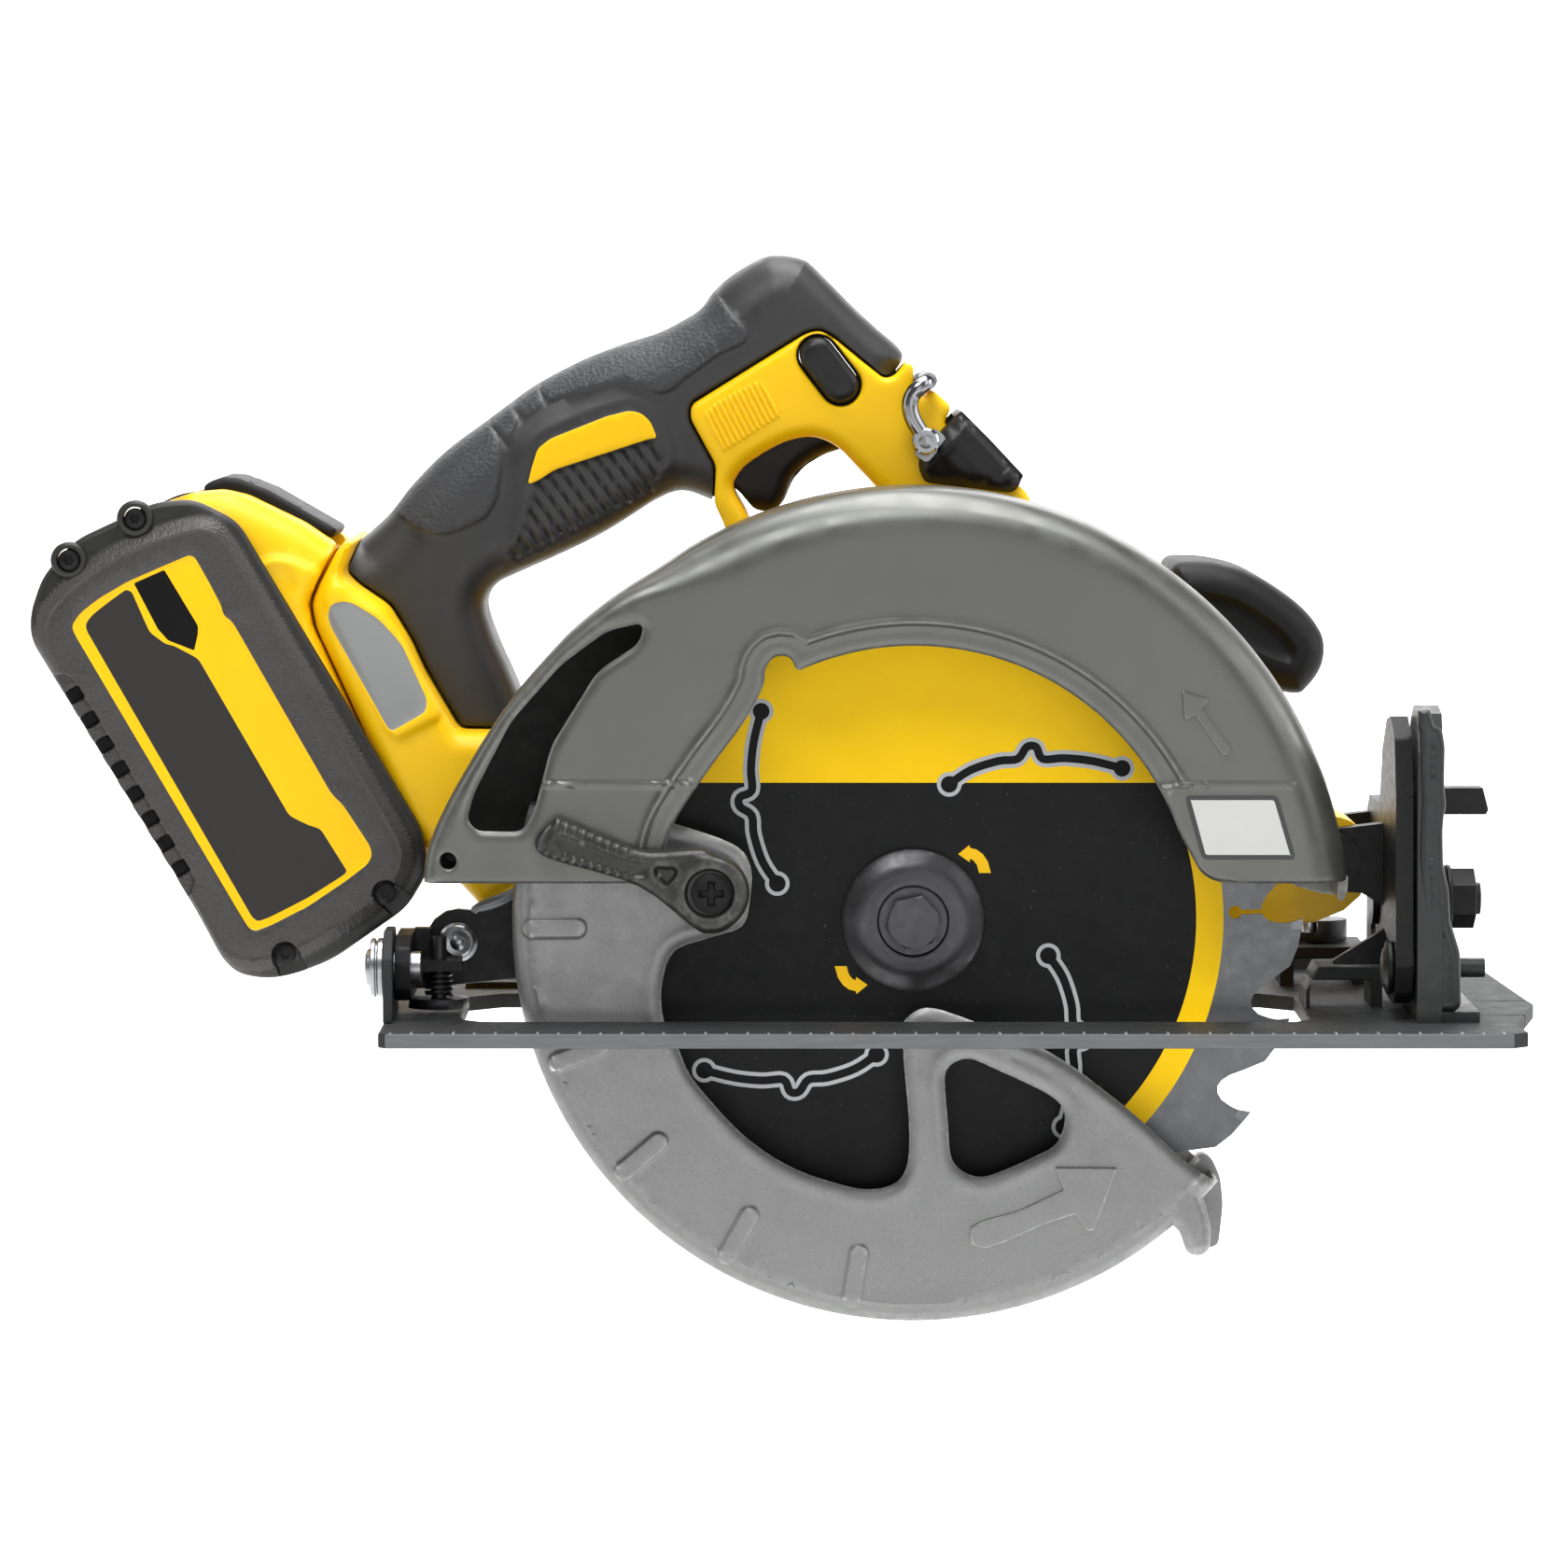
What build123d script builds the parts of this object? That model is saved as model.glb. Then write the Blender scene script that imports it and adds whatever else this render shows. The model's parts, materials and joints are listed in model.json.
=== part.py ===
"""Battery-powered hand circular saw, 190 mm blade, as an assembly of separate pieces.

Working frame while modelling: the arbor axis is the Y axis through (0, 0, 0), the blade's
mid-plane is y = 0, X runs forward, Y runs from the blade towards the motor and Z is up.
Every piece is moved up by SOLE on export, so the origin ends on the sole of the shoe,
directly below the arbor and in the plane of the blade.
"""
from build123d import *
import math
import os

# ---------------------------------------------------------------- driving dimensions (mm)
SOLE = 27.0            # arbor height above the sole
BLADE_R = 95.0         # 190 mm blade
BLADE_T = 1.2          # blade body thickness
KERF = 1.6             # width over the carbide tips
TEETH = 24
BORE_R = 15.0          # 30 mm bore
LG_R = 97.2            # lower guard, outside
LG_RI = 95.8           # lower guard, inside
LG_Y0, LG_Y1 = -12.5, 9.7
UG_R = 105.4           # upper guard, outside
UG_RI = 102.9
UG_Y0, UG_Y1 = -19.0, 14.0
UG_Z = 10.4            # lower edge of the upper guard
HUB_R = 20.0           # boss that carries the lower guard
GEAR_M, GEAR_N, PIN_N = 1.0, 36, 12
MOTOR_Z = (GEAR_N + PIN_N) * GEAR_M / 2 + 0.12   # motor axis straight above the arbor
MOTOR_R = 42.0
YH = 57.0              # middle plane of handle and battery
GRIP_W = 38.0          # handle width across Y
FOOT_Y0, FOOT_Y1 = 20.0, 94.0
BAT_Y0, BAT_Y1 = 15.0, 99.0
DEPTH_X, DEPTH_Z = 104.0, 13.0      # depth pivot, axis along Y
BEV_Y, BEV_Z = -8.0, -11.0          # bevel pivot, axis along X
ARC_R = 140.0                       # depth bracket radius about the depth pivot
SHOE_T = 3.6
NUT_Y, NUT_Z = 35.0, 2.0            # bevel clamp bolt
TRIG_X, TRIG_Z = -45.5, 106.5       # trigger pivot
BAT_D = (-0.515, 0.857)             # direction in which the battery slides off (X, Z)
SHOE_TOP = -SOLE + SHOE_T

os.makedirs("parts", exist_ok=True)


# ---------------------------------------------------------------- helpers
def box(x0, x1, y0, y1, z0, z1):
    return Pos((x0 + x1) / 2, (y0 + y1) / 2, (z0 + z1) / 2) * Box(x1 - x0, y1 - y0, z1 - z0)


def cy(x, z, r, y0, y1):
    return Pos(x, (y0 + y1) / 2, z) * Rot(90, 0, 0) * Cylinder(r, y1 - y0)


def cx(y, z, r, x0, x1):
    return Pos((x0 + x1) / 2, y, z) * Rot(0, 90, 0) * Cylinder(r, x1 - x0)


def cz(x, y, r, z0, z1):
    return Pos(x, y, (z0 + z1) / 2) * Cylinder(r, z1 - z0)


def prism(pts, y0, y1):
    face = make_face(Polyline(*[(p[0], y0, p[1]) for p in pts], close=True))
    return extrude(face, amount=y1 - y0, dir=(0, 1, 0))


def rprism(pts, r, y0, y1):
    """Prism in Y whose corners in the XZ outline are rounded by r."""
    face = make_face(FilletPolyline(*[(p[0], y0, p[1]) for p in pts], radius=r, close=True))
    return extrude(face, amount=y1 - y0, dir=(0, 1, 0))


def xprism(pts, x0, x1, r=None):
    """Prism in X from an outline given in (y, z)."""
    p3 = [(x0, p[0], p[1]) for p in pts]
    wire = FilletPolyline(*p3, radius=r, close=True) if r else Polyline(*p3, close=True)
    return extrude(make_face(wire), amount=x1 - x0, dir=(1, 0, 0))


def zprism(pts, z0, z1):
    face = make_face(Polyline(*[(p[0], p[1], z0) for p in pts], close=True))
    return extrude(face, amount=z1 - z0, dir=(0, 0, 1))


def ring(x, z, ro, ri, y0, y1):
    return cy(x, z, ro, y0, y1) - cy(x, z, ri, y0 - 1, y1 + 1)


def lathe(prof):
    """Solid of revolution about the arbor axis from an outline of (r, y)."""
    face = make_face(Polyline(*[(p[0], p[1], 0) for p in prof], close=True))
    return revolve(face, axis=Axis((0, 0, 0), (0, 1, 0)), revolution_arc=360)


def pol(r, deg):
    return (r * math.cos(math.radians(deg)), r * math.sin(math.radians(deg)))


def sector(a0, a1, r, y0, y1, step=6.0):
    n = max(2, int(abs(a1 - a0) / step) + 1)
    pts = [(0.0, 0.0)] + [pol(r, a0 + (a1 - a0) * i / n) for i in range(n + 1)]
    return prism(pts, y0, y1)


def band(pts, w):
    """Outline of a band of width w along a line of points."""
    left, right = [], []
    for i, p in enumerate(pts):
        a = pts[max(i - 1, 0)]
        b = pts[min(i + 1, len(pts) - 1)]
        dx, dz = b[0] - a[0], b[1] - a[1]
        n = math.hypot(dx, dz)
        nx, nz = -dz / n, dx / n
        left.append((p[0] + nx * w / 2, p[1] + nz * w / 2))
        right.append((p[0] - nx * w / 2, p[1] - nz * w / 2))
    return left + right[::-1]


def rot2(p, deg):
    c, s = math.cos(math.radians(deg)), math.sin(math.radians(deg))
    return (p[0] * c - p[1] * s, p[0] * s + p[1] * c)


def de(d, e, c=(-167.5, 43.0)):
    """Battery coordinates: d along the slide, e across it."""
    return (c[0] + BAT_D[0] * d + BAT_D[1] * e, c[1] + BAT_D[1] * d - BAT_D[0] * e)


def soften(s, edges, r):
    try:
        return fillet(edges, r)
    except Exception:
        try:
            return chamfer(edges, r * 0.6)
        except Exception:
            return s


def yedges(s, y, tol=0.01):
    return [e for e in s.edges()
            if all(abs(v.Y - y) < tol for v in e.vertices()) and e.length > 0.5]


NODES = {}


def node(name, *solids):
    flat = []
    for s in solids:
        flat += list(s.solids())
    NODES[name] = flat


# ---------------------------------------------------------------- blade group
def blade_outline():
    pts = []
    pitch = 360.0 / TEETH
    for i in range(TEETH):
        a = 1.3 - 1.1 - i * pitch
        tooth = [(95.0, 15.0), (94.0, 10.7), (92.6, 7.8), (88.6, 5.2), (86.2, 3.6), (85.0, 2.2),
                 (84.8, 1.1), (85.6, 0.1), (87.4, -0.6), (90.2, -0.75), (92.0, -0.65)]
        # seat of the carbide tip, then the back of the tooth
        tooth += [(92.0, -1.75), (94.6, -1.75)]
        pts += [pol(r, a + da) for r, da in tooth[1:]]
    return pts


disc = prism(blade_outline(), -BLADE_T / 2, BLADE_T / 2) - cy(0, 0, BORE_R, -2, 2)
squiggle = [(8.8, 33.0), (14.0, 36.5), (20.8, 38.7), (25.4, 39.2), (27.6, 42.1), (29.9, 42.1),
            (31.5, 39.2), (36.7, 39.4), (43.5, 38.7), (50.8, 36.9)]
for k in range(4):
    path = [rot2(p, 90 * k) for p in squiggle]
    disc -= prism(band(path, 1.5), -2, 2)
    for p in (path[0], path[-1]):
        disc -= cy(p[0], p[1], 1.7, -2, 2)
    hole = pol(78.5, 1.3 + 90 * k)
    out = pol(87.0, 1.3 + 90 * k)
    disc -= cy(hole[0], hole[1], 1.6, -2, 2)
    disc -= prism(band([hole, out], 1.1), -2, 2)
node("saw_blade", disc)

tips = []
for i in range(TEETH):
    a = 0.2 - i * 360.0 / TEETH
    quad = [pol(92.05, a - 0.66), pol(95.0, a + 0.0), pol(94.65, a - 1.70), pol(92.05, a - 1.70)]
    tips.append(prism(quad, -KERF / 2, KERF / 2))
node("carbide_tips", *tips)

inner_flange = cy(0, 0, 18.0, 0.62, 5.4) + cy(0, 0, BORE_R - 0.03, -0.45, 0.7)
inner_flange -= cy(0, 0, 7.52, -2, 8)
node("inner_flange", inner_flange)

outer_flange = lathe([(4.1, -0.62), (17.4, -0.62), (17.4, -2.2), (13.1, -4.9), (8.6, -5.3),
                      (8.6, -3.6), (4.1, -3.6)])
node("outer_flange", outer_flange)

head = prism([pol(6.9, 60 * i + 12) for i in range(6)], -9.2, -4.9)
head = head & lathe([(0, -9.2), (6.1, -9.2), (7.1, -8.6), (7.1, -4.8), (0, -4.8)])
bolt = head + cy(0, 0, 8.2, -4.95, -3.62) + cy(0, 0, 4.0, -3.7, 15.0)
node("blade_bolt", bolt)

spindle = cy(0, 0, 7.5, -0.4, 47.0) - cy(0, 0, 4.02, -2, 17.0)
spindle += cy(0, 0, 9.5, 5.45, 7.8)
spindle -= cy(0, 0, 4.02, -2, 17.0)
node("spindle", spindle)


def spur(n, m, backlash, y0, y1, bore, phase=0.0, add=0.8, ded=1.05, alpha=25.0):
    """Stub involute spur gear."""
    rp = n * m / 2
    rb = rp * math.cos(math.radians(alpha))
    ra, rf = rp + add * m, rp - ded * m
    half = (math.pi * m / 2 - backlash) / (2 * rp)
    inv = lambda t: math.tan(t) - t
    ta = math.radians(alpha)
    prof = []
    r0 = max(rb, rf)
    steps = 6
    for i in range(steps + 1):
        r = r0 + (ra - r0) * i / steps
        t = math.acos(min(1.0, rb / r))
        prof.append((r, half + inv(ta) - inv(t)))
    pts = []
    for k in range(n):
        c = 2 * math.pi * k / n + math.radians(phase)
        low = [(rf, c - prof[0][1])] if rf < r0 - 1e-6 else []
        seq = low + [(r, c - h) for r, h in prof] + [(r, c + h) for r, h in prof[::-1]]
        seq += [(rf, c + prof[0][1])] if rf < r0 - 1e-6 else []
        pts += [(r * math.cos(t), r * math.sin(t)) for r, t in seq]
    g = prism(pts, y0, y1)
    return g - cy(0, 0, bore, y0 - 1, y1 + 1)


gear = spur(GEAR_N, GEAR_M, 0.30, 24.0, 34.0, 7.52, phase=90.0 + 180.0 / GEAR_N)
for k in range(5):
    p = pol(12.4, 72 * k)
    gear -= cy(p[0], p[1], 2.4, 20, 40)
node("driven_gear", gear)

# ---------------------------------------------------------------- motor group
pinion = Pos(0, 0, MOTOR_Z) * spur(PIN_N, GEAR_M, 0.30, 22.5, 35.5, 3.52, phase=-90.0)
node("pinion_gear", pinion)
rotor_shaft = cy(0, MOTOR_Z, 3.5, 21.5, 119.0)
node("rotor_shaft", rotor_shaft)
rotor_core = ring(0, MOTOR_Z, 20.5, 3.52, 64.0, 104.0)
for k in range(6):
    p = pol(20.5, 60 * k)
    rotor_core -= box(p[0] - 1.2, p[0] + 1.2, 60, 110, MOTOR_Z + p[1] - 1.2, MOTOR_Z + p[1] + 1.2)
node("rotor_core", rotor_core)
fan = ring(0, MOTOR_Z, 7.0, 3.52, 49.0, 59.0) + ring(0, MOTOR_Z, 33.0, 6.5, 57.6, 59.0)
for k in range(11):
    c = Pos(0, 0, MOTOR_Z) * prism([rot2(p, 360 / 11 * k) for p in
                                   [(11, -0.8), (21, 1.4), (32.4, 6.0), (32.0, 7.6), (20.4, 3.0), (11, 0.8)]],
                                  50.0, 58.0)
    fan += c
node("cooling_fan", fan)

stator = ring(0, MOTOR_Z, 38.0, 33.0, 66.0, 102.0)
for k in range(6):
    a = 60 * k
    tooth = prism([rot2(p, a) for p in [(23.0, -3.2), (34.0, -3.2), (34.0, 3.2), (23.0, 3.2)]], 66.0, 102.0)
    shoe_t = prism([rot2(p, a) for p in [(21.2, -7.2), (23.6, -7.6), (23.6, 7.6), (21.2, 7.2)]], 66.0, 102.0)
    stator += Pos(0, 0, MOTOR_Z) * (tooth + shoe_t)
stator -= cy(0, MOTOR_Z, 21.3, 60, 110)
node("stator_core", stator)
coils = []
for k in range(6):
    outer = prism([rot2(p, 60 * k) for p in [(24.2, -6.2), (31.4, -7.6), (31.4, 7.6), (24.2, 6.2)]], 62.0, 106.0)
    inner = prism([rot2(p, 60 * k) for p in [(20.0, -3.3), (36.0, -3.3), (36.0, 3.3), (20.0, 3.3)]], 65.8, 102.2)
    coils.append(Pos(0, 0, MOTOR_Z) * (outer - inner))
node("stator_windings", *coils)

node("bearings",
     ring(0, 0, 13.0, 7.52, 8.2, 18.0), ring(0, 0, 11.0, 7.52, 38.5, 45.5),
     ring(0, MOTOR_Z, 9.5, 3.52, 38.5, 44.5), ring(0, MOTOR_Z, 9.5, 3.52, 110.5, 116.5))

# ---------------------------------------------------------------- gear case and motor housing
FLANGE = 34.0          # rear face of the gear case
case = cy(0, 0, 22.3, 14.2, 36.0) + cy(0, MOTOR_Z, 26.0, 18.0, 36.0)
case += cy(0, MOTOR_Z, MOTOR_R, 29.0, 36.0)
case += cy(0, 0, HUB_R - 0.05, 6.6, 15.0)
chin = [(110.6, 9.0), (111.4, 3.6), (107.2, -0.2), (100.3, -3.0), (94.7, -4.3), (90.6, -3.6), (78.6, -2.6)]
nose = prism([(8, 34), (70, 27.5), (96, 23.6), (DEPTH_X, 22.9)] + chin + [(60, 3), (8, 6)], 26.6, 36.0)
lug = cy(DEPTH_X, DEPTH_Z, 10.0, 26.6, 58.4)
lug += prism([(58, 27), (96, 23.6), (DEPTH_X, 22.9)] + chin + [(58, 6)], 26.6, 58.4)
case += nose + lug
case += box(20, 60, 26.6, 45.8, 8, 26)
# upper guard screw posts
UG_SCREWS = [(-17.0, 36.0), (17.0, 36.0), (21.0, 14.5)]
for p in UG_SCREWS[:2]:
    case += cy(p[0], p[1], 5.0, 14.2, 30.0)
case += cy(26.0, 16.0, 5.0, 14.2, 30.0)
UG_SCREWS[2] = (26.0, 16.0)
case -= cy(0, 0, 19.6, 22.0, 36.5)
case -= cy(0, MOTOR_Z, 11.0, 20.0, 36.5)
case -= cy(0, 0, 13.02, 8.1, 22.5)
case -= cy(0, 0, 10.2, 5, 10)
case -= cy(DEPTH_X, DEPTH_Z, 5.05, 20, 62)
case -= cy(0, MOTOR_Z, 33.0, 33.5, 37) - cy(0, MOTOR_Z, 26.0, 33, 38)
for p in UG_SCREWS:
    case -= cy(p[0], p[1], 2.02, 14, 26.0)
case -= cy(0, MOTOR_Z, MOTOR_R + 0.15, 36.0, 130.0)
CASE_SCREWS = [pol(35.0, a) for a in (35, 145, 215, 325)]
for p in CASE_SCREWS:
    case -= cy(p[0], MOTOR_Z + p[1], 1.82, 29.5, 40)
node("gear_case", case)

plate = cy(0, MOTOR_Z, MOTOR_R, 36.2, 46.8)
plate -= cy(0, 0, 11.02, 38.4, 48.0) + cy(0, 0, 9.0, 36, 39)
plate -= cy(0, MOTOR_Z, 9.52, 38.4, 48.0) + cy(0, MOTOR_Z, 7.4, 36, 39)
for p in CASE_SCREWS:
    plate -= cy(p[0], MOTOR_Z + p[1], 1.85, 34, 48)
node("bearing_plate", plate)
screws = []
for p in CASE_SCREWS:
    screws.append(cy(p[0], MOTOR_Z + p[1], 1.8, 30.0, 47.0) + cy(p[0], MOTOR_Z + p[1], 3.2, 46.85, 48.9))

can = ring(0, MOTOR_Z, MOTOR_R, 38.1, 47.0, 118.0)
can -= ring(0, MOTOR_Z, 39.9, 30.0, 46.9, 49.4)
for k in range(9):
    a = 200 + 17.5 * k
    slot = prism([rot2(p, a) for p in [(34, -2.0), (46, -2.0), (46, 2.0), (34, 2.0)]], 51.0, 59.5)
    can -= Pos(0, 0, MOTOR_Z) * slot
node("motor_housing", can)

cap = cy(0, MOTOR_Z, MOTOR_R, 118.2, 128.0)
cap = soften(cap, yedges(cap, 128.0), 5.0)
cap -= cy(0, MOTOR_Z, 38.0, 117.0, 124.5) - cy(0, MOTOR_Z, 13.0, 117.0, 124.5)
cap += ring(0, MOTOR_Z, 13.0, 9.52, 110.4, 119.0)
cap -= cy(0, MOTOR_Z, 9.52, 110.0, 120.5)
for k in range(12):
    a = 30 * k
    slot = prism([rot2(p, a) for p in [(18, -1.8), (33, -2.6), (33, 2.6), (18, 1.8)]], 122.0, 130.0)
    cap -= Pos(0, 0, MOTOR_Z) * slot
node("motor_end_cap", cap)

# ---------------------------------------------------------------- upper guard
def ug_profile(ro, y0, y1, rad):
    arc = [(ro - rad + rad * math.sin(t), y0 + rad - rad * math.cos(t))
           for t in [math.radians(90 * i / 10) for i in range(11)]]
    return [(0.0, y0)] + arc + [(ro, y1), (0.0, y1)]


chute = [(-60, 86.5), (-76.3, 75.7), (-85.3, 67.9), (-98.8, 52.1), (-110.1, 34.1), (-116.9, 20.5),
         (-118.1, 12.6), (-118.1, UG_Z), (-60, UG_Z)]
chute_in = [(-58, 84.0), (-74.5, 73.6), (-83.2, 66.3), (-96.8, 50.6), (-107.8, 33.0), (-114.4, 19.6),
            (-115.6, 12.6), (-115.6, 5), (-58, 5)]
ug_out = lathe(ug_profile(UG_R, UG_Y0, UG_Y1, 11.0))
ch_out = rprism(chute, 2.0, UG_Y0, UG_Y1)
ch_out = soften(ch_out, [e for e in yedges(ch_out, UG_Y0) if e.center().X < -70 and e.center().Z > UG_Z + 0.5], 3.0)
ug_in = lathe(ug_profile(UG_RI, UG_Y0 + 2.3, UG_Y1 - 2.4, 8.7))
ch_in = prism(chute_in, UG_Y0 + 2.3, UG_Y1 - 2.4)
guard = (ug_out + ch_out) - ug_in - ch_in
guard -= box(-200, 200, -60, 60, -200, UG_Z)
window = [pol(67.6, a) for a in range(20, 116, 4)]
window += [(-29.0, 63.4), (-30.0, 65.8), (-33.4, 66.0), (-35.6, 63.5), (-36.4, 58.0), (-41.5, 48.5), (-50.0, 37.0), (-58.3, 24.0),
           (-60.6, 14.0), (-61.2, 0.0), (68.0, 0.0), (67.6, 14.5)]
guard -= prism(window, UG_Y0 - 2, UG_Y0 + 4)
chute_hole = [(-64.9, 73.2), (-73.8, 71.3), (-85, 63.0), (-97.0, 49.4), (-106.0, 32.0), (-107.6, 25.7),
              (-105.3, 23), (-94.1, 22.8), (-91.4, 27.9), (-87.3, 43.6), (-76.1, 61.6), (-66.0, 68.3)]
guard -= prism(chute_hole, UG_Y0 - 2, UG_Y0 + 4)
# adapter screw boss beside the chute mouth
guard += cy(-112.2, 15.8, 4.0, UG_Y0, 6.0) & prism(chute, UG_Y0, 8.0)
guard -= cy(-112.2, 15.8, 2.1, UG_Y0 - 1, 4.0)
# hub hole and the screw holes of the back wall
guard -= cy(0, 0, HUB_R + 0.1, 10, 16)
for p in UG_SCREWS:
    guard -= cy(p[0], p[1], 2.15, 10, 16)
# raised lines of the casting
guard += box(-89.5, -53, UG_Y0 - 0.6, UG_Y0 + 0.5, 33.4, 34.8) - prism(window, UG_Y0 - 2, UG_Y0 + 4)
guard += box(64.5, 91.0, UG_Y0 - 0.6, UG_Y0 + 0.5, 32.6, 34.0)
arrow = [(64.6, 52.9), (63.2, 57.4), (70.6, 54.7), (68.8, 52.4), (76.3, 43.9), (74.0, 41.6), (66.6, 50.6)]
guard += prism(arrow, UG_Y0 - 0.7, UG_Y0 + 0.5)
# lug of the depth clamp on the back wall
CLAMP = (DEPTH_X - ARC_R * math.cos(math.radians(2.0)), DEPTH_Z + ARC_R * math.sin(math.radians(2.0)))
guard -= cy(CLAMP[0], CLAMP[1], 3.05, 10, 16)
# face, rim band and back wall of the casting meet in two flat joints
SEAM_0, SEAM_1 = UG_Y0 + 2.3, UG_Y1 - 2.4
face = guard & box(-200, 200, -60, SEAM_0, -60, 200)
band_y = guard & box(-200, 200, SEAM_0, SEAM_1, -60, 200)
back = guard & box(-200, 200, SEAM_1, 60, -60, 200)
node("upper_guard", face, band_y, back)

ugs = []
for p in UG_SCREWS:
    ugs.append(cy(p[0], p[1], 2.0, 10.9, 24.0) + cy(p[0], p[1], 3.8, 10.6, 11.55))
node("case_screws", *(screws + ugs))

# ---------------------------------------------------------------- lower guard
def lg_profile(ro, y0, y1, rad):
    arc = [(ro - rad + rad * math.sin(t), y0 + rad - rad * math.cos(t))
           for t in [math.radians(90 * i / 8) for i in range(9)]]
    return [(0.0, y0)] + arc + [(ro, y1), (0.0, y1)]


lg = lathe(lg_profile(LG_R, LG_Y0, LG_Y1, 4.0)) - lathe(lg_profile(LG_RI, LG_Y0 + 2.0, LG_Y1 - 2.0, 2.4))
lg_cut = [pol(140, a) for a in range(-46, 166, 8)] + [pol(140, 166), (0, 0)]
lg_cut_front = [pol(140, a) for a in range(-20, 166, 8)] + [pol(140, 166)]
# rim and back wall: sector cut
back_cut = [(9.0, 6.0)] + [pol(150, a) for a in range(-36, 160, 7)] + [pol(150, 160), (-8, 6)]
lg -= prism(back_cut, -5.0, 20.0)
rim_cut = [(0.0, 0.0)] + [pol(150, a) for a in range(-37, 163, 8)] + [pol(150, 163)]
lg -= prism(rim_cut, -10.6, 5.0)
front_open = [(-39.5, 14.0), (-40.0, 0.0), (-49.4, -3.4), (-58.0, -6.8), (-60.9, -15.0), (-60.5, -23.3), (-57.2, -29.8), (-54.2, -36.6),
              (-49.4, -42.8), (-41.9, -50.8), (-34.4, -56.5), (-26.8, -60.5), (-19.3, -63.0), (-13.7, -64.4), (-8.5, -64.5), (-4.2, -63.0),
              (-1.9, -59.9), (-1.1, -55.6), (-1.1, -48.0), (-1.8, -39.4), (-2.4, -32.9), (-2.6, -27.0), (-2.2, -23.6), (1.4, -20.8), (5.1, -20.6),
              (9.8, -22.0), (16.0, -24.3), (30.5, -30.0), (37.1, -33.8), (41.8, -37.1), (50.4, -43.8), (57.0, -49.5), (65.4, -57.4),
              (72.0, -62.0), (130, -95), (150, 40), (60, 150), (-150, 150), (-150, 30), (-60, 25.0), (-44, 19.5)]
lg -= prism(front_open, -20.0, -5.0)
tri = [(7.6, -38.4), (8.4, -35.1), (10.8, -33.3), (14.0, -32.9), (18.3, -34.6), (26.8, -38.5), (32.5, -41.4), (35.8, -44.2), (36.7, -47.1),
       (36.0, -50.8), (33.9, -54.2), (27.8, -57.4), (22.2, -59.9), (17.4, -61.5), (13.6, -61.1), (10.4, -58.9), (8.9, -55.6), (8.4, -49.0)]
lg -= prism(tri, -20.0, -5.0)
# hub ring round the boss
lg += ring(0, 0, 26.0, HUB_R + 0.05, LG_Y1 - 2.0, LG_Y1 + 0.4)
lg -= cy(0, 0, HUB_R + 0.05, 5, 12)
# front lip that rides on the work
lip = [(70.0, -56.4), (73.3, -59.0), (75.4, -63.6), (76.1, -70.4), (75.0, -80.7), (70.5, -81.3), (66.0, -79.5),
       (65.5, -76.1), (63.0, -73.6), (58.8, -72.6)]
lg += prism(lip, LG_Y0 + 1.2, LG_Y1) - lathe([(0, -9.5), (LG_RI, -9.5), (LG_RI, 7.0), (0, 7.0)])
# cast ribs and the turning arrow on the front wall
def rib(r0, r1, a, w):
    p, q = pol(r0, a), pol(r1, a)
    return prism(band([p, q], w), LG_Y0 - 0.8, LG_Y0 + 0.8)


for a in (180.7, 201.3, 220.6, 240.8, 260.7):
    lg += rib(79.0, 92.6, a, 4.4)
lg_arrow = [(13.7, -76.5), (13.7, -73.8), (16.1, -72.5), (25.9, -69.6), (36.3, -64.6), (34.2, -59.1), (49.5, -59.2), (46.7, -67.0), (43.9, -74.5),
            (42.0, -74.7), (39.2, -70.6), (31.5, -73.1), (22.2, -77.4), (17.0, -79.1), (14.1, -77.9)]
lg += prism(lg_arrow, LG_Y0 - 0.6, LG_Y0 + 0.5)
# neck that carries the lever through the upper guard's window
BOSS = (-48.8, 8.5)
lg += cy(BOSS[0], BOSS[1], 5.6, -20.2, -11.0)
lg -= cy(BOSS[0], BOSS[1], 2.05, -24.0, -12.0)
node("lower_guard", lg)

lever = cy(BOSS[0], BOSS[1], 9.6, -26.0, -20.3)
lever += prism([(-87.2, 16.6), (-91.0, 19.7), (-90.4, 22.6), (-86.6, 26.0), (-85.0, 26.4), (-72.3, 21.1), (-64.2, 18.6), (-52.2, 18.6),
                (-48.6, 17.7), (-44.0, 10.0), (-49.3, -0.6), (-53.1, 0.2), (-66.5, 10.3)], -25.6, -20.3)
lever -= prism([(-62.2, 14.8), (-57.6, 14.6), (-57.4, 13.2), (-59.3, 10.9), (-62.2, 13.0)], -27, -23)
lever -= cy(BOSS[0], BOSS[1], 2.15, -30, -19)
lever -= cy(BOSS[0], BOSS[1], 5.6, -30, -24.4)
node("guard_lever", lever)
lscrew = cy(BOSS[0], BOSS[1], 4.9, -26.4, -24.45) + cy(BOSS[0], BOSS[1], 2.0, -24.6, -13.2)
lscrew -= prism([(BOSS[0] + q[0], BOSS[1] + q[1]) for q in [pol(2.2, 60 * i) for i in range(6)]], -28, -25.4)
node("guard_lever_screw", lscrew)

node("guard_retaining_ring", ring(0, 0, 21.6, HUB_R - 1.4, 6.7, 7.3) + ring(0, 0, 21.6, HUB_R - 0.03, 6.7, 7.3))
# groove for the retaining ring
NODES["gear_case"] = list((case - ring(0, 0, 24.0, HUB_R - 1.45, 6.65, 7.35)).solids())

coil = []
for i in range(0, 181):
    a = i / 180.0 * 3 * 360.0
    coil.append(pol(20.9 + 3.6 * i / 180.0, a + 200))
spring = prism(band(coil, 0.6), 10.35, 11.35)
node("guard_return_spring", spring)

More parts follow.
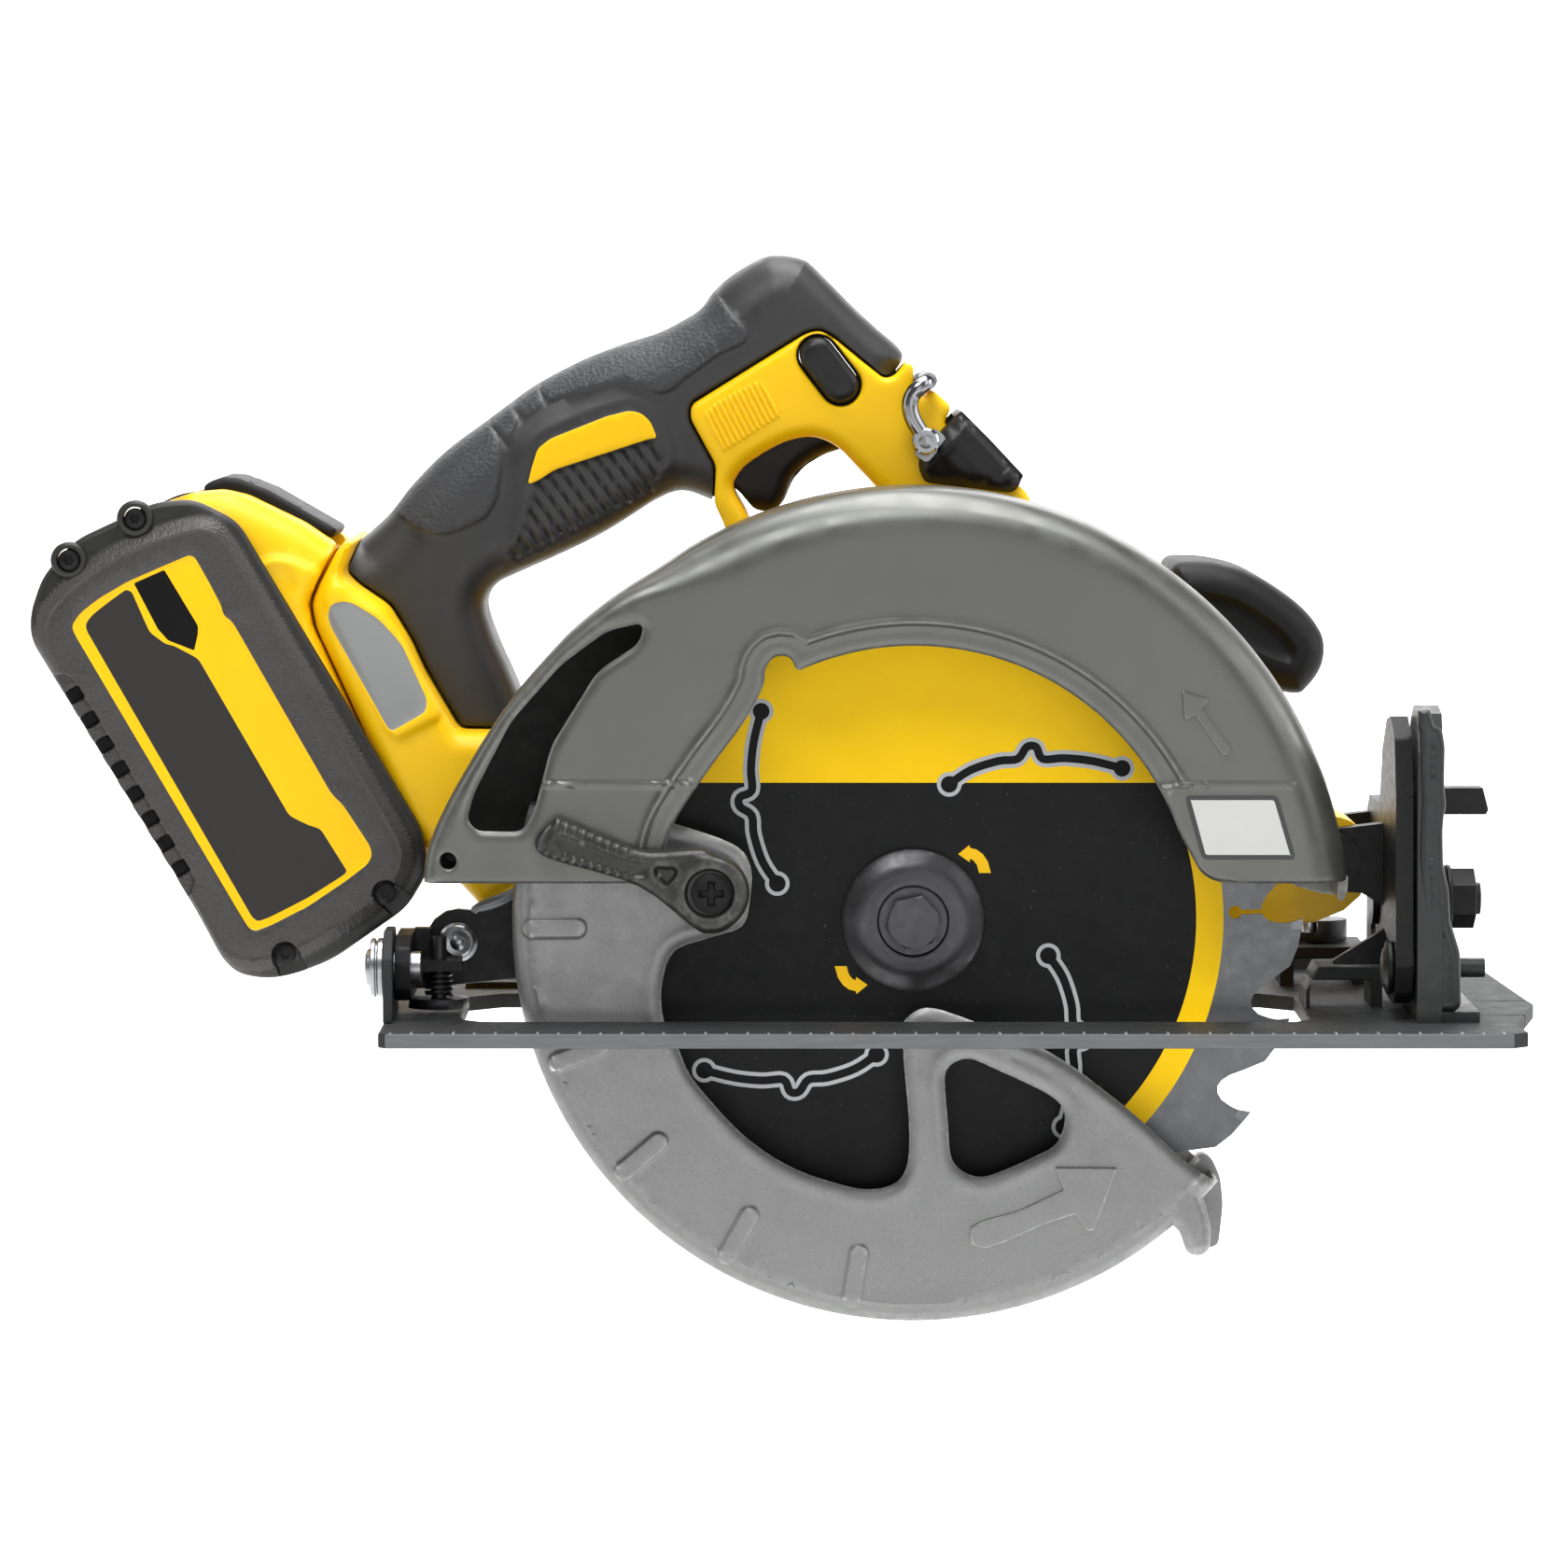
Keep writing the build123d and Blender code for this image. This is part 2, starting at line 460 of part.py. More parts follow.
# ---------------------------------------------------------------- handle, housing halves, foot
GY0, GY1 = YH - GRIP_W / 2, YH + GRIP_W / 2
grip_top = [(-136.6, 91.0), (-129.9, 97.0), (-123.8, 104.7), (-115.7, 112.8), (-106.3, 119.8), (-99.6, 124.8),
            (-92.9, 129.5), (-82.1, 135.2), (-72.1, 139.2), (-62.7, 142.2), (-56.0, 145.6), (-52.0, 148.3),
            (-48.4, 153.0), (-43.5, 157.1), (-36.6, 160.9), (-31.9, 161.5), (-27.1, 160.5), (-24.3, 158.8),
            (-16.1, 150.6), (-9.3, 144.1), (-2.0, 137.3), (-4.0, 132.4)]
grip_in = [(-6.5, 131.6), (-18.8, 141.5), (-22.3, 143.5), (-26.0, 142.8), (-54.2, 125.4), (-55.0, 123.6), (-55.0, 120.7),
           (-48.8, 109.5), (-49.3, 100.6), (-54.7, 102.7), (-58.7, 102.7), (-62.7, 101.0), (-65.4, 99.4), (-75.5, 93.0), (-85.6, 87.9),
           (-98.4, 82.2), (-102.4, 80.2), (-105.1, 77.2), (-105.8, 73.2), (-103.1, 65.1), (-99.8, 57.7), (-97.0, 51.0),
           (-99.0, 44.5), (-111.4, 44.6), (-120.0, 59.3), (-123.3, 66.4), (-128.7, 75.2), (-136.7, 80.6), (-139.6, 83.6)]
grip_outline = grip_top + grip_in
yellow = [(-54.5, 120.9), (-54.5, 123.4), (-53.8, 124.8), (-25.8, 142.2), (-22.3, 142.9), (-18.9, 140.9), (-6.6, 130.9),
          (-4.0, 131.6), (-1.0, 135.0), (0.8, 134.0), (0.6, 128.6), (3.4, 126.2), (7.2, 126.9), (8.6, 124.6), (8.4, 120.4), (22.4, 106.2), (27.6, 104.2), (29.6, 101.6), (34.0, 80.0), (41.0, 52.0), (41.0, 30.0),
          (-41.0, 30.0), (-47.0, 60.0), (-43.0, 80.0), (-46.2, 94.7), (-48.7, 100.0), (-48.2, 109.3)]
loop = [(-44.0, 105.2), (-41.7, 108.9), (-36.7, 112.4), (-31.1, 115.4), (-26.5, 116.5), (-23.3, 116.4), (-20.0, 115.2),
        (-17.2, 113.3), (-9.1, 104.7), (3.0, 91.0), (2.0, 83.0), (-6.0, 78.0), (-30.0, 77.0), (-36.0, 83.0),
        (-40.3, 96.9), (-43.8, 102.9)]
web = [(-40.0, 62.0), (-60.0, 58.0), (-90.0, 47.5), (-96.4, 50.0), (-104.0, 43.0), (-104.0, 8.0), (-96.0, 5.0), (-60.0, 6.0), (-34.0, 4.0), (-34.0, 62.0)]
foot = [(-147.7, 75.7), (-146.3, 79.5), (-141.4, 88.9), (-139.0, 91.7), (-137.2, 90.6), (-140.2, 83.4), (-137.2, 80.2), (-129.2, 74.8),
        (-123.9, 66.0), (-120.6, 58.6), (-112.0, 44.0), (-98.4, 43.8), (-96.0, 5.0), (-97.7, 4.4), (-102.1, 1.6), (-106.0, 0.8), (-109.6, 4.8),
        (-123.6, 19.8), (-139.3, 54.1), (-146.6, 69.9)]
core = [(-133.0, 89.0), (-126.5, 96.0), (-120.5, 103.0), (-112.0, 111.0), (-103.0, 118.0), (-91.5, 125.5), (-81.0, 131.0), (-71.0, 135.2),
        (-61.0, 138.6), (-53.5, 142.4), (-48.5, 146.2), (-44.0, 151.0), (-36.0, 156.6), (-30.0, 156.8), (-26.5, 155.4), (-19.0, 148.0), (-11.0, 140.0),
        (-11.0, 134.9), (-18.9, 140.9), (-22.3, 142.9), (-25.8, 142.2), (-53.8, 124.8), (-54.5, 123.4), (-54.5, 120.9), (-48.2, 109.3), (-50.0, 104.5), (-55.0, 106.0),
        (-63.5, 105.0), (-77.0, 97.2), (-87.0, 92.2), (-100.0, 86.4), (-106.2, 83.4), (-109.2, 78.0), (-109.6, 72.6), (-106.8, 64.0),
        (-102.5, 52.0), (-102.5, 38.0), (-108.0, 38.0), (-108.0, 44.8), (-116.8, 60.0), (-120.0, 67.6), (-126.4, 77.4), (-134.2, 82.4)]

CY0, CY1 = GY0 + 2.4, GY1 - 2.4
panel = prism(yellow, GY0 - 1.0, GY1 + 1.0) - prism(loop, GY0 - 3, GY1 + 3)
panel = soften(panel, [e for e in yedges(panel, GY0 - 1.0) + yedges(panel, GY1 + 1.0) if e.center().Z > 76], 1.6)
body = panel + prism(web, YH - 16, YH + 16) + prism(foot, FOOT_Y0, FOOT_Y1) + prism(core, CY0, CY1)
# hollows: grip, trigger bay, foot
body -= prism([(-128.0, 88.0), (-108.0, 110.0), (-88.0, 123.5), (-60.0, 135.5), (-50.0, 140.5), (-38.0, 151.0), (-29.0, 152.5), (-18.0, 142.8),
               (-22.0, 140.2), (-27.0, 138.6), (-50.0, 125.0), (-51.5, 121.5), (-52.0, 112.0), (-57.0, 109.5), (-64.5, 108.2), (-100.0, 90.4), (-110.0, 86.0), (-114.0, 78.0),
               (-114.0, 72.0), (-120.5, 72.4), (-128.0, 82.0)], CY0 + 2.6, CY1 - 2.6)
bay = [(-49.6, 106.0), (-47.0, 111.8), (-36.0, 123.5), (-51.0, 123.5), (-51.0, 139.6), (-29.0, 142.4), (-28.0, 128.4), (-12.5, 124.0), (-12.0, 109.0), (-17.0, 112.0), (-24.0, 110.0), (-36.0, 97.0), (-38.6, 96.2), (-44.6, 100.8)]
body -= prism(bay, YH - 9.6, YH + 9.6)
body -= prism([(-143.0, 73.0), (-140.0, 80.0), (-135.0, 76.0), (-127.0, 70.5), (-118.0, 57.0), (-111.0, 41.0), (-101.5, 40.5), (-100.0, 9.0), (-107.0, 6.0), (-120.5, 21.0), (-136.0, 55.0)],
              FOOT_Y0 + 3, FOOT_Y1 - 3)
body -= prism([(-110.0, 38.5), (-100.0, 40.5), (-60.0, 52.0), (-50.0, 54.0), (-47.0, 12.0), (-60.0, 10.0), (-100.0, 9.0), (-106.0, 12.0)], YH - 13, YH + 13)
# lock-off slot across the handle
LO_A, LO_B = (-24.0, 138.0), (-16.4, 128.1)


def oval(a, b, r, n=10):
    ang = math.degrees(math.atan2(b[1] - a[1], b[0] - a[0]))
    pts = [(b[0] + pol(r, ang - 90 + 180 * i / n)[0], b[1] + pol(r, ang - 90 + 180 * i / n)[1]) for i in range(n + 1)]
    pts += [(a[0] + pol(r, ang + 90 + 180 * i / n)[0], a[1] + pol(r, ang + 90 + 180 * i / n)[1]) for i in range(n + 1)]
    return pts


LO_A2, LO_B2 = (-23.0, 136.7), (-17.4, 129.4)
body -= prism(oval(LO_A2, LO_B2, 4.9), 20, 95)
# seat round the motor housing and gear case
body -= cy(0, MOTOR_Z, MOTOR_R + 0.3, 25.0, 140.0)
# bosses of the housing screws
HS = [(-126.0, 86.5), (-111.8, 62.0), (-82.0, 113.0), (-27.5, 150.0), (-58.0, 118.0), (11.0, 108.0), (22.0, 86.0), (-104.0, 15.0), (-70.0, 46.0)]
HS_Y = {0: (CY0, CY1), 7: (FOOT_Y0, FOOT_Y1)}
for i, p in enumerate(HS):
    post = cy(p[0], p[1], 3.6, CY0 + 1, CY1 - 1)
    body += post & (prism(core, CY0, CY1) + prism(yellow, GY0, GY1) + prism(web, YH - 16, YH + 16) + prism(foot, FOOT_Y0, FOOT_Y1))
for p in HS:
    body -= cy(p[0], p[1], 1.55, CY0 + 1.0, CY1 - 3.0)
    body -= cy(p[0], p[1], 3.0, FOOT_Y0 - 4, CY0 + 2.6)
# terminal slot towards the battery
body -= prism([(-147.0, 46.0), (-128.0, 56.6), (-118.0, 38.0), (-137.0, 27.4)], YH - 24, YH + 24)
near = body & box(-300, 300, -100, YH - 0.05, -300, 300)
far = body & box(-300, 300, YH + 0.05, 300, -300, 300)
main = lambda s: max(s.solids(), key=lambda q: q.volume)
NEAR, FAR = main(near), main(far)
node("housing_near_half", NEAR)
node("housing_far_half", FAR)
hscrews = []
for p in HS:
    hscrews.append(cy(p[0], p[1], 1.5, CY0 + 2.0, CY1 - 3.2) + cy(p[0], p[1], 2.8, CY0 + 0.7, CY0 + 2.55))
node("housing_screws", *hscrews)

sleeve = prism(grip_outline, GY0, GY1)
sleeve = soften(sleeve, yedges(sleeve, GY0) + yedges(sleeve, GY1), 2.2)
sleeve -= prism(core, CY0 - 0.02, CY1 + 0.02)
sleeve -= prism(yellow, GY0 - 3, GY1 + 3) + prism(foot, FOOT_Y0 - 1, FOOT_Y1 + 1) + prism(web, YH - 17, YH + 17)
for p in HS:
    sleeve -= cy(p[0], p[1], 3.1, FOOT_Y0 - 4, CY0 + 0.2)
sleeve -= prism(oval(LO_A2, LO_B2, 4.9), 20, 95)
node("grip_overmould", main(sleeve))

trig = [(-38.6, 98.0), (-43.0, 103.2), (-46.0, 104.6), (-47.6, 107.0), (-46.4, 108.9), (-43.0, 109.6), (-37.0, 113.6), (-31.0, 117.0), (-26.0, 118.0),
        (-20.5, 117.6), (-16.6, 115.6), (-16.2, 113.6), (-21.9, 111.6), (-25.9, 109.2), (-29.2, 105.6), (-31.3, 100.3), (-34.2, 97.4)]
trigger = prism(trig, YH - 8.6, YH + 8.6)
trigger = soften(trigger, [e for e in yedges(trigger, YH - 8.6) + yedges(trigger, YH + 8.6) if e.center().Z < 112 and e.center().X > -36], 1.6)
trigger -= cy(TRIG_X, TRIG_Z, 1.56, 30, 90)
node("trigger", trigger)
node("trigger_pin", cy(TRIG_X, TRIG_Z, 1.5, YH - 15.0, YH + 15.0))
pin_hole = cy(TRIG_X, TRIG_Z, 1.52, YH - 15.1, YH + 15.1)
NODES["housing_near_half"] = list((NEAR - pin_hole).solids())
NODES["housing_far_half"] = list((FAR - pin_hole).solids())
node("lock_off_button", prism(oval(LO_A2, LO_B2, 4.5), GY0 - 3.6, GY1 + 3.6))
node("switch_module", box(-49.5, -30.0, YH - 8.8, YH + 8.8, 125.0, 138.6))
node("control_board", box(-98.0, -56.0, YH - 10.0, YH - 8.2, 12.5, 40.0) - box(-78.6, -71.4, YH - 12, YH, 26.4, 33.6))

# contact block in the foot
tb = prism([(-139.6, 42.0), (-130.8, 46.8), (-122.6, 32.0), (-131.4, 27.2)], YH - 20, YH + 20)
tb = tb & prism([(-123.2, 19.8), (-138.9, 54.1), (-118.0, 60.0), (-100.0, 20.0)], YH - 22, YH + 22)
node("terminal_block", main(tb))
for half in ("housing_near_half", "housing_far_half"):
    NODES[half] = list((NODES[half][0] - main(tb)).solids())

# ---------------------------------------------------------------- front handle, key holder, bail
fh = rprism([(64.5, 78.0), (66.2, 84.3), (71.8, 85.0), (77.5, 84.5), (84.6, 82.6), (91.8, 78.6), (98.9, 73.1), (103.2, 67.4),
             (104.2, 62.7), (103.2, 58.0), (100.2, 53.7), (96.9, 51.8), (88.0, 54.0), (76.0, 60.0), (66.0, 67.0)], 1.5, 48.0, 104.0)
fh = soften(fh, yedges(fh, 48.0) + yedges(fh, 104.0), 5.0)
fh += prism([(46.0, 55.0), (62.0, 76.0), (70.0, 80.0), (80.0, 62.0), (58.0, 44.0)], 72.0, 100.0)
fh -= cy(0, MOTOR_Z, MOTOR_R + 0.3, 20, 140)
stem = prism([(22.0, 36.0), (52.0, 67.0), (66.0, 54.0), (36.0, 26.0)], 78.6, 94.0) - cy(0, MOTOR_Z, MOTOR_R - 2.0, 20, 140)
can += stem
node("motor_housing", can)
fh -= prism([(22.0, 36.0), (52.0, 67.0), (66.0, 54.0), (36.0, 26.0)], 78.5, 94.1)
node("front_handle", max(fh.solids(), key=lambda q: q.volume))

hold_out = [(7.9, 118.7), (12.5, 123.1), (19.4, 116.2), (28.1, 106.9), (25.8, 102.6), (3.3, 105.3), (1.9, 109.2), (2.3, 111.8)]
HY0, HY1 = GY0 - 4.8, GY1 + 4.8
holder = prism(hold_out, HY0, HY1)
holder = soften(holder, yedges(holder, HY0) + yedges(holder, HY1), 2.4)
holder -= prism(yellow, GY0 - 1.15, GY1 + 1.15)
BAIL_X, BAIL_Z = 3.6, 115.6
for y0, y1 in ((28.0, GY0 - 1.15), (GY1 + 1.15, 86.0)):
    holder += cy(BAIL_X, BAIL_Z, 1.6, y0, y1)
for y0, y1 in ((HY0, GY0 - 1.15), (GY1 + 1.15, HY1)):
    holder += prism([(0.6, 112.6), (2.2, 119.0), (6.8, 118.4), (9.0, 116.0), (4.0, 110.0)], y0, y1)
node("key_holder", holder)


def rod(pts, r):
    s = None
    for a, b in zip(pts[:-1], pts[1:]):
        va, vb = Vector(*a), Vector(*b)
        d = vb - va
        c = Plane(origin=va, z_dir=d) * Pos(0, 0, d.length / 2) * Cylinder(r, d.length)
        s = c if s is None else s + c
    for p in pts[1:-1]:
        s += Pos(*p) * Sphere(r)
    return s


leg = [(BAIL_X - 0.4, BAIL_Z + 1.0), (0.3, 120.0), (-0.6, 124.4), (0.8, 128.6), (3.9, 130.6)]
bail = rod([(x, 30.4, z) for x, z in leg] + [(x, 83.6, z) for x, z in leg[::-1]], 2.1)
for y in (30.4, 83.6):
    bail += cy(BAIL_X, BAIL_Z, 3.4, y - 2.1, y + 2.1)
    bail -= cy(BAIL_X, BAIL_Z, 1.66, y - 4, y + 4)
node("bail", bail)

# ---------------------------------------------------------------- battery
cover = [(-176.1, 101.8), (-186, 100.9), (-193.3, 97.3), (-205.1, 91.8), (-213.3, 82.8), (-216.5, 73.8), (-216.5, 67.4), (-175.8, 0.3),
         (-169.6, -11.6), (-166, -15.2), (-158.7, -16.6), (-151.5, -15.2), (-142.4, -11.6), (-133.3, -5.2), (-124.2, 1.2), (-118.8, 10.3),
         (-120.2, 20.3), (-165.3, 96.3)]
pack = [(-142.9, 90.6), (-142.4, 89.3), (-147.0, 79.9), (-148.4, 75.8), (-147.2, 69.7), (-139.9, 54.0), (-124.4, 19.3), (-120.0, 13.5), (-119.8, 10.6),
        (-125.0, 2.2), (-134, -4.3), (-143, -10.6), (-152, -14.0), (-158.7, -15.2), (-165, -13.8), (-168.5, -10.8), (-175, 0.8), (-215.3, 67.6),
        (-215.3, 73.6), (-212.2, 82.2), (-204.5, 90.7), (-193, 96.4), (-186, 100.0), (-176.5, 103.0), (-170.0, 103.6), (-164.0, 102.2), (-150.0, 95.4)]
bcase = prism(pack, BAT_Y0 + 4.7, BAT_Y1 - 4.7)
cav = [de(d, e) for d, e in [(-55, -14.8), (-55, 14.8), (-47.4, 22.4), (47.4, 22.4), (55, 14.8), (55, -14.8), (47.4, -22.4), (-47.4, -22.4)]]
bcase -= prism(cav, BAT_Y0 + 7.6, BAT_Y1 - 7.6)
latch_out = [(-175.6, 104.2), (-174.0, 105.4), (-170.6, 106.6), (-167.0, 106.3), (-159.3, 103.3), (-142.3, 93.5), (-143.4, 91.2), (-155.2, 94.4), (-167.6, 100.2), (-175.2, 101.4)]
pocket = [(-177.4, 105.0), (-172.0, 110.0), (-138.0, 98.0), (-142.6, 88.4), (-145.0, 88.2), (-156.8, 91.0), (-169.2, 96.6), (-177.4, 97.6)]
bcase -= prism(pocket, YH - 17.6, YH + 17.6)
bcase = max(bcase.solids(), key=lambda q: q.volume)
# contact slots towards the foot
for k in (-12, -4, 4, 12):
    bcase -= prism([(-139.0, 40.0), (-134.5, 46.0), (-128.0, 31.0), (-132.0, 28.0)], YH + k - 1.0, YH + k + 1.0)
bcase = max(bcase.solids(), key=lambda q: q.volume)
node("battery_case", bcase)
BS = [(-190.3, 97.0), (-206.6, 86.8), (-129.3, 4.9), (-154.1, -10.2)]
bc0 = prism(cover, BAT_Y0, BAT_Y0 + 4.6)
bc0 = soften(bc0, yedges(bc0, BAT_Y0), 2.0)
# bosses round the two upper screws stand out of the edge
for p in BS[:2]:
    bc0 += cy(p[0], p[1], 4.5, BAT_Y0 + 0.1, BAT_Y0 + 4.6)
bc1 = prism(cover, BAT_Y1 - 4.6, BAT_Y1)
bc1 = soften(bc1, yedges(bc1, BAT_Y1), 2.0)
# shallow field of the near cover, and its side vents
field = [de(d, e) for d, e in [(-42, -19), (-42, 12), (38, 12), (44, 6), (44, -14), (38, -19)]]
bc0 -= prism(field, BAT_Y0 - 1, BAT_Y0 + 0.6)
bscrews = []
for p in BS:
    bc0 -= cy(p[0], p[1], 1.6, BAT_Y0 - 1, BAT_Y0 + 6) + cy(p[0], p[1], 2.9, BAT_Y0 - 1, BAT_Y0 + 2.0)
    bscrews.append(cy(p[0], p[1], 1.5, BAT_Y0 + 1.0, BAT_Y0 + 4.6) + (cy(p[0], p[1], 2.7, BAT_Y0 + 0.5, BAT_Y0 + 1.95)
                   - prism([(p[0] + q[0], p[1] + q[1]) for q in [pol(1.4, 60 * i) for i in range(6)]], BAT_Y0, BAT_Y0 + 1.3)))
node("battery_cover_near", bc0)
node("battery_cover_far", bc1)
node("battery_screws", *bscrews)
node("battery_cells", *[cy(*de(21.6 * i, 10.9 * j), 10.3, BAT_Y0 + 7.9, BAT_Y1 - 7.9) for i in (-2, -1, 0, 1, 2) for j in (-1, 1)])
latch = prism(latch_out, YH - 17.2, YH + 17.2)
node("battery_latch", latch)

# ---------------------------------------------------------------- carriage: depth bracket and front bracket
def arc_pt(r, b):
    return (DEPTH_X - r * math.cos(math.radians(b)), DEPTH_Z + r * math.sin(math.radians(b)))


fb = xprism([(-16.5, -10), (-14.6, -17), (-9, -19.6), (2, -19.6), (66, -15), (66.5, 22), (60, 26), (31, 26), (24, 40), (13, 48.0), (2, 49.5),
             (-9, 45), (-14, 31)], 116.2, 120.4, 2.0)
ear = [(118, 22.0), (106, 20.6), (99.4, 18.6), (96.2, 13.0), (98.4, 7.6), (104.6, 5.0), (111, 4.6), (118, 0.5)]
for y0, y1 in ((20.6, 26.2), (58.8, 64.4)):
    e = rprism(ear, 1.2, y0, y1)
    fb += e
    fb -= cy(DEPTH_X, DEPTH_Z, 5.02, y0 - 1, y1 + 1)
# gusset towards the fence guide
fb += prism([(116.6, -3.6), (103.6, -11.6), (103.6, -12.6), (116.6, -12.6)], 15.4, 18.4)
fb -= cx(BEV_Y, BEV_Z, 4.06, 110, 125) + cx(NUT_Y, NUT_Z, 4.02, 110, 125)
fb -= xprism([(40, -9), (40, 16), (54, 16), (54, -9)], 110, 125, 3.0)
node("front_bracket", fb)
node("depth_pin", cy(DEPTH_X, DEPTH_Z, 5.0, 18.4, 66.6) + cy(DEPTH_X, DEPTH_Z, 6.6, 18.2, 20.5) + cy(DEPTH_X, DEPTH_Z, 6.6, 64.5, 66.9))

arc = [arc_pt(ARC_R + 8, b) for b in range(-6, 39, 3)] + [arc_pt(ARC_R - 8, b) for b in range(36, -9, -3)]
db = prism(arc, 15.6, 19.4)
db += prism([(-121.6, -18.6), (-121.6, -9.0), (-119.4, -4.6), (-117.4, -1.6), (-114.6, 0.4), (-111.5, 1.0), (-108.0, 0.6), (-104.0, 1.4), (-97.0, 4.6), (-80, 8), (-47, 6), (-30, -3.6), (-40, -8.0), (-70, -12.5), (-96, -16.0)], 15.6, 19.4)
slot_pts = [arc_pt(ARC_R + 3.5, b) for b in range(2, 35, 2)] + [arc_pt(ARC_R - 3.5, b) for b in range(34, 1, -2)]
db -= prism(slot_pts, 10, 25)
for b in (2, 34):
    q = arc_pt(ARC_R, b)
    db -= cy(q[0], q[1], 3.5, 10, 25)
db -= prism(band([(-98, -6.0), (-76, -3.0)], 4.0), 10, 25)
node("depth_bracket", db)
CLAMP = arc_pt(ARC_R, 2.0)

rb = xprism([(-15.5, -9.6), (-14, -16), (-8.5, -19.0), (19.4, -19.0), (19.4, -4.6), (12, -3.2), (-6, -3.4), (-14, -5.6)], -125.4, -121.7, 1.5)
rb += box(-122.0, -117.9, 11.4, 15.4, -18.0, -3.2)
rb -= cx(BEV_Y, BEV_Z, 4.06, -130, -115)
rb += box(-122.0, -110.2, -1.5, 11.5, -12.6, -10.0)
rb -= cz(-115.8, 5.0, 2.05, -20, 0)
node("rear_bracket", rb)
node("bracket_rivet", cy(-111.5, -7.0, 4.9, 12.9, 15.5) + cy(-111.5, -7.0, 3.0, 15.4, 21.0) + cy(-111.5, -7.0, 4.4, 19.5, 21.6))
NODES["depth_bracket"] = list((db - cy(-111.5, -7.0, 3.02, 10, 25)).solids())
adj = cz(-115.8, 5.0, 2.0, -21.6, -4.6) + cz(-115.8, 5.0, 7.4, -22.0, -19.6)
node("adjuster_screw", adj)
bolt_b = cx(NUT_Y, NUT_Z, 3.98, 115.0, 141.6) + cx(NUT_Y, NUT_Z, 6.4, 114.6, 116.1)
node("bevel_bolt", bolt_b)
nut = xprism([(NUT_Y + q[0], NUT_Z + q[1]) for q in [pol(7.6, 60 * i + 30) for i in range(6)]], 133.4, 140.2) + cx(NUT_Y, NUT_Z, 8.4, 132.9, 134.2)
nut -= cx(NUT_Y, NUT_Z, 4.0, 130, 145)
node("bevel_nut", nut)
blev = cx(NUT_Y, NUT_Z, 8.6, 127.7, 132.5)
blev += xprism([(29.0, 2.0), (41.0, 2.0), (47.0, 21.0), (47.0, 29.2), (37.0, 29.2), (36.0, 21.0)], 127.7, 131.2, 1.5)
blev += prism([(127.7, 22.6), (143.4, 22.6), (144.0, 23.8), (142.6, 29.2), (127.7, 29.2)], 38.6, 47.0)
blev -= cx(NUT_Y, NUT_Z, 4.05, 120, 140)
node("bevel_lever", blev)

# depth clamp on the saw body
node("depth_clamp_stud", cy(CLAMP[0], CLAMP[1], 3.0, 11.7, 28.4) + cy(CLAMP[0], CLAMP[1], 4.6, 14.1, 15.2)
     + cy(CLAMP[0], CLAMP[1], 5.0, 26.2, 28.4))
dl = cy(CLAMP[0], CLAMP[1], 8.0, 19.9, 25.8)
dl += prism([(CLAMP[0] - 2.0, CLAMP[1] - 6.0), (CLAMP[0] - 40.0, CLAMP[1] + 10.0), (CLAMP[0] - 44.0, CLAMP[1] + 17.0),
             (CLAMP[0] - 37.0, CLAMP[1] + 20.0), (CLAMP[0] + 2.0, CLAMP[1] + 7.0)], 21.0, 25.8)
dl -= cy(CLAMP[0], CLAMP[1], 3.06, 10, 40)
node("depth_lever", dl)

# ---------------------------------------------------------------- shoe
sole = [(-128, -40), (-126, -42), (142, -42), (146, -38), (145, -21.5), (154, 24.6), (150.5, 104), (140, 112), (-122, 112), (-128, 106)]
shoe = zprism(sole, -SOLE, SHOE_TOP)
slot = [(-104, -15), (-109, -10), (-110, -2), (-110, 42), (-102, 50), (88, 50), (96, 42), (96, -9), (92, -15)]
shoe -= zprism(slot, -40, 0)
# stiffening rim and pressed ribs
rim = zprism([(-126.0, 104.0), (-120.5, 109.8), (139, 109.8), (139, 106.8), (-119, 106.8), (-123, 102.6)], SHOE_TOP - 0.5, SHOE_TOP + 4.0)
shoe += rim
for y in (66.0, 88.0):
    shoe += box(-112, 84, y - 3, y + 3, SHOE_TOP - 0.5, SHOE_TOP + 1.6)
# cut-line notches of the front edge
shoe -= zprism([(140.5, 0.0), (170, -1.6), (170, 1.6)], -40, 0)
shoe -= zprism([(141.5, 33.0), (170, 31.4), (170, 34.6)], -40, 0)
# fence bridge
shoe += box(94.5, 98.0, 68.0, 96.0, SHOE_TOP - 0.5, -13.4) + box(113.0, 116.5, 68.0, 96.0, SHOE_TOP - 0.5, -13.4) + box(94.5, 116.5, 68.0, 96.0, -16.4, -13.4)
shoe -= cz(105.5, 82.0, 2.55, -17, 0)
# near fence guide, in line with the bridge
guide = prism([(97.0, SHOE_TOP - 0.5), (97.0, -19.0), (100.0, -13.2), (115.8, -13.2), (115.8, SHOE_TOP - 0.5)], 14.6, 36.0)
guide -= box(98.0, 113.0, 10, 40, SHOE_TOP - 1, -16.4)
shoe += guide
node("shoe_plate", shoe)
node("fence_screw", cz(105.5, 82.0, 2.5, -16.9, -12.0) + cz(105.5, 82.0, 7.0, -12.9, -7.4))

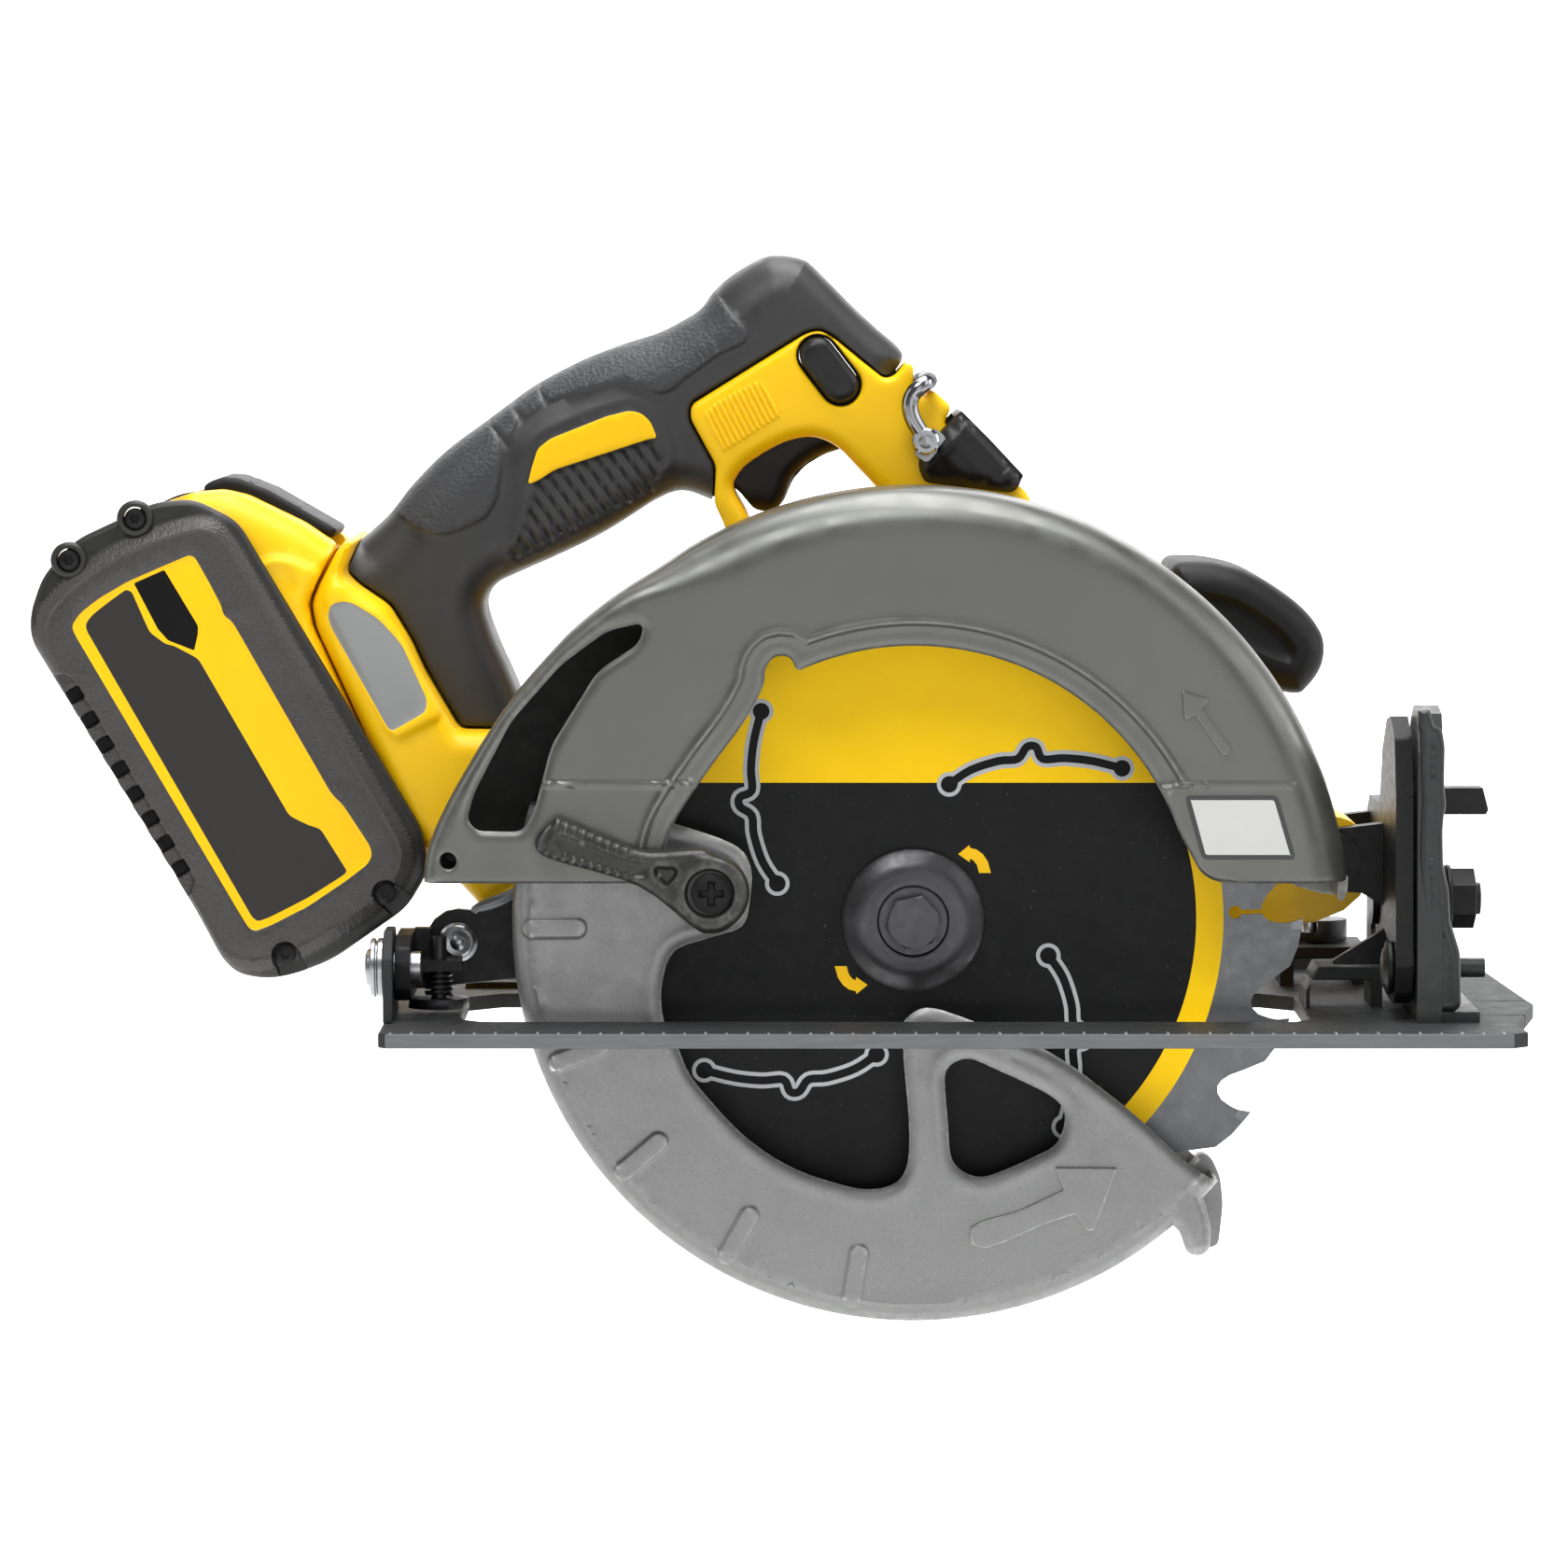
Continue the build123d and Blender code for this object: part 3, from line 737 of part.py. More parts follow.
rs = math.hypot(NUT_Y - BEV_Y, NUT_Z - BEV_Z)
a0 = math.degrees(math.atan2(NUT_Z - BEV_Z, NUT_Y - BEV_Y))
quad = [(BEV_Y - 11, SHOE_TOP + 0.02), (BEV_Y - 11, -4), (-17.4, 20), (-17.4, 42), (-13, 51), (-4, 52.5), (3, 49)]
quad += [(BEV_Y + (rs + 10.5) * math.cos(math.radians(a)), BEV_Z + (rs + 10.5) * math.sin(math.radians(a))) for a in range(72, 3, -4)]
quad += [(47.6, SHOE_TOP + 0.02)]
q = xprism(quad, 121.2, 127.2)
arcslot = [(BEV_Y + (rs + 4.5) * math.cos(math.radians(a0 + t)), BEV_Z + (rs + 4.5) * math.sin(math.radians(a0 + t))) for t in range(0, 57, 4)]
arcslot += [(BEV_Y + (rs - 4.5) * math.cos(math.radians(a0 + t)), BEV_Z + (rs - 4.5) * math.sin(math.radians(a0 + t))) for t in range(56, -1, -4)]
q -= xprism(arcslot, 110, 135)
for t in (0, 56):
    q -= cx(BEV_Y + rs * math.cos(math.radians(a0 + t)), BEV_Z + rs * math.sin(math.radians(a0 + t)), 4.5, 110, 135)
q -= cx(BEV_Y, BEV_Z, 4.02, 110, 135)
q += box(121.2, 136.5, -17.4, 46.0, SHOE_TOP + 0.02, SHOE_TOP + 2.6)
q += cx(12.0, -13.0, 2.4, 127.0, 140.5)
node("front_quadrant", q)
rp = xprism([(-20, SHOE_TOP + 0.02), (-20, -8), (-15, -1.5), (-2, -1.5), (6, -6), (10, SHOE_TOP + 0.02)], -129.4 + 2.0, -125.9)
rp = xprism([(-20, SHOE_TOP + 0.02), (-20, -8), (-15, -1.5), (-2, -1.5), (6, -6), (10, SHOE_TOP + 0.02)], -128.0, -125.8)
rp -= cx(BEV_Y, BEV_Z, 4.02, -140, -110)
node("rear_pivot_bracket", rp)
node("bevel_pins", cx(BEV_Y, BEV_Z, 3.99, 114.0, 130.0) + cx(BEV_Y, BEV_Z, 6.6, 113.2, 115.9) + cx(BEV_Y, BEV_Z, 6.0, 127.3, 130.4),
     cx(BEV_Y, BEV_Z, 3.99, -132.6, -119.4) + cx(BEV_Y, BEV_Z, 7.2, -132.8, -128.1))

# ---------------------------------------------------------------- export
for name, solids in NODES.items():
    moved = [Pos(0, 0, SOLE) * s for s in solids]
    out = Compound(children=moved) if len(moved) > 1 else moved[0]
    export_step(out, "parts/%s.step" % name)
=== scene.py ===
"""Looks of the battery hand circular saw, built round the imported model.

Outlines are in millimetres in the plane of the blade, measured from the arbor axis: X forward, Z up.
Every piece is written in metres in the model's own frame, which is 27 mm higher.
"""
import bpy
import bmesh
import json
import math
import numpy as np
from mathutils import Vector, Matrix
from mathutils.geometry import delaunay_2d_cdt


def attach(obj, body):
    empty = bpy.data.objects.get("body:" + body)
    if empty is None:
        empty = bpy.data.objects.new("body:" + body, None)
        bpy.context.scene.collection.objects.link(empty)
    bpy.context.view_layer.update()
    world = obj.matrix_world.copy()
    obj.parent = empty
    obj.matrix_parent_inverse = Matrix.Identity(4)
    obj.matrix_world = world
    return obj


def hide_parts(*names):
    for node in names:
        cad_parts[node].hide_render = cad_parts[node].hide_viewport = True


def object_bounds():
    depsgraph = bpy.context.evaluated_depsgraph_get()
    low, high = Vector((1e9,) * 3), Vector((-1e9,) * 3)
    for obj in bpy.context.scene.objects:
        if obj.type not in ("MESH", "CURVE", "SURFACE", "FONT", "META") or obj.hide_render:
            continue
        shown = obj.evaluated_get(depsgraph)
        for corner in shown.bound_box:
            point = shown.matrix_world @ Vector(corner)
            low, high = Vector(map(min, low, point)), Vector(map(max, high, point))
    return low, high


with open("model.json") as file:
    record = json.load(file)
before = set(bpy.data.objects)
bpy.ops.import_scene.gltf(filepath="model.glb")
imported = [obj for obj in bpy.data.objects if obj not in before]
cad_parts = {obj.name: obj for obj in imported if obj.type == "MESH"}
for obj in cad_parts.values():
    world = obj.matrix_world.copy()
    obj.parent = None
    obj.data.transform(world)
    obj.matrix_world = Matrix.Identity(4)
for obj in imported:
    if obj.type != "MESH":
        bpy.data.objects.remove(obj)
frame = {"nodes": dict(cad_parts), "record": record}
NODES = frame["nodes"]
CAD_BOX = [list(map(float, v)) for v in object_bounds()]
MM = 0.001
LIFT = 27.0
YH = 57.0


# ------------------------------------------------------------------ plane geometry
def arr(p):
    return np.asarray(p, float)


def pol(r, deg):
    return (r * math.cos(math.radians(deg)), r * math.sin(math.radians(deg)))


def arc(r, a0, a1, step=1.0, c=(0.0, 0.0)):
    n = max(2, int(round(abs(a1 - a0) / step)))
    return [(c[0] + pol(r, a0 + (a1 - a0) * i / n)[0], c[1] + pol(r, a0 + (a1 - a0) * i / n)[1]) for i in range(n + 1)]


def circle(c, r, n=28):
    return [(c[0] + r * math.cos(2 * math.pi * i / n), c[1] + r * math.sin(2 * math.pi * i / n)) for i in range(n)]


def rounded(p, r, k=5):
    """Closed outline with its corners eased over a length r."""
    p = arr(p)
    n = len(p)
    out = []
    for i in range(n):
        a, b, c = p[i - 1], p[i], p[(i + 1) % n]
        u, v = a - b, c - b
        lu, lv = np.hypot(*u), np.hypot(*v)
        t = min(r, 0.49 * lu, 0.49 * lv)
        if t < 0.05:
            out.append(b)
            continue
        s, e = b + u / lu * t, b + v / lv * t
        for j in range(k + 1):
            q = j / k
            out.append((1 - q) ** 2 * s + 2 * q * (1 - q) * b + q * q * e)
    return np.array(out)


def spline(p, n=6, closed=True):
    """Catmull-Rom line through the points."""
    p = arr(p)
    m = len(p)
    out = []
    for i in range(m if closed else m - 1):
        p0, p1 = p[(i - 1) % m] if closed or i else p[0], p[i]
        p2 = p[(i + 1) % m]
        p3 = p[(i + 2) % m] if closed or i + 2 < m else p[-1]
        for j in range(n):
            t = j / n
            out.append(0.5 * (2 * p1 + (p2 - p0) * t + (2 * p0 - 5 * p1 + 4 * p2 - p3) * t * t
                              + (3 * p1 - p0 - 3 * p2 + p3) * t ** 3))
    if not closed:
        out.append(p[-1])
    return np.array(out)


def walk(p, step, closed=True):
    p = arr(p)
    n = len(p)
    out = []
    for i in range(n if closed else n - 1):
        a, b = p[i], p[(i + 1) % n]
        m = max(1, int(math.ceil(np.hypot(*(b - a)) / step - 1e-6)))
        for j in range(m):
            out.append(a + (b - a) * j / m)
    if not closed:
        out.append(p[-1])
    return np.array(out)


def tidy(p, least):
    """Drops points that lie closer together than least."""
    out = [p[0]]
    for q in p[1:]:
        if np.hypot(*(q - out[-1])) >= least:
            out.append(q)
    if np.hypot(*(out[-1] - out[0])) < least:
        out.pop()
    return np.array(out)


def dist(P, line, closed=True):
    A = arr(line)
    B = np.roll(A, -1, 0)
    if not closed:
        A, B = A[:-1], A[1:]
    AB = (B - A)[None]
    ll = np.maximum((AB * AB).sum(2), 1e-12)
    out = np.empty(len(P))
    for i in range(0, len(P), 3000):
        AP = P[i:i + 3000][:, None, :] - A[None]
        t = np.clip((AP * AB).sum(2) / ll, 0, 1)
        d = AP - AB * t[..., None]
        out[i:i + 3000] = np.sqrt((d * d).sum(2).min(1))
    return out


def inside(P, poly):
    A = arr(poly)
    B = np.roll(A, -1, 0)
    out = np.zeros(len(P), bool)
    dz = np.where(np.abs(B[:, 1] - A[:, 1]) < 1e-12, 1e-12, B[:, 1] - A[:, 1])
    for i in range(0, len(P), 3000):
        x, z = P[i:i + 3000, 0][:, None], P[i:i + 3000, 1][:, None]
        hit = (A[None, :, 1] > z) != (B[None, :, 1] > z)
        at = A[None, :, 0] + (z - A[None, :, 1]) / dz[None] * (B - A)[None, :, 0]
        out[i:i + 3000] = (hit & (x < at)).sum(1) % 2 == 1
    return out


def sdist(P, poly):
    d = dist(P, poly)
    return np.where(inside(P, poly), d, -d)


def normals2(loop):
    """Unit normals that point into the loop's inside."""
    loop = arr(loop)
    t = np.roll(loop, -1, 0) - np.roll(loop, 1, 0)
    t /= np.maximum(np.hypot(t[:, 0], t[:, 1]), 1e-9)[:, None]
    area = 0.5 * np.sum(loop[:, 0] * np.roll(loop[:, 1], -1) - np.roll(loop[:, 0], -1) * loop[:, 1])
    n = np.stack([-t[:, 1], t[:, 0]], 1)
    return n if area > 0 else -n


def grow(loop, t):
    """Loop moved outwards by t."""
    return arr(loop) - normals2(loop) * t


def smooth01(q):
    q = np.clip(q, 0, 1)
    return q * q * (3 - 2 * q)


def rnd(d, r):
    """Drop of a rounded edge of radius r at distance d from it."""
    q = np.clip(1 - d / np.maximum(r, 1e-6), 0, 1)
    return r * (1 - np.sqrt(np.maximum(0, 1 - q * q)))


def plateau(P, poly, h, s):
    """Relief of height h inside poly, with a soft step of width 2 s."""
    return h * smooth01(sdist(P, poly) / (2 * s) + 0.5)


def sheet(outline, holes=(), grid=2.2, edge=0.9, rings=(0.3, 0.9, 1.8), loops=(), dense=()):
    """Triangles over a flat outline, finer near its edge and near the loops of its relief."""
    bounds = [tidy(walk(o, edge), 0.12) for o in (outline,) + tuple(holes)]
    lines = [walk(l, max(edge * 0.8, 0.35)) for l, _ in loops]
    pts, edges = [], []
    for loop in bounds + lines:
        k = len(pts)
        n = len(loop)
        pts += [tuple(p) for p in loop]
        edges += [(k + i, k + (i + 1) % n) for i in range(n)]

    def depth(Q):
        d = sdist(Q, bounds[0])
        for h in bounds[1:]:
            d = np.minimum(d, -sdist(Q, h))
        return d

    extra = []
    for j, loop in enumerate(bounds):
        nn = normals2(loop) * (1 if j == 0 else -1)
        for t in rings:
            q = loop + nn * t
            q = q[:: 1 if t < 4 else 2]
            extra.append(q[depth(q) > t * 0.96])
    for (l, offs), loop in zip(loops, lines):
        nn = normals2(loop)
        for t in offs:
            q = loop + nn * t
            q = q[np.abs(sdist(q, loop)) > abs(t) * 0.93]
            if len(q):
                extra.append(q[depth(q) > 0.15])
    lo, hi = bounds[0].min(0), bounds[0].max(0)

    def hexes(lo, hi, s):
        xs = np.arange(lo[0], hi[0], s)
        zs = np.arange(lo[1], hi[1], s * 0.866)
        X, Z = np.meshgrid(xs, zs)
        X = X + (np.arange(len(zs)) % 2)[:, None] * s / 2
        return np.stack([X.ravel(), Z.ravel()], 1)

    g = hexes(lo, hi, grid)
    g = g[depth(g) > max(rings[-1] if len(rings) else 0, 0.2) + 0.3 * grid]
    for l, offs in loops:
        if len(g):
            g = g[dist(g, l) > (max(map(abs, offs)) if len(offs) else 0) + 0.25 * grid]
    for poly, s in dense:
        poly = arr(poly)
        if len(g):
            g = g[~inside(g, poly)]
        q = hexes(poly.min(0), poly.max(0), s)
        q = q[inside(q, poly)]
        extra.append(q[depth(q) > 0.2])
    extra.append(g)
    for e in extra:
        pts += [tuple(p) for p in e]
    res = delaunay_2d_cdt([Vector(p) for p in pts], edges, [], 0, 1e-5)
    P = np.array([tuple(v) for v in res[0]])
    T = np.array([tuple(f) for f in res[2]], int)
    C = P[T].mean(1)
    keep = inside(C, bounds[0])
    for h in bounds[1:]:
        keep &= ~inside(C, h)
    T = T[keep]
    a = P[T]
    cross = (a[:, 1, 0] - a[:, 0, 0]) * (a[:, 2, 1] - a[:, 0, 1]) - (a[:, 1, 1] - a[:, 0, 1]) * (a[:, 2, 0] - a[:, 0, 0])
    T = T[np.abs(cross) > 1e-7]
    used = np.unique(T)
    back = -np.ones(len(P), int)
    back[used] = np.arange(len(used))
    return P[used], back[T]


def rim_edges(T):
    """Directed edges that only one triangle uses."""
    seen = {}
    for i, t in enumerate(T):
        for a, b in ((t[0], t[1]), (t[1], t[2]), (t[2], t[0])):
            key = (min(a, b), max(a, b))
            seen.setdefault(key, []).append((int(a), int(b), i))
    return [v[0] for v in seen.values() if len(v) == 1]


# ------------------------------------------------------------------ mesh building
def to_object(name, verts, faces, mats, index=None, sharp=35.0, weld=0.004):
    """verts are in millimetres from the arbor; the object is in metres in the model's frame."""
    v = arr(verts) * MM
    v[:, 2] += LIFT * MM
    me = bpy.data.meshes.new(name)
    me.from_pydata([tuple(p) for p in v], [], [tuple(int(i) for i in f) for f in faces])
    for m in mats:
        me.materials.append(m)
    if index is not None:
        me.polygons.foreach_set("material_index", [int(i) for i in index])
    bm = bmesh.new()
    bm.from_mesh(me)
    if weld:
        bmesh.ops.remove_doubles(bm, verts=bm.verts, dist=weld * MM)
    bmesh.ops.recalc_face_normals(bm, faces=bm.faces)
    bm.to_mesh(me)
    bm.free()
    me.polygons.foreach_set("use_smooth", [True] * len(me.polygons))
    me.set_sharp_from_angle(angle=math.radians(sharp))
    o = bpy.data.objects.new(name, me)
    bpy.context.scene.collection.objects.link(o)
    return o


class Build:
    """Collects the shells of one piece."""

    def __init__(self):
        self.v, self.f, self.m = [], [], []
        self.n = 0

    def add(self, verts, faces, mat=0):
        verts = arr(verts)
        k = self.n
        self.v.append(verts)
        self.n += len(verts)
        self.f += [tuple(int(i) + k for i in f) for f in faces]
        self.m += [mat] * len(faces) if np.isscalar(mat) else [int(i) for i in mat]
        return k

    def slab(self, outline, near, far, holes=(), paint=None, mat=0, wall=None, **kw):
        """Closed solid between two height fields y = near(P) and y = far(P)."""
        P, T = sheet(outline, holes, **kw)
        yn = near(P) if callable(near) else np.full(len(P), float(near))
        yf = far(P) if callable(far) else np.full(len(P), float(far))
        n = len(P)
        V = np.concatenate([np.stack([P[:, 0], yn, P[:, 1]], 1), np.stack([P[:, 0], yf, P[:, 1]], 1)])
        C = P[T].mean(1)
        mn = paint(C, 0) if paint else np.full(len(T), mat)
        mf = paint(C, 1) if paint else np.full(len(T), mat)
        F = [tuple(t) for t in T] + [(t[2] + n, t[1] + n, t[0] + n) for t in T]
        M = list(mn) + list(mf)
        for a, b, i in rim_edges(T):
            F.append((a, b, b + n, a + n))
            M.append(mn[i] if wall is None else wall)
        return self.add(V, F, M)

    def turn(self, prof, c=(0.0, 0.0), a0=0.0, a1=360.0, step=3.0, mat=0, axis="y"):
        """Closed outline prof of (r, t) turned about an axis: y through (x, z) = c, or x, or z."""
        prof = [tuple(p) for p in prof]
        full = abs(a1 - a0) >= 359.9
        n = max(3, int(round(abs(a1 - a0) / step)))
        cols = n if full else n + 1
        V = []
        for i in range(cols):
            a = math.radians(a0 + (a1 - a0) * i / n)
            for r, t in prof:
                if axis == "y":
                    V.append((c[0] + r * math.cos(a), t, c[1] + r * math.sin(a)))
                elif axis == "x":
                    V.append((t, c[0] + r * math.cos(a), c[1] + r * math.sin(a)))
                else:
                    V.append((c[0] + r * math.cos(a), c[1] + r * math.sin(a), t))
        k = len(prof)
        F = []
        for i in range(n):
            p, q = i * k, ((i + 1) % cols) * k
            for j in range(k):
                F.append((p + j, p + (j + 1) % k, q + (j + 1) % k, q + j))
        if not full:
            F.append(tuple(range(k)))
            F.append(tuple(range((cols - 1) * k + k - 1, (cols - 1) * k - 1, -1)))
        return self.add(V, F, mat)

    def tube(self, path, r, n=14, mat=0, caps=True):
        path = arr(path)
        m = len(path)
        t = np.gradient(path, axis=0)
        t /= np.linalg.norm(t, axis=1)[:, None]
        ref = np.array([0.0, 1.0, 0.0]) if abs(t[0][1]) < 0.9 else np.array([1.0, 0.0, 0.0])
        u = np.cross(t[0], ref)
        V = []
        rr = np.full(m, r) if np.isscalar(r) else arr(r)
        for i in range(m):
            u = u - t[i] * np.dot(u, t[i])
            u /= np.linalg.norm(u)
            w = np.cross(t[i], u)
            for j in range(n):
                a = 2 * math.pi * j / n
                V.append(path[i] + rr[i] * (u * math.cos(a) + w * math.sin(a)))
        F = []
        for i in range(m - 1):
            for j in range(n):
                a, b = i * n + j, i * n + (j + 1) % n
                F.append((a, b, b + n, a + n))
        if caps:
            F.append(tuple(range(n - 1, -1, -1)))
            F.append(tuple((m - 1) * n + j for j in range(n)))
        return self.add(V, F, mat)

    def make(self, name, mats, **kw):
        return to_object(name, np.concatenate(self.v), self.f, mats, self.m, **kw)


def place(o, body, nodes=()):
    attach(o, body)
    if nodes:
        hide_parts(*nodes)
    return o


# ------------------------------------------------------------------ materials
def lin(r, g, b):
    def f(c):
        c /= 255.0
        return c / 12.92 if c <= 0.04045 else ((c + 0.055) / 1.055) ** 2.4
    return (f(r), f(g), f(b), 1.0)


def mixc(a, k):
    return tuple(min(1.0, c * k) for c in a[:3]) + (1.0,)


class Mat:
    """One procedural material. Noise sizes are in millimetres of the object."""

    def __init__(self, name, rough=0.5, metal=0.0, spec=0.5, coat=0.0, coat_rough=0.15, sheen=0.0):
        self.m = bpy.data.materials.new(name)
        self.m.use_nodes = True
        self.nt = self.m.node_tree
        self.b = self.nt.nodes["Principled BSDF"]
        self.b.inputs["Roughness"].default_value = rough
        self.b.inputs["Metallic"].default_value = metal
        self.b.inputs["Specular IOR Level"].default_value = spec
        self.b.inputs["Coat Weight"].default_value = coat
        self.b.inputs["Coat Roughness"].default_value = coat_rough
        self.b.inputs["Sheen Weight"].default_value = sheen
        self.tc = self.nt.nodes.new("ShaderNodeTexCoord").outputs["Object"]
        self.bump = None

    def node(self, kind, **kw):
        n = self.nt.nodes.new(kind)
        for k, v in kw.items():
            setattr(n, k, v)
        return n

    def link(self, a, b):
        self.nt.links.new(a, b)

    def math(self, op, a, b=None, clamp=False):
        n = self.node("ShaderNodeMath", operation=op, use_clamp=clamp)
        for i, v in enumerate((a, b)):
            if v is None:
                continue
            if isinstance(v, (int, float)):
                n.inputs[i].default_value = v
            else:
                self.link(v, n.inputs[i])
        return n.outputs[0]

    def noise(self, mm, detail=2.0, rough=0.55, stretch=None, distort=0.0):
        n = self.node("ShaderNodeTexNoise")
        n.inputs["Scale"].default_value = 1000.0 / mm
        n.inputs["Detail"].default_value = detail
        n.inputs["Roughness"].default_value = rough
        n.inputs["Distortion"].default_value = distort
        src = self.tc
        if stretch:
            mp = self.node("ShaderNodeMapping")
            mp.inputs["Scale"].default_value = stretch
            self.link(src, mp.inputs["Vector"])
            src = mp.outputs["Vector"]
        self.link(src, n.inputs["Vector"])
        return n.outputs["Fac"]

    def cells(self, mm, feature="F1"):
        n = self.node("ShaderNodeTexVoronoi", feature=feature)
        n.inputs["Scale"].default_value = 1000.0 / mm
        self.link(self.tc, n.inputs["Vector"])
        return n.outputs["Distance"]

    def ranged(self, v, a0, a1, b0, b1):
        n = self.node("ShaderNodeMapRange")
        for k, x in (("From Min", a0), ("From Max", a1), ("To Min", b0), ("To Max", b1)):
            n.inputs[k].default_value = x
        self.link(v, n.inputs["Value"])
        return n.outputs["Result"]

    def mix(self, fac, a, b):
        n = self.node("ShaderNodeMix", data_type="RGBA")
        self.link(fac, n.inputs["Factor"]) if not isinstance(fac, float) else setattr(n.inputs["Factor"], "default_value", fac)
        for s, v in ((n.inputs[6], a), (n.inputs[7], b)):
            if isinstance(v, tuple):
                s.default_value = v
            else:
                self.link(v, s)
        return n.outputs[2]

    def colour(self, v):
        if isinstance(v, tuple):
            self.b.inputs["Base Color"].default_value = v
        else:
            self.link(v, self.b.inputs["Base Color"])
        return self

    def rough(self, v):
        self.link(v, self.b.inputs["Roughness"])
        return self

    def relief(self, v, depth_mm, strength=1.0):
        n = self.node("ShaderNodeBump")
        n.inputs["Strength"].default_value = strength
        n.inputs["Distance"].default_value = depth_mm * MM
        self.link(v, n.inputs["Height"])
        if self.bump is not None:
            self.link(self.bump, n.inputs["Normal"])
        self.bump = n.outputs["Normal"]
        self.link(self.bump, self.b.inputs["Normal"])
        return self

    def edges(self, base, worn, low=0.515, high=0.60, mm=2.5):
        """Lighter colour where an edge is rubbed, broken up by noise."""
        g = self.node("ShaderNodeNewGeometry").outputs["Pointiness"]
        e = self.ranged(g, low, high, 0.0, 1.0)
        n = self.ranged(self.noise(mm, 3.0), 0.38, 0.62, 0.15, 1.0)
        return self.mix(self.math("MULTIPLY", e, n, True), base, worn)


def plastic(name, rgb, rough, grain=0.45, depth=0.03, vary=0.07, blotch=18.0, spec=0.45, coat=0.0, worn=None, strength=0.6, dust=0.0):
    m = Mat(name, rough=rough, spec=spec, coat=coat)
    c = lin(*rgb)
    col = m.mix(m.ranged(m.noise(blotch, 3.0), 0.3, 0.7, 0.0, 1.0), mixc(c, 1 - vary), mixc(c, 1 + vary))
    if dust:
        d = m.ranged(m.noise(0.9, 3.0), 0.60, 0.74, 0.0, dust)
        col = m.mix(d, col, mixc(lin(150, 148, 142), 1.0))
    if worn:
        col = m.edges(col, lin(*worn))
    m.colour(col)
    m.rough(m.ranged(m.noise(blotch * 0.35, 4.0), 0.3, 0.7, max(0.05, rough - 0.06), rough + 0.07))
    m.relief(m.noise(grain, 2.0), depth, strength)
    return m.m


def metal(name, rgb, rough, metallic=1.0, grain=0.3, depth=0.008, vary=0.06, blotch=9.0, worn=None, brushed=None, speck=0.0, spec=0.5, coat=0.0):
    m = Mat(name, rough=rough, metal=metallic, spec=spec, coat=coat)
    c = lin(*rgb)
    col = m.mix(m.ranged(m.noise(blotch, 4.0), 0.3, 0.7, 0.0, 1.0), mixc(c, 1 - vary), mixc(c, 1 + vary))
    if speck:
        col = m.mix(m.ranged(m.noise(0.55, 2.0), 0.60, 0.72, 0.0, speck), col, mixc(c, 1.5))
        col = m.mix(m.ranged(m.noise(0.7, 2.0, 0.5), 0.28, 0.40, speck, 0.0), col, mixc(c, 0.62))
    if worn:
        col = m.edges(col, lin(*worn))
    m.colour(col)
    src = m.noise(0.9, 4.0, 0.6, brushed) if brushed else m.noise(blotch * 0.3, 4.0)
    m.rough(m.ranged(src, 0.3, 0.7, max(0.04, rough - 0.08), rough + 0.09))
    m.relief(m.noise(grain, 3.0, 0.6, brushed), depth, 0.7)
    return m.m


YELLOW = plastic("yellow_plastic", (246, 196, 7), 0.38, grain=0.40, depth=0.018, vary=0.035, blotch=30.0, spec=0.28)
YELLOW_LABEL = plastic("yellow_print", (246, 194, 5), 0.42, grain=0.30, depth=0.010, vary=0.03, blotch=24.0, spec=0.22)
BLACK = plastic("black_plastic", (25, 25, 26), 0.38, grain=0.42, depth=0.030, vary=0.12, blotch=16.0, spec=0.34)
GRIP_BLACK = plastic("grip_plastic", (42, 42, 43), 0.44, grain=0.42, depth=0.030, vary=0.08, blotch=16.0, spec=0.5)
GLOSS_BLACK = plastic("gloss_black_plastic", (22, 22, 23), 0.50, grain=0.6, depth=0.010, vary=0.10, blotch=12.0, spec=0.2)
DARK_PANEL = plastic("dark_print", (47, 45, 44), 0.46, grain=0.22, depth=0.012, vary=0.05, blotch=20.0, spec=0.22)
# near-black used for printed dark areas and also as painted shade in the battery vents and the blade's through-cut
# slots
BLACK_PRINT_AND_SHADE = plastic("black_print_and_painted_shade", (12, 12, 13), 0.44, grain=0.22, depth=0.010, vary=0.08, blotch=14.0, spec=0.14)
GREY_PAD = plastic("grey_print", (138, 140, 140), 0.44, grain=0.22, depth=0.010, vary=0.03, blotch=24.0, spec=0.35)
STICKER = plastic("pale_print", (196, 197, 195), 0.42, grain=0.22, depth=0.006, vary=0.02, blotch=24.0, spec=0.35)
SLOT_LINE = plastic("slot_outline", (176, 178, 180), 0.42, grain=0.22, depth=0.006, vary=0.03, blotch=24.0, spec=0.4)
STICKER_LINE = plastic("sticker_border", (60, 61, 60), 0.42, grain=0.22, depth=0.006, vary=0.04, blotch=24.0, spec=0.35)


def make_rubber(name, rgb, rough, grain, depth, spec=0.42):
    m = Mat(name, rough=rough, spec=spec)
    c = lin(*rgb)
    col = m.mix(m.ranged(m.noise(14.0, 3.0), 0.3, 0.7, 0.0, 1.0), mixc(c, 0.88), mixc(c, 1.12))
    cell = m.cells(grain)
    col = m.mix(m.ranged(cell, 0.15, 0.75, 0.35, 0.0), col, mixc(c, 1.5))
    m.colour(col)
    m.rough(m.ranged(m.noise(2.2, 4.0), 0.3, 0.7, rough - 0.07, rough + 0.08))
    m.relief(cell, depth, 0.8)
    m.relief(m.noise(grain * 0.35, 2.0), depth * 0.3, 0.35)
    return m.m


RUBBER = make_rubber("black_rubber", (50, 51, 53), 0.48, 1.0, 0.20)
BATTERY = make_rubber("battery_plastic", (53, 51, 50), 0.40, 0.75, 0.14, 0.55)
BATTERY_SOFT = plastic("battery_plastic_smooth", (34, 33, 32), 0.42, grain=0.6, depth=0.04, vary=0.10, blotch=12.0, spec=0.42)

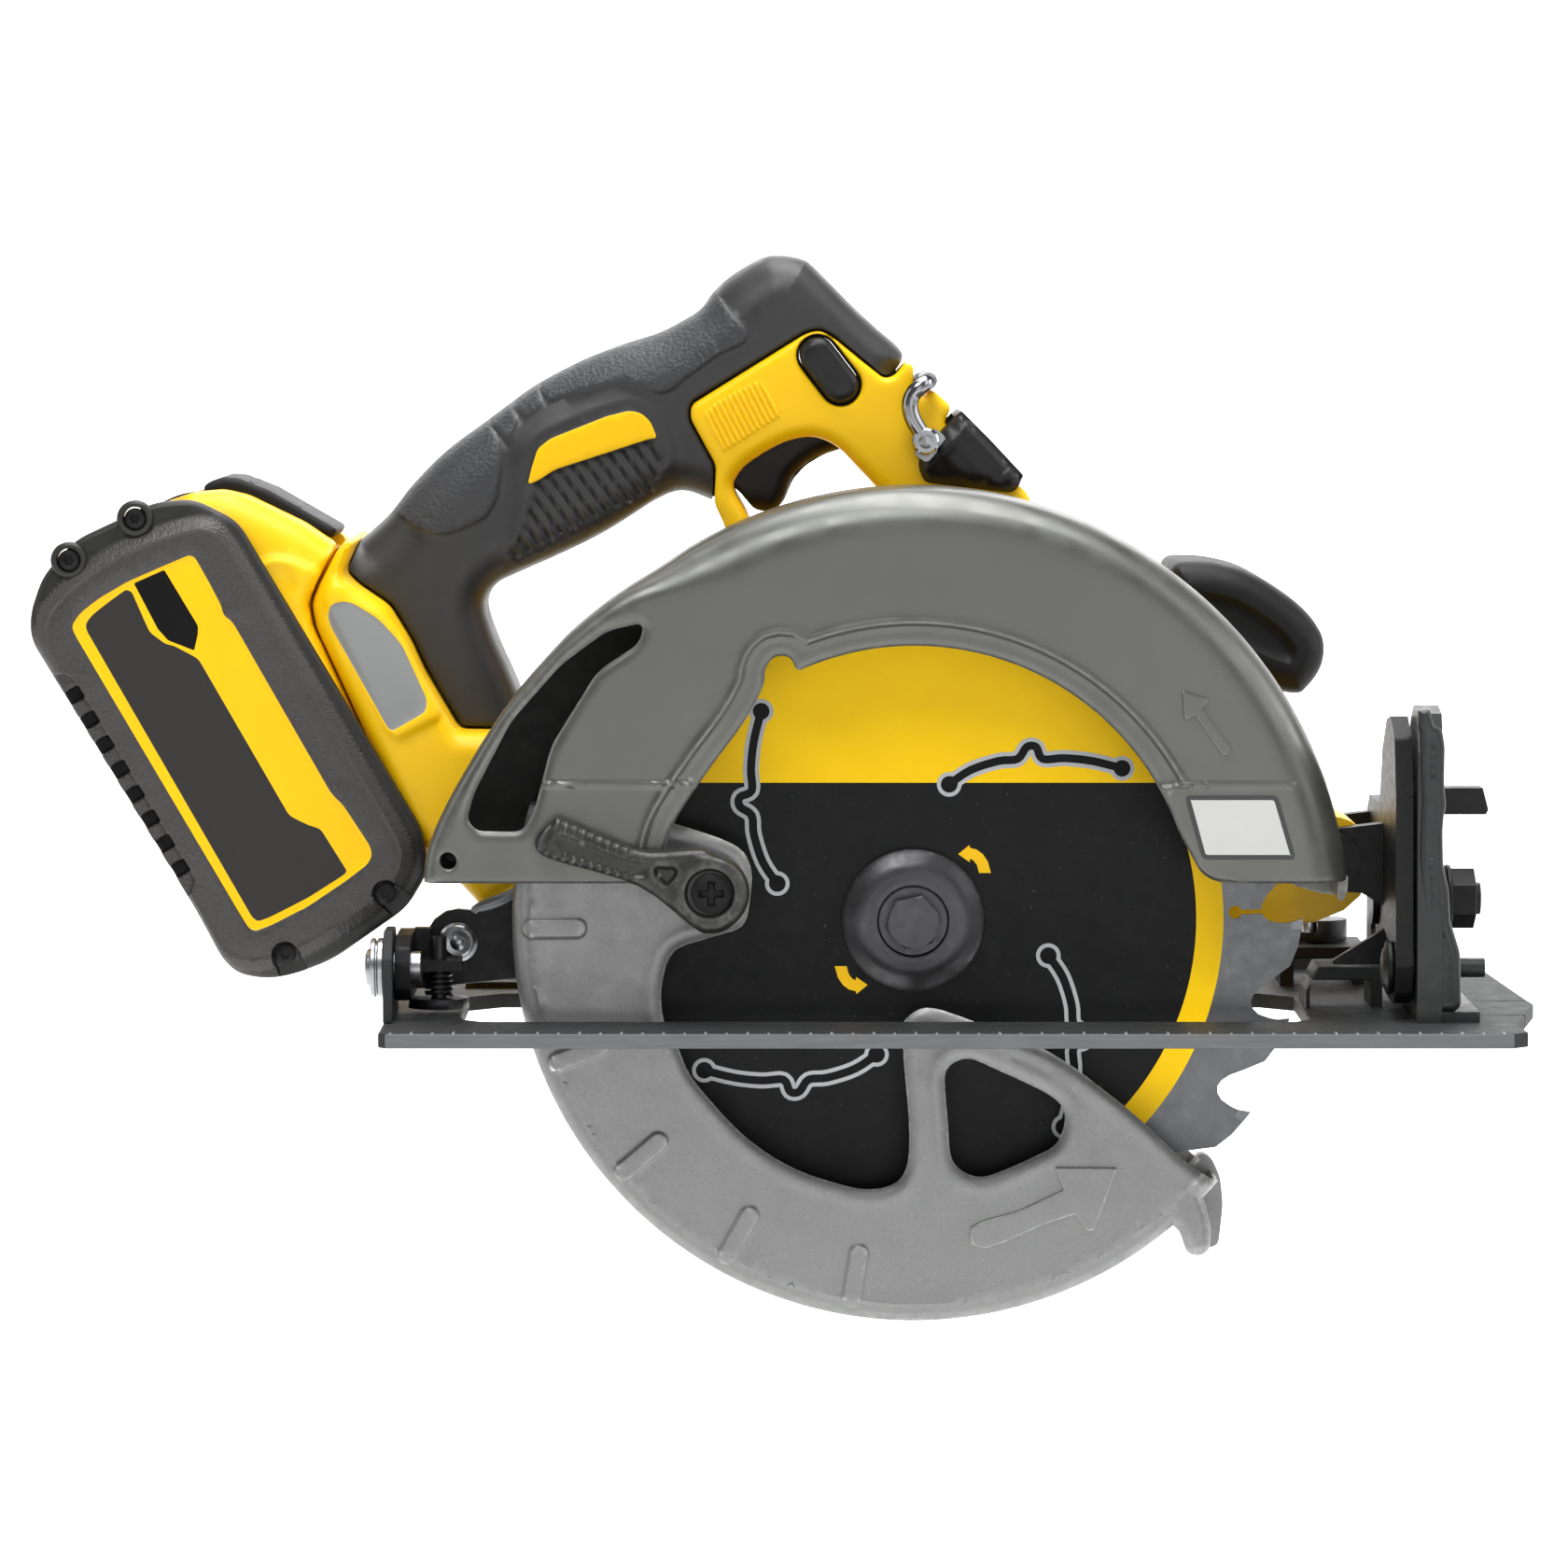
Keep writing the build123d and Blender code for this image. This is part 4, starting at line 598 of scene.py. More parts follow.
GUARD = metal("guard_grey", (101, 102, 98), 0.36, metallic=0.70, grain=0.45, depth=0.010, vary=0.035, blotch=26.0, worn=(150, 150, 146), spec=0.45)
LOWER = metal("lower_guard_grey", (134, 135, 134), 0.42, metallic=0.6, grain=0.40, depth=0.028, vary=0.03, blotch=20.0, speck=0.45, worn=(215, 215, 215), spec=0.45)
# dark edge tint of the chrome: a painted reflection of dark surroundings at grazing angles
CHROME_EDGE_DARK_REFLECTION = (0.22, 0.22, 0.23, 1.0)
STEEL = metal("steel", (168, 169, 172), 0.30, brushed=(1.0, 1.0, 14.0), vary=0.06)
CHROME = metal("chrome", (150, 151, 154), 0.17, vary=0.04, depth=0.004)
CHROME.node_tree.nodes["Principled BSDF"].inputs["Specular Tint"].default_value = CHROME_EDGE_DARK_REFLECTION
CLAMP_STEEL = metal("clamp_steel", (74, 74, 76), 0.36, metallic=0.75, grain=0.3, depth=0.003, vary=0.02)
DARK_STEEL = metal("dark_steel", (62, 62, 64), 0.36, metallic=0.85, vary=0.12)
CARBIDE = metal("carbide", (112, 113, 116), 0.34, vary=0.10, grain=0.2, depth=0.01)
COPPER = metal("copper", (190, 112, 72), 0.34, brushed=(1.0, 24.0, 1.0), vary=0.10)
LAMINATE = metal("laminations", (132, 134, 138), 0.42, brushed=(1.0, 40.0, 1.0), vary=0.12, depth=0.02)
# darker grey for the inner faces of the upper guard: painted shade inside the guard and its chute
GUARD_INSIDE_SHADE = metal("guard_inside_painted_shade", (44, 45, 43), 0.55, metallic=0.3, grain=0.6, depth=0.02, vary=0.10, spec=0.3)
LEVER = metal("lever_casting", (56, 56, 55), 0.40, metallic=0.6, grain=0.5, depth=0.03, vary=0.12, worn=(128, 128, 126), spec=0.45)
BLACK_PAINT = metal("black_paint", (21, 21, 22), 0.42, metallic=0.0, grain=0.8, depth=0.008, vary=0.12, spec=0.24)
SHOE_GREY = metal("shoe_paint", (40, 41, 42), 0.38, metallic=0.1, grain=0.6, depth=0.012, vary=0.08, spec=0.45)
SHOE_EDGE = metal("shoe_edge", (128, 131, 134), 0.36, metallic=0.6, grain=0.5, depth=0.012, brushed=(14.0, 1.0, 1.0), vary=0.05)
CELL_WRAP = plastic("cell_wrap", (60, 110, 150), 0.35, blotch=20.0)
BOARD = plastic("board_green", (32, 82, 52), 0.40, blotch=6.0, vary=0.15)


def blade_material():
    """Steel plate with a printed face: dark middle, yellow ring and yellow segment above a chord."""
    m = Mat("blade_steel", rough=0.32, metal=0.0, spec=0.16)
    sep = m.node("ShaderNodeSeparateXYZ")
    m.link(m.tc, sep.inputs[0])
    x, y, z = sep.outputs
    zc = m.math("SUBTRACT", z, LIFT * MM)
    r = m.math("SQRT", m.math("ADD", m.math("MULTIPLY", x, x), m.math("MULTIPLY", zc, zc)))
    steel = m.mix(m.ranged(m.noise(8.0, 4.0), 0.3, 0.7, 0.0, 1.0), lin(98, 99, 101), lin(113, 114, 116))
    steel = m.mix(m.ranged(m.noise(0.8, 3.0, 0.6, (1.0, 1.0, 9.0)), 0.35, 0.65, 0.0, 0.35), steel, lin(76, 77, 80))
    yel = m.mix(m.ranged(m.noise(20.0, 3.0), 0.3, 0.7, 0.0, 1.0), lin(248, 200, 1), lin(251, 205, 2))
    blk = m.mix(m.ranged(m.noise(16.0, 3.0), 0.3, 0.7, 0.0, 1.0), lin(12, 13, 13), lin(17, 18, 18))
    blk = m.mix(m.ranged(m.noise(0.8, 2.0), 0.70, 0.78, 0.0, 0.5), blk, lin(92, 92, 90))
    chord = m.math("GREATER_THAN", zc, 33.4 * MM)
    inner = m.math("LESS_THAN", r, 69.0 * MM)
    printed = m.math("LESS_THAN", r, 75.6 * MM)
    core = m.mix(chord, blk, yel)
    col = m.mix(inner, yel, core)
    col = m.mix(printed, steel, col)
    m.colour(col)
    m.link(m.math("MULTIPLY", m.math("SUBTRACT", 1.0, printed), 0.75), m.b.inputs["Metallic"])
    rg = m.math("ADD", m.math("MULTIPLY", printed, 0.08), m.ranged(m.noise(3.0, 4.0), 0.3, 0.7, 0.26, 0.38))
    m.rough(rg)
    m.relief(m.noise(0.5, 3.0, 0.6, (1.0, 1.0, 8.0)), 0.006, 0.6)
    return m.m


BLADE = blade_material()


def shoe_material():
    """Painted shoe whose near edge carries a scale of short lines."""
    m = Mat("shoe_paint_scale", rough=0.38, metal=0.0, spec=0.12)
    sep = m.node("ShaderNodeSeparateXYZ")
    m.link(m.tc, sep.inputs[0])
    x, y, z = sep.outputs
    c = lin(52, 53, 54)
    col = m.mix(m.ranged(m.noise(14.0, 4.0), 0.3, 0.7, 0.0, 1.0), mixc(c, 0.92), mixc(c, 1.1))
    f10 = m.math("ABSOLUTE", m.math("SUBTRACT", m.math("FRACT", m.math("ADD", m.math("MULTIPLY", x, 100.0), 50.5)), 0.5))
    f5 = m.math("ABSOLUTE", m.math("SUBTRACT", m.math("FRACT", m.math("ADD", m.math("MULTIPLY", x, 200.0), 100.5)), 0.5))
    t10 = m.math("LESS_THAN", f10, 0.028)
    t5 = m.math("LESS_THAN", f5, 0.056)
    near = m.math("LESS_THAN", y, -37.6 * MM)
    nearer = m.math("LESS_THAN", y, -39.4 * MM)
    ticks = m.math("MAXIMUM", m.math("MULTIPLY", t10, near), m.math("MULTIPLY", t5, nearer))
    top = m.math("GREATER_THAN", z, 3.3 * MM)
    ticks = m.math("MULTIPLY", ticks, top)
    ticks = m.math("MULTIPLY", ticks, m.ranged(m.noise(0.8, 3.0), 0.35, 0.6, 0.4, 1.0))
    col = m.mix(ticks, col, lin(150, 152, 154))
    rim = m.math("LESS_THAN", y, -41.75 * MM)
    rim = m.math("MULTIPLY", rim, m.ranged(m.noise(3.0, 4.0, 0.6, (0.2, 1.0, 3.0)), 0.3, 0.7, 0.75, 1.0))
    col = m.mix(rim, col, lin(112, 113, 114))
    m.colour(col)
    m.rough(m.ranged(m.noise(4.0, 4.0), 0.3, 0.7, 0.48, 0.62))
    m.relief(m.noise(0.5, 3.0), 0.018, 0.6)
    return m.m


SHOE = shoe_material()

SLOT_MAT = {
    "yellow_plastic": YELLOW, "black_plastic": BLACK, "black_rubber": RUBBER, "battery_plastic": BATTERY,
    "guard_grey": GUARD, "lower_guard_grey": LOWER, "blade_steel": BLADE, "carbide": CARBIDE,
    "dark_steel": DARK_STEEL, "steel": STEEL, "chrome": CHROME, "shoe_paint": SHOE, "black_paint": BLACK_PAINT,
    "copper": COPPER, "laminations": LAMINATE, "cell_wrap": CELL_WRAP, "board_green": BOARD,
}
# ------------------------------------------------------------------ main handle: rubber grip
grip_top = [(-136.6, 91.0), (-129.9, 97.0), (-123.8, 104.7), (-115.7, 112.8), (-106.3, 119.8), (-99.6, 124.8),
            (-92.9, 129.5), (-82.1, 135.2), (-72.1, 139.2), (-62.7, 142.2), (-56.0, 145.6), (-52.0, 148.3),
            (-48.4, 153.0), (-43.5, 157.1), (-36.6, 160.9), (-31.9, 161.42), (-27.1, 160.5), (-24.3, 158.8),
            (-16.1, 150.6), (-9.3, 144.1), (-2.0, 137.3), (-4.0, 132.4)]
grip_seam = [(-6.5, 131.6), (-18.8, 141.5), (-22.3, 143.5), (-26.0, 142.8), (-54.2, 125.4), (-55.0, 123.6), (-55.0, 120.7),
             (-48.8, 109.5)]
grip_under = [(-49.3, 100.6), (-54.7, 102.7), (-58.7, 102.7), (-62.7, 101.0), (-65.4, 99.4), (-75.5, 93.0), (-85.6, 87.9),
              (-98.4, 82.2), (-102.4, 80.2), (-105.1, 77.2), (-105.8, 73.2), (-103.1, 65.1), (-99.8, 57.7), (-97.0, 51.0)]
grip_foot = [(-99.0, 44.5), (-111.4, 44.6), (-120.0, 59.3), (-123.3, 66.4), (-128.7, 75.2), (-136.7, 80.6), (-139.6, 83.6)]
pad_rear = [(-131.0, 99.5), (-126.5, 104.5), (-119.0, 113.0), (-112.0, 119.5), (-106.2, 122.6), (-104.3, 118.4), (-101.9, 115.6), (-101.5, 110.3), (-102.5, 101.7),
            (-105.2, 96.7), (-112.4, 93.3), (-117.0, 92.1), (-122.8, 94.1)]
pad_a = [(-106.0, 123.6), (-101.6, 126.6), (-99.1, 123.0), (-97.2, 120.7), (-100.0, 115.6), (-102.8, 118.2)]
pad_b = [(-99.6, 128.0), (-93.6, 130.8), (-91.9, 126.5), (-91.3, 124.4), (-95.6, 121.4), (-97.2, 123.5)]
pad_long = [(-93.0, 132.0), (-82.8, 137.4), (-71.0, 142.0), (-60.8, 145.2), (-54.6, 149.0), (-49.5, 153.6), (-44.1, 146.3), (-40.8, 143.1), (-40.4, 141.0),
            (-42.2, 139.2), (-47.3, 137.3), (-51.2, 134.3), (-56.0, 131.1), (-59.1, 128.1), (-62.8, 127.2), (-66.0, 129.1), (-70.6, 130.1),
            (-75.3, 129.6), (-82.2, 127.9), (-90.3, 125.3)]
inlay = [(-94.9, 104.7), (-93.8, 109.2), (-92.4, 113.6), (-89.2, 116.1), (-75.3, 121.6), (-69.7, 123.0), (-66.7, 122.4), (-64.4, 120.3),
         (-62.8, 116.2), (-64.9, 116.0), (-75.3, 112.6), (-88.0, 108.5), (-92.4, 105.7)]
ribzone = [(-92.4, 105.2), (-88.0, 107.9), (-75.3, 112.0), (-64.9, 115.3), (-62.4, 114.8), (-61.6, 112.1), (-62.6, 106.9), (-64.7, 102.8),
           (-75.3, 97.9), (-88.6, 91.4), (-98.4, 86.2), (-99.4, 87.2), (-95.2, 95.3), (-93.2, 102.2)]
# frame that rises round the inlay and the ribs
frame_loop = [(-101.0, 83.2), (-98.6, 92.0), (-97.4, 100.0), (-98.2, 108.0), (-96.6, 115.4), (-92.4, 119.0), (-80.0, 123.8), (-70.6, 126.6), (-65.4, 125.6),
              (-61.4, 122.4), (-59.2, 117.0), (-58.4, 111.0), (-59.4, 105.8), (-62.0, 99.0), (-76.0, 90.5), (-92.0, 83.0)]
G0, G1 = 38.0, 76.0
RIB_U = (0.80, 0.60)          # across the ribs of the grip


def grip():
    line_top = spline(grip_top, 5, closed=False)
    line_un = spline(grip_under, 5, closed=False)
    out = rounded(np.concatenate([line_top, arr(grip_seam), line_un, arr(grip_foot)]), 1.4, 3)
    pads = [rounded(p, 2.2) for p in (pad_rear, pad_a, pad_b, pad_long)]
    ins = rounded(inlay, 1.2)
    rz = rounded(ribzone, 1.2)
    fr = rounded(frame_loop, 4.0)

    def height(P):
        x, z = P[:, 0], P[:, 1]
        rt = 13.0 - 4.0 * smooth01((x + 46) / 30.0)
        y = np.maximum(np.maximum(rnd(dist(P, line_top, False), rt), rnd(dist(P, line_un, False), 9.0)), rnd(dist(P, out), 0.9))
        y = y - plateau(P, fr, 0.7, 1.4)
        for p in pads:
            y = y - plateau(P, p, 0.9, 0.55)
        zone = smooth01(sdist(P, rz) / 1.0 + 0.5)
        u = (x * RIB_U[0] + z * RIB_U[1]) / 3.05
        wave = 0.5 - 0.5 * np.cos(2 * np.pi * u)
        y = y + zone * (0.35 + 1.05 * wave ** 1.5)
        y = y - plateau(P, ins, 0.35, 0.3)
        return np.minimum(y, 15.0)

    def paint(C, side):
        m = np.zeros(len(C), int)
        for p in pads:
            m[inside(C, p)] = 1
        m[inside(C, ins)] = 2
        return m

    b = Build()
    loops = [(p, (-0.6, 0.6)) for p in pads] + [(ins, (-0.3, 0.3)), (fr, (-1.2, 1.2))]
    b.slab(out, lambda P: G0 + height(P), lambda P: G1 - height(P), paint=paint, grid=1.9, edge=1.0,
           rings=(0.25, 0.7, 1.5, 2.8, 4.5, 6.6, 9.5), loops=loops, dense=[(rz, 0.62)])
    o = b.make("grip_overmould_soft", [GRIP_BLACK, RUBBER, YELLOW_LABEL], sharp=50)
    return place(o, "saw_body", ["grip_overmould"])


# ------------------------------------------------------------------ housing halves: yellow panel, web and foot
panel_top = [(-54.5, 120.9), (-54.5, 123.4), (-53.8, 124.8), (-25.8, 142.2), (-22.3, 142.9), (-18.9, 140.9), (-6.6, 130.9),
             (-4.0, 131.6), (-1.0, 135.0), (0.8, 134.0), (0.6, 128.6), (2.6, 125.6), (5.6, 128.2), (10.2, 124.0), (8.2, 119.8),
             (22.4, 106.2), (27.6, 104.2), (29.6, 101.6), (34.0, 80.0), (41.0, 52.0)]
panel_left = [(-47.0, 60.0), (-43.0, 80.0), (-46.2, 94.7), (-48.7, 100.0), (-48.2, 109.3)]
loop_hole = [(-44.0, 105.2), (-41.7, 108.9), (-36.7, 112.4), (-31.1, 115.4), (-26.5, 116.5), (-23.3, 116.4), (-20.0, 115.2),
             (-17.2, 113.3), (-9.1, 104.7), (3.0, 91.0), (2.0, 83.0), (-6.0, 78.0), (-30.0, 77.0), (-36.0, 83.0),
             (-40.3, 96.9), (-43.8, 102.9)]
web = [(-40.0, 62.0), (-60.0, 58.0), (-90.0, 47.5), (-96.4, 50.0), (-104.0, 43.0), (-104.0, 8.0), (-96.0, 5.0), (-60.0, 6.0), (-43.0, 6.0), (-43.0, 60.0)]
foot = [(-147.7, 75.7), (-146.3, 79.5), (-141.4, 88.9), (-139.0, 91.7), (-137.2, 90.6), (-140.2, 83.4), (-137.2, 80.2), (-129.2, 74.8),
        (-123.9, 66.0), (-120.6, 58.6), (-112.0, 44.0), (-98.4, 43.8), (-96.0, 5.0), (-97.7, 4.4), (-102.1, 1.6), (-106.0, 0.8), (-109.6, 4.8),
        (-123.6, 19.8), (-139.3, 54.1), (-146.6, 69.9)]
foot_pad = [(-144.6, 77.5), (-142.5, 81.0), (-139.1, 81.2), (-133.4, 79.3), (-126.5, 72.4), (-118.0, 55.7), (-115.7, 50.0), (-116.5, 47.7),
            (-126.6, 42.5), (-128.7, 44.2)]
foot_in = [(-143.5, 73.0), (-142.6, 75.8), (-140.0, 76.6), (-137.4, 76.2), (-131.1, 72.4), (-125.4, 66.1), (-119.1, 52.3), (-119.4, 49.4),
           (-127.6, 44.7), (-128.7, 45.4), (-142.6, 70.1)]
ribs_patch = [(-51.7, 121.9), (-48.1, 125.1), (-37.4, 130.6), (-32.1, 123.0), (-32.1, 121.7), (-46.2, 112.7)]
LO_A, LO_B = (-23.0, 136.7), (-17.4, 129.4)


def oval(a, b, r, n=14):
    ang = math.degrees(math.atan2(b[1] - a[1], b[0] - a[0]))
    p = [(b[0] + pol(r, ang - 90 + 180 * i / n)[0], b[1] + pol(r, ang - 90 + 180 * i / n)[1]) for i in range(n + 1)]
    return p + [(a[0] + pol(r, ang + 90 + 180 * i / n)[0], a[1] + pol(r, ang + 90 + 180 * i / n)[1]) for i in range(n + 1)]


def housing():
    out = rounded(arr(panel_top + arc(42.4, 34, 146, 4, (0.0, 24.12)) + panel_left), 1.6, 4)
    hole = rounded(loop_hole, 2.5)
    lock = oval(LO_A, LO_B, 5.3)
    patch = rounded(ribs_patch, 1.2)
    fpad, fin = rounded(foot_pad, 3.0), rounded(foot_in, 2.4)
    fout = rounded(foot, 2.0)

    def panel(P):
        x, z = P[:, 0], P[:, 1]
        y = np.maximum(rnd(dist(P, out), 2.0), rnd(dist(P, hole), 3.6))
        y = y + rnd(dist(P, lock), 1.0)
        zone = smooth01(sdist(P, patch) / 1.2 + 0.4)
        u = (x * 0.89 + z * 0.456) / 1.42
        y = y - zone * 0.55 * (0.5 - 0.5 * np.cos(2 * np.pi * u)) ** 0.8
        return y

    def footy(P):
        y = rnd(dist(P, fout), 5.0)
        y = y - plateau(P, fpad, 1.5, 1.3) + plateau(P, fin, 0.5, 0.3)
        return y

    def fpaint(C, side):
        m = np.zeros(len(C), int)
        m[inside(C, fin)] = 1
        return m

    made = []
    for side, name, node in ((0, "housing_near_skin", "housing_near_half"), (1, "housing_far_skin", "housing_far_half")):
        b = Build()
        if side == 0:
            f = lambda P: 37.0 + panel(P)
            g = lambda P: 20.0 + footy(P)
            args = dict(near=f, far=YH - 0.05)
            argf = dict(near=g, far=YH - 0.05)
            argw = dict(near=lambda P: 41.0 + rnd(dist(P, arr(web)), 1.5), far=YH - 0.05)
            pf = lambda C, s: fpaint(C, s) if s == 0 else np.zeros(len(C), int)
        else:
            f = lambda P: 77.0 - panel(P)
            g = lambda P: 94.0 - footy(P)
            args = dict(near=YH + 0.05, far=f)
            argf = dict(near=YH + 0.05, far=g)
            argw = dict(near=YH + 0.05, far=lambda P: 73.0 - rnd(dist(P, arr(web)), 1.5))
            pf = lambda C, s: fpaint(C, s) if s == 1 else np.zeros(len(C), int)
        b.slab(out, holes=(hole, lock), grid=2.2, edge=0.8, rings=(0.12, 0.4, 0.9, 1.6, 2.6, 3.8), loops=[(patch, (-0.6, 0.5))],
               dense=[(patch, 0.3)], **args)
        b.slab(fout, paint=pf, grid=2.4, edge=1.0, rings=(0.2, 0.6, 1.4, 2.6, 4.2), loops=[(fpad, (-1.2, -0.6, 0.6, 1.2)), (fin, (-0.3, 0.3))], wall=0, **argf)
        b.slab(rounded(web, 2.0), grid=4.0, edge=1.6, rings=(0.3, 0.9, 1.6), **argw)
        o = b.make(name, [YELLOW, GREY_PAD], sharp=48)
        made.append(place(o, "saw_body", [node]))
    return made


# ------------------------------------------------------------------ trigger and lock-off
trig = [(-38.6, 98.0), (-43.0, 103.2), (-46.0, 104.6), (-47.6, 107.0), (-46.4, 108.9), (-43.0, 109.6), (-37.0, 113.6), (-31.0, 117.0), (-26.0, 118.0),
        (-20.5, 117.6), (-16.6, 115.6), (-16.2, 113.6), (-21.9, 111.6), (-25.9, 109.2), (-29.2, 105.6), (-31.3, 100.3), (-34.2, 97.4)]


def trigger():
    out = rounded(trig, 1.5)
    face = spline([(-16.6, 115.6), (-16.2, 113.6), (-21.9, 111.6), (-25.9, 109.2), (-29.2, 105.6), (-31.3, 100.3), (-34.2, 97.4), (-38.6, 98.0)], 4, closed=False)
    f = lambda P: np.maximum(rnd(dist(P, face, False), 4.0), rnd(dist(P, out), 0.8))
    b = Build()
    b.slab(out, lambda P: YH - 8.6 + f(P), lambda P: YH + 8.6 - f(P), grid=1.4, edge=0.6, rings=(0.15, 0.5, 1.1, 2.0, 3.2))
    o = b.make("trigger_blade", [BLACK])
    return place(o, "trigger", ["trigger"])


def lock_off():
    out = arr(oval(LO_A, LO_B, 4.5, 18))
    f = lambda P: rnd(dist(P, out), 2.6) - 0.12 * np.clip(dist(P, out) - 2.6, 0, 3)
    b = Build()
    b.slab(out, lambda P: 35.2 + f(P), lambda P: 78.8 - f(P), grid=0.9, edge=0.6, rings=(0.1, 0.35, 0.8, 1.4, 2.1))
    o = b.make("lock_off_slider", [BLACK])
    return place(o, "lock_off", ["lock_off_button"])


# ------------------------------------------------------------------ key holder and bail
hold_out = [(7.9, 118.7), (12.5, 123.1), (19.4, 116.2), (28.1, 106.9), (25.8, 102.6), (3.3, 105.3), (1.9, 109.2), (2.3, 111.8)]


def key_holder():
    out = rounded(hold_out, 2.2)
    b = Build()
    A, D = arr((12.5, 123.1)), arr((15.6, -16.2))
    D = D / np.hypot(*D)

    def f(P):
        y = rnd(dist(P, out), 4.2)
        s = (P - A) @ D
        t = (P - A) @ arr((D[1], -D[0]))
        y = y - 0.55 * smooth01(1.6 - np.abs(s - 4.2) / 1.1) + 0.5 * smooth01(1.5 - np.abs(s - 17.5) / 1.0)
        y = y - 0.9 * smooth01(1.8 - np.abs(t - 8.5) / 2.4)
        return y

    kw = dict(grid=0.9, edge=0.6, rings=(0.12, 0.45, 1.0, 1.9, 3.0, 4.1))
    b.slab(out, lambda P: 33.6 + f(P), 36.7, **kw)
    b.slab(out, 77.3, lambda P: 80.4 - f(P), **kw)
    # the strap that joins both cheeks in front of the housing
    bridge = rounded([(12.5, 123.1), (19.4, 116.2), (28.1, 106.9), (26.6, 105.2), (17.6, 114.6), (11.0, 121.4)], 0.7)
    b.slab(bridge, 36.0, 78.0, grid=1.2, edge=0.6, rings=(0.3,))
    # pivot studs of the bail, and their lugs
    lug = rounded([(0.6, 112.6), (2.2, 119.0), (6.8, 118.4), (9.0, 116.0), (4.0, 110.0)], 1.5)
    for y0, y1, s in ((33.2, 36.8, -1), (77.2, 80.8, 1)):
        b.slab(lug, y0, y1, grid=1.0, edge=0.5, rings=(0.3,), mat=1)
        a, e = (28.3, 34.0) if s < 0 else (80.0, 85.7)
        prof = [(0.0, a), (1.0, a), (1.55, a + 0.4), (1.6, a + 0.8), (1.6, e - 0.8), (1.55, e - 0.4), (1.0, e), (0.0, e)]
        b.turn(prof, c=(3.6, 115.6), step=18, mat=1)
        h = 28.25 if s < 0 else 85.75
        cap = [(0.0, h), (1.7, h + s * -0.1), (2.5, h - s * 0.55), (2.5, h - s * 0.95), (0.0, h - s * 0.95)]
        b.turn(cap, c=(3.6, 115.6), step=15, mat=1)
    o = b.make("key_holder_moulded", [BLACK, STEEL])
    return place(o, "saw_body", ["key_holder"])


def bail():
    leg = [(3.6, 115.8), (2.4, 117.8), (1.0, 120.0), (0.0, 122.4), (-0.3, 124.8), (0.3, 127.0), (1.9, 128.8)]
    y0, y1 = 30.4, 83.6
    path = [(x, y0, z) for x, z in leg] + [(3.4, y0 + 1.0, 129.9), (4.3, y0 + 3.2, 130.4), (4.5, y0 + 6.4, 130.4)]
    mid = [(4.5, y, 130.4) for y in np.linspace(y0 + 11, y1 - 11, 6)]
    far = [(p[0], y0 + y1 - p[1], p[2]) for p in path[::-1]]
    P = spline(path + mid + far, 12, closed=False)
    # even steps along the rod
    s = np.concatenate([[0], np.cumsum(np.linalg.norm(np.diff(P, axis=0), axis=1))])
    t = np.linspace(0, s[-1], 150)
    P = np.stack([np.interp(t, s, P[:, k]) for k in range(3)], 1)
    b = Build()
    b.tube(P, 2.05, n=20)
    for y in (y0, y1):
        ringp = [(1.72, y - 2.0), (2.8, y - 2.0), (3.3, y - 1.5), (3.4, y - 0.8), (3.4, y + 0.8), (3.3, y + 1.5), (2.8, y + 2.0), (1.72, y + 2.0)]
        b.turn(ringp, c=(3.6, 115.6), step=12)
    o = b.make("bail_rod", [CHROME])
    return place(o, "bail", ["bail"])


def core_rib():
    """Dark web inside the housing that closes the seam between panel and grip."""
    out = [(-51.0, 101.5), (-50.6, 109.4), (-56.6, 120.6), (-56.4, 124.6), (-54.6, 126.6), (-26.4, 144.4), (-22.2, 145.4), (-17.4, 143.2), (-6.9, 133.6), (-3.4, 133.2), (-3.0, 131.0), (-5.6, 128.4),
           (-7.5, 129.0), (-11.5, 123.0), (-19.5, 122.5), (-30.0, 133.0), (-51.0, 121.6), (-50.6, 119.0), (-45.9, 110.4), (-46.6, 101.5)]
    b = Build()
    b.slab(rounded(out, 1.0), 47.0, 67.0, holes=(oval(LO_A, LO_B, 4.62, 18),), grid=3.0, edge=1.0, rings=(0.4,))
    return place(b.make("housing_core_rib", [BLACK]), "saw_body", [])


# ------------------------------------------------------------------ front handle
fh_out = [(64.5, 78.0), (66.2, 84.3), (71.8, 85.0), (77.5, 84.5), (84.6, 82.6), (91.8, 78.6), (98.9, 73.1), (103.2, 67.4),
          (104.2, 62.7), (103.2, 58.0), (100.2, 53.7), (96.9, 51.8), (88.0, 54.0), (76.0, 60.0), (66.0, 67.0)]


def front_handle():
    out = rounded(spline(fh_out, 4), 1.5, 3)

    def f(P, dish):
        d = dist(P, out)
        return rnd(d, 8.0) + dish * smooth01((d - 6.5) / 3.2)

    b = Build()
    b.slab(out, lambda P: 48.2 + f(P, 2.2), lambda P: 103.8 - f(P, 1.2), grid=1.6, edge=1.0, rings=(0.15, 0.6, 1.3, 2.4, 3.8, 5.6, 7.4))
    neck = rounded([(45.5, 54.5), (62.0, 76.0), (70.0, 80.0), (80.0, 62.0), (58.0, 44.4), (40.0, 42.0)], 3.0)
    nk = lambda P: rnd(dist(P, neck), 3.0)
    b.slab(neck, lambda P: 72.3 + nk(P), lambda P: 99.8 - nk(P), grid=2.4, edge=1.0, rings=(0.2, 0.7, 1.6, 2.8))
    o = b.make("front_handle_moulded", [GLOSS_BLACK])
    return place(o, "saw_body", ["front_handle"])


grip()
housing()
trigger()
lock_off()
key_holder()
bail()
core_rib()
front_handle()
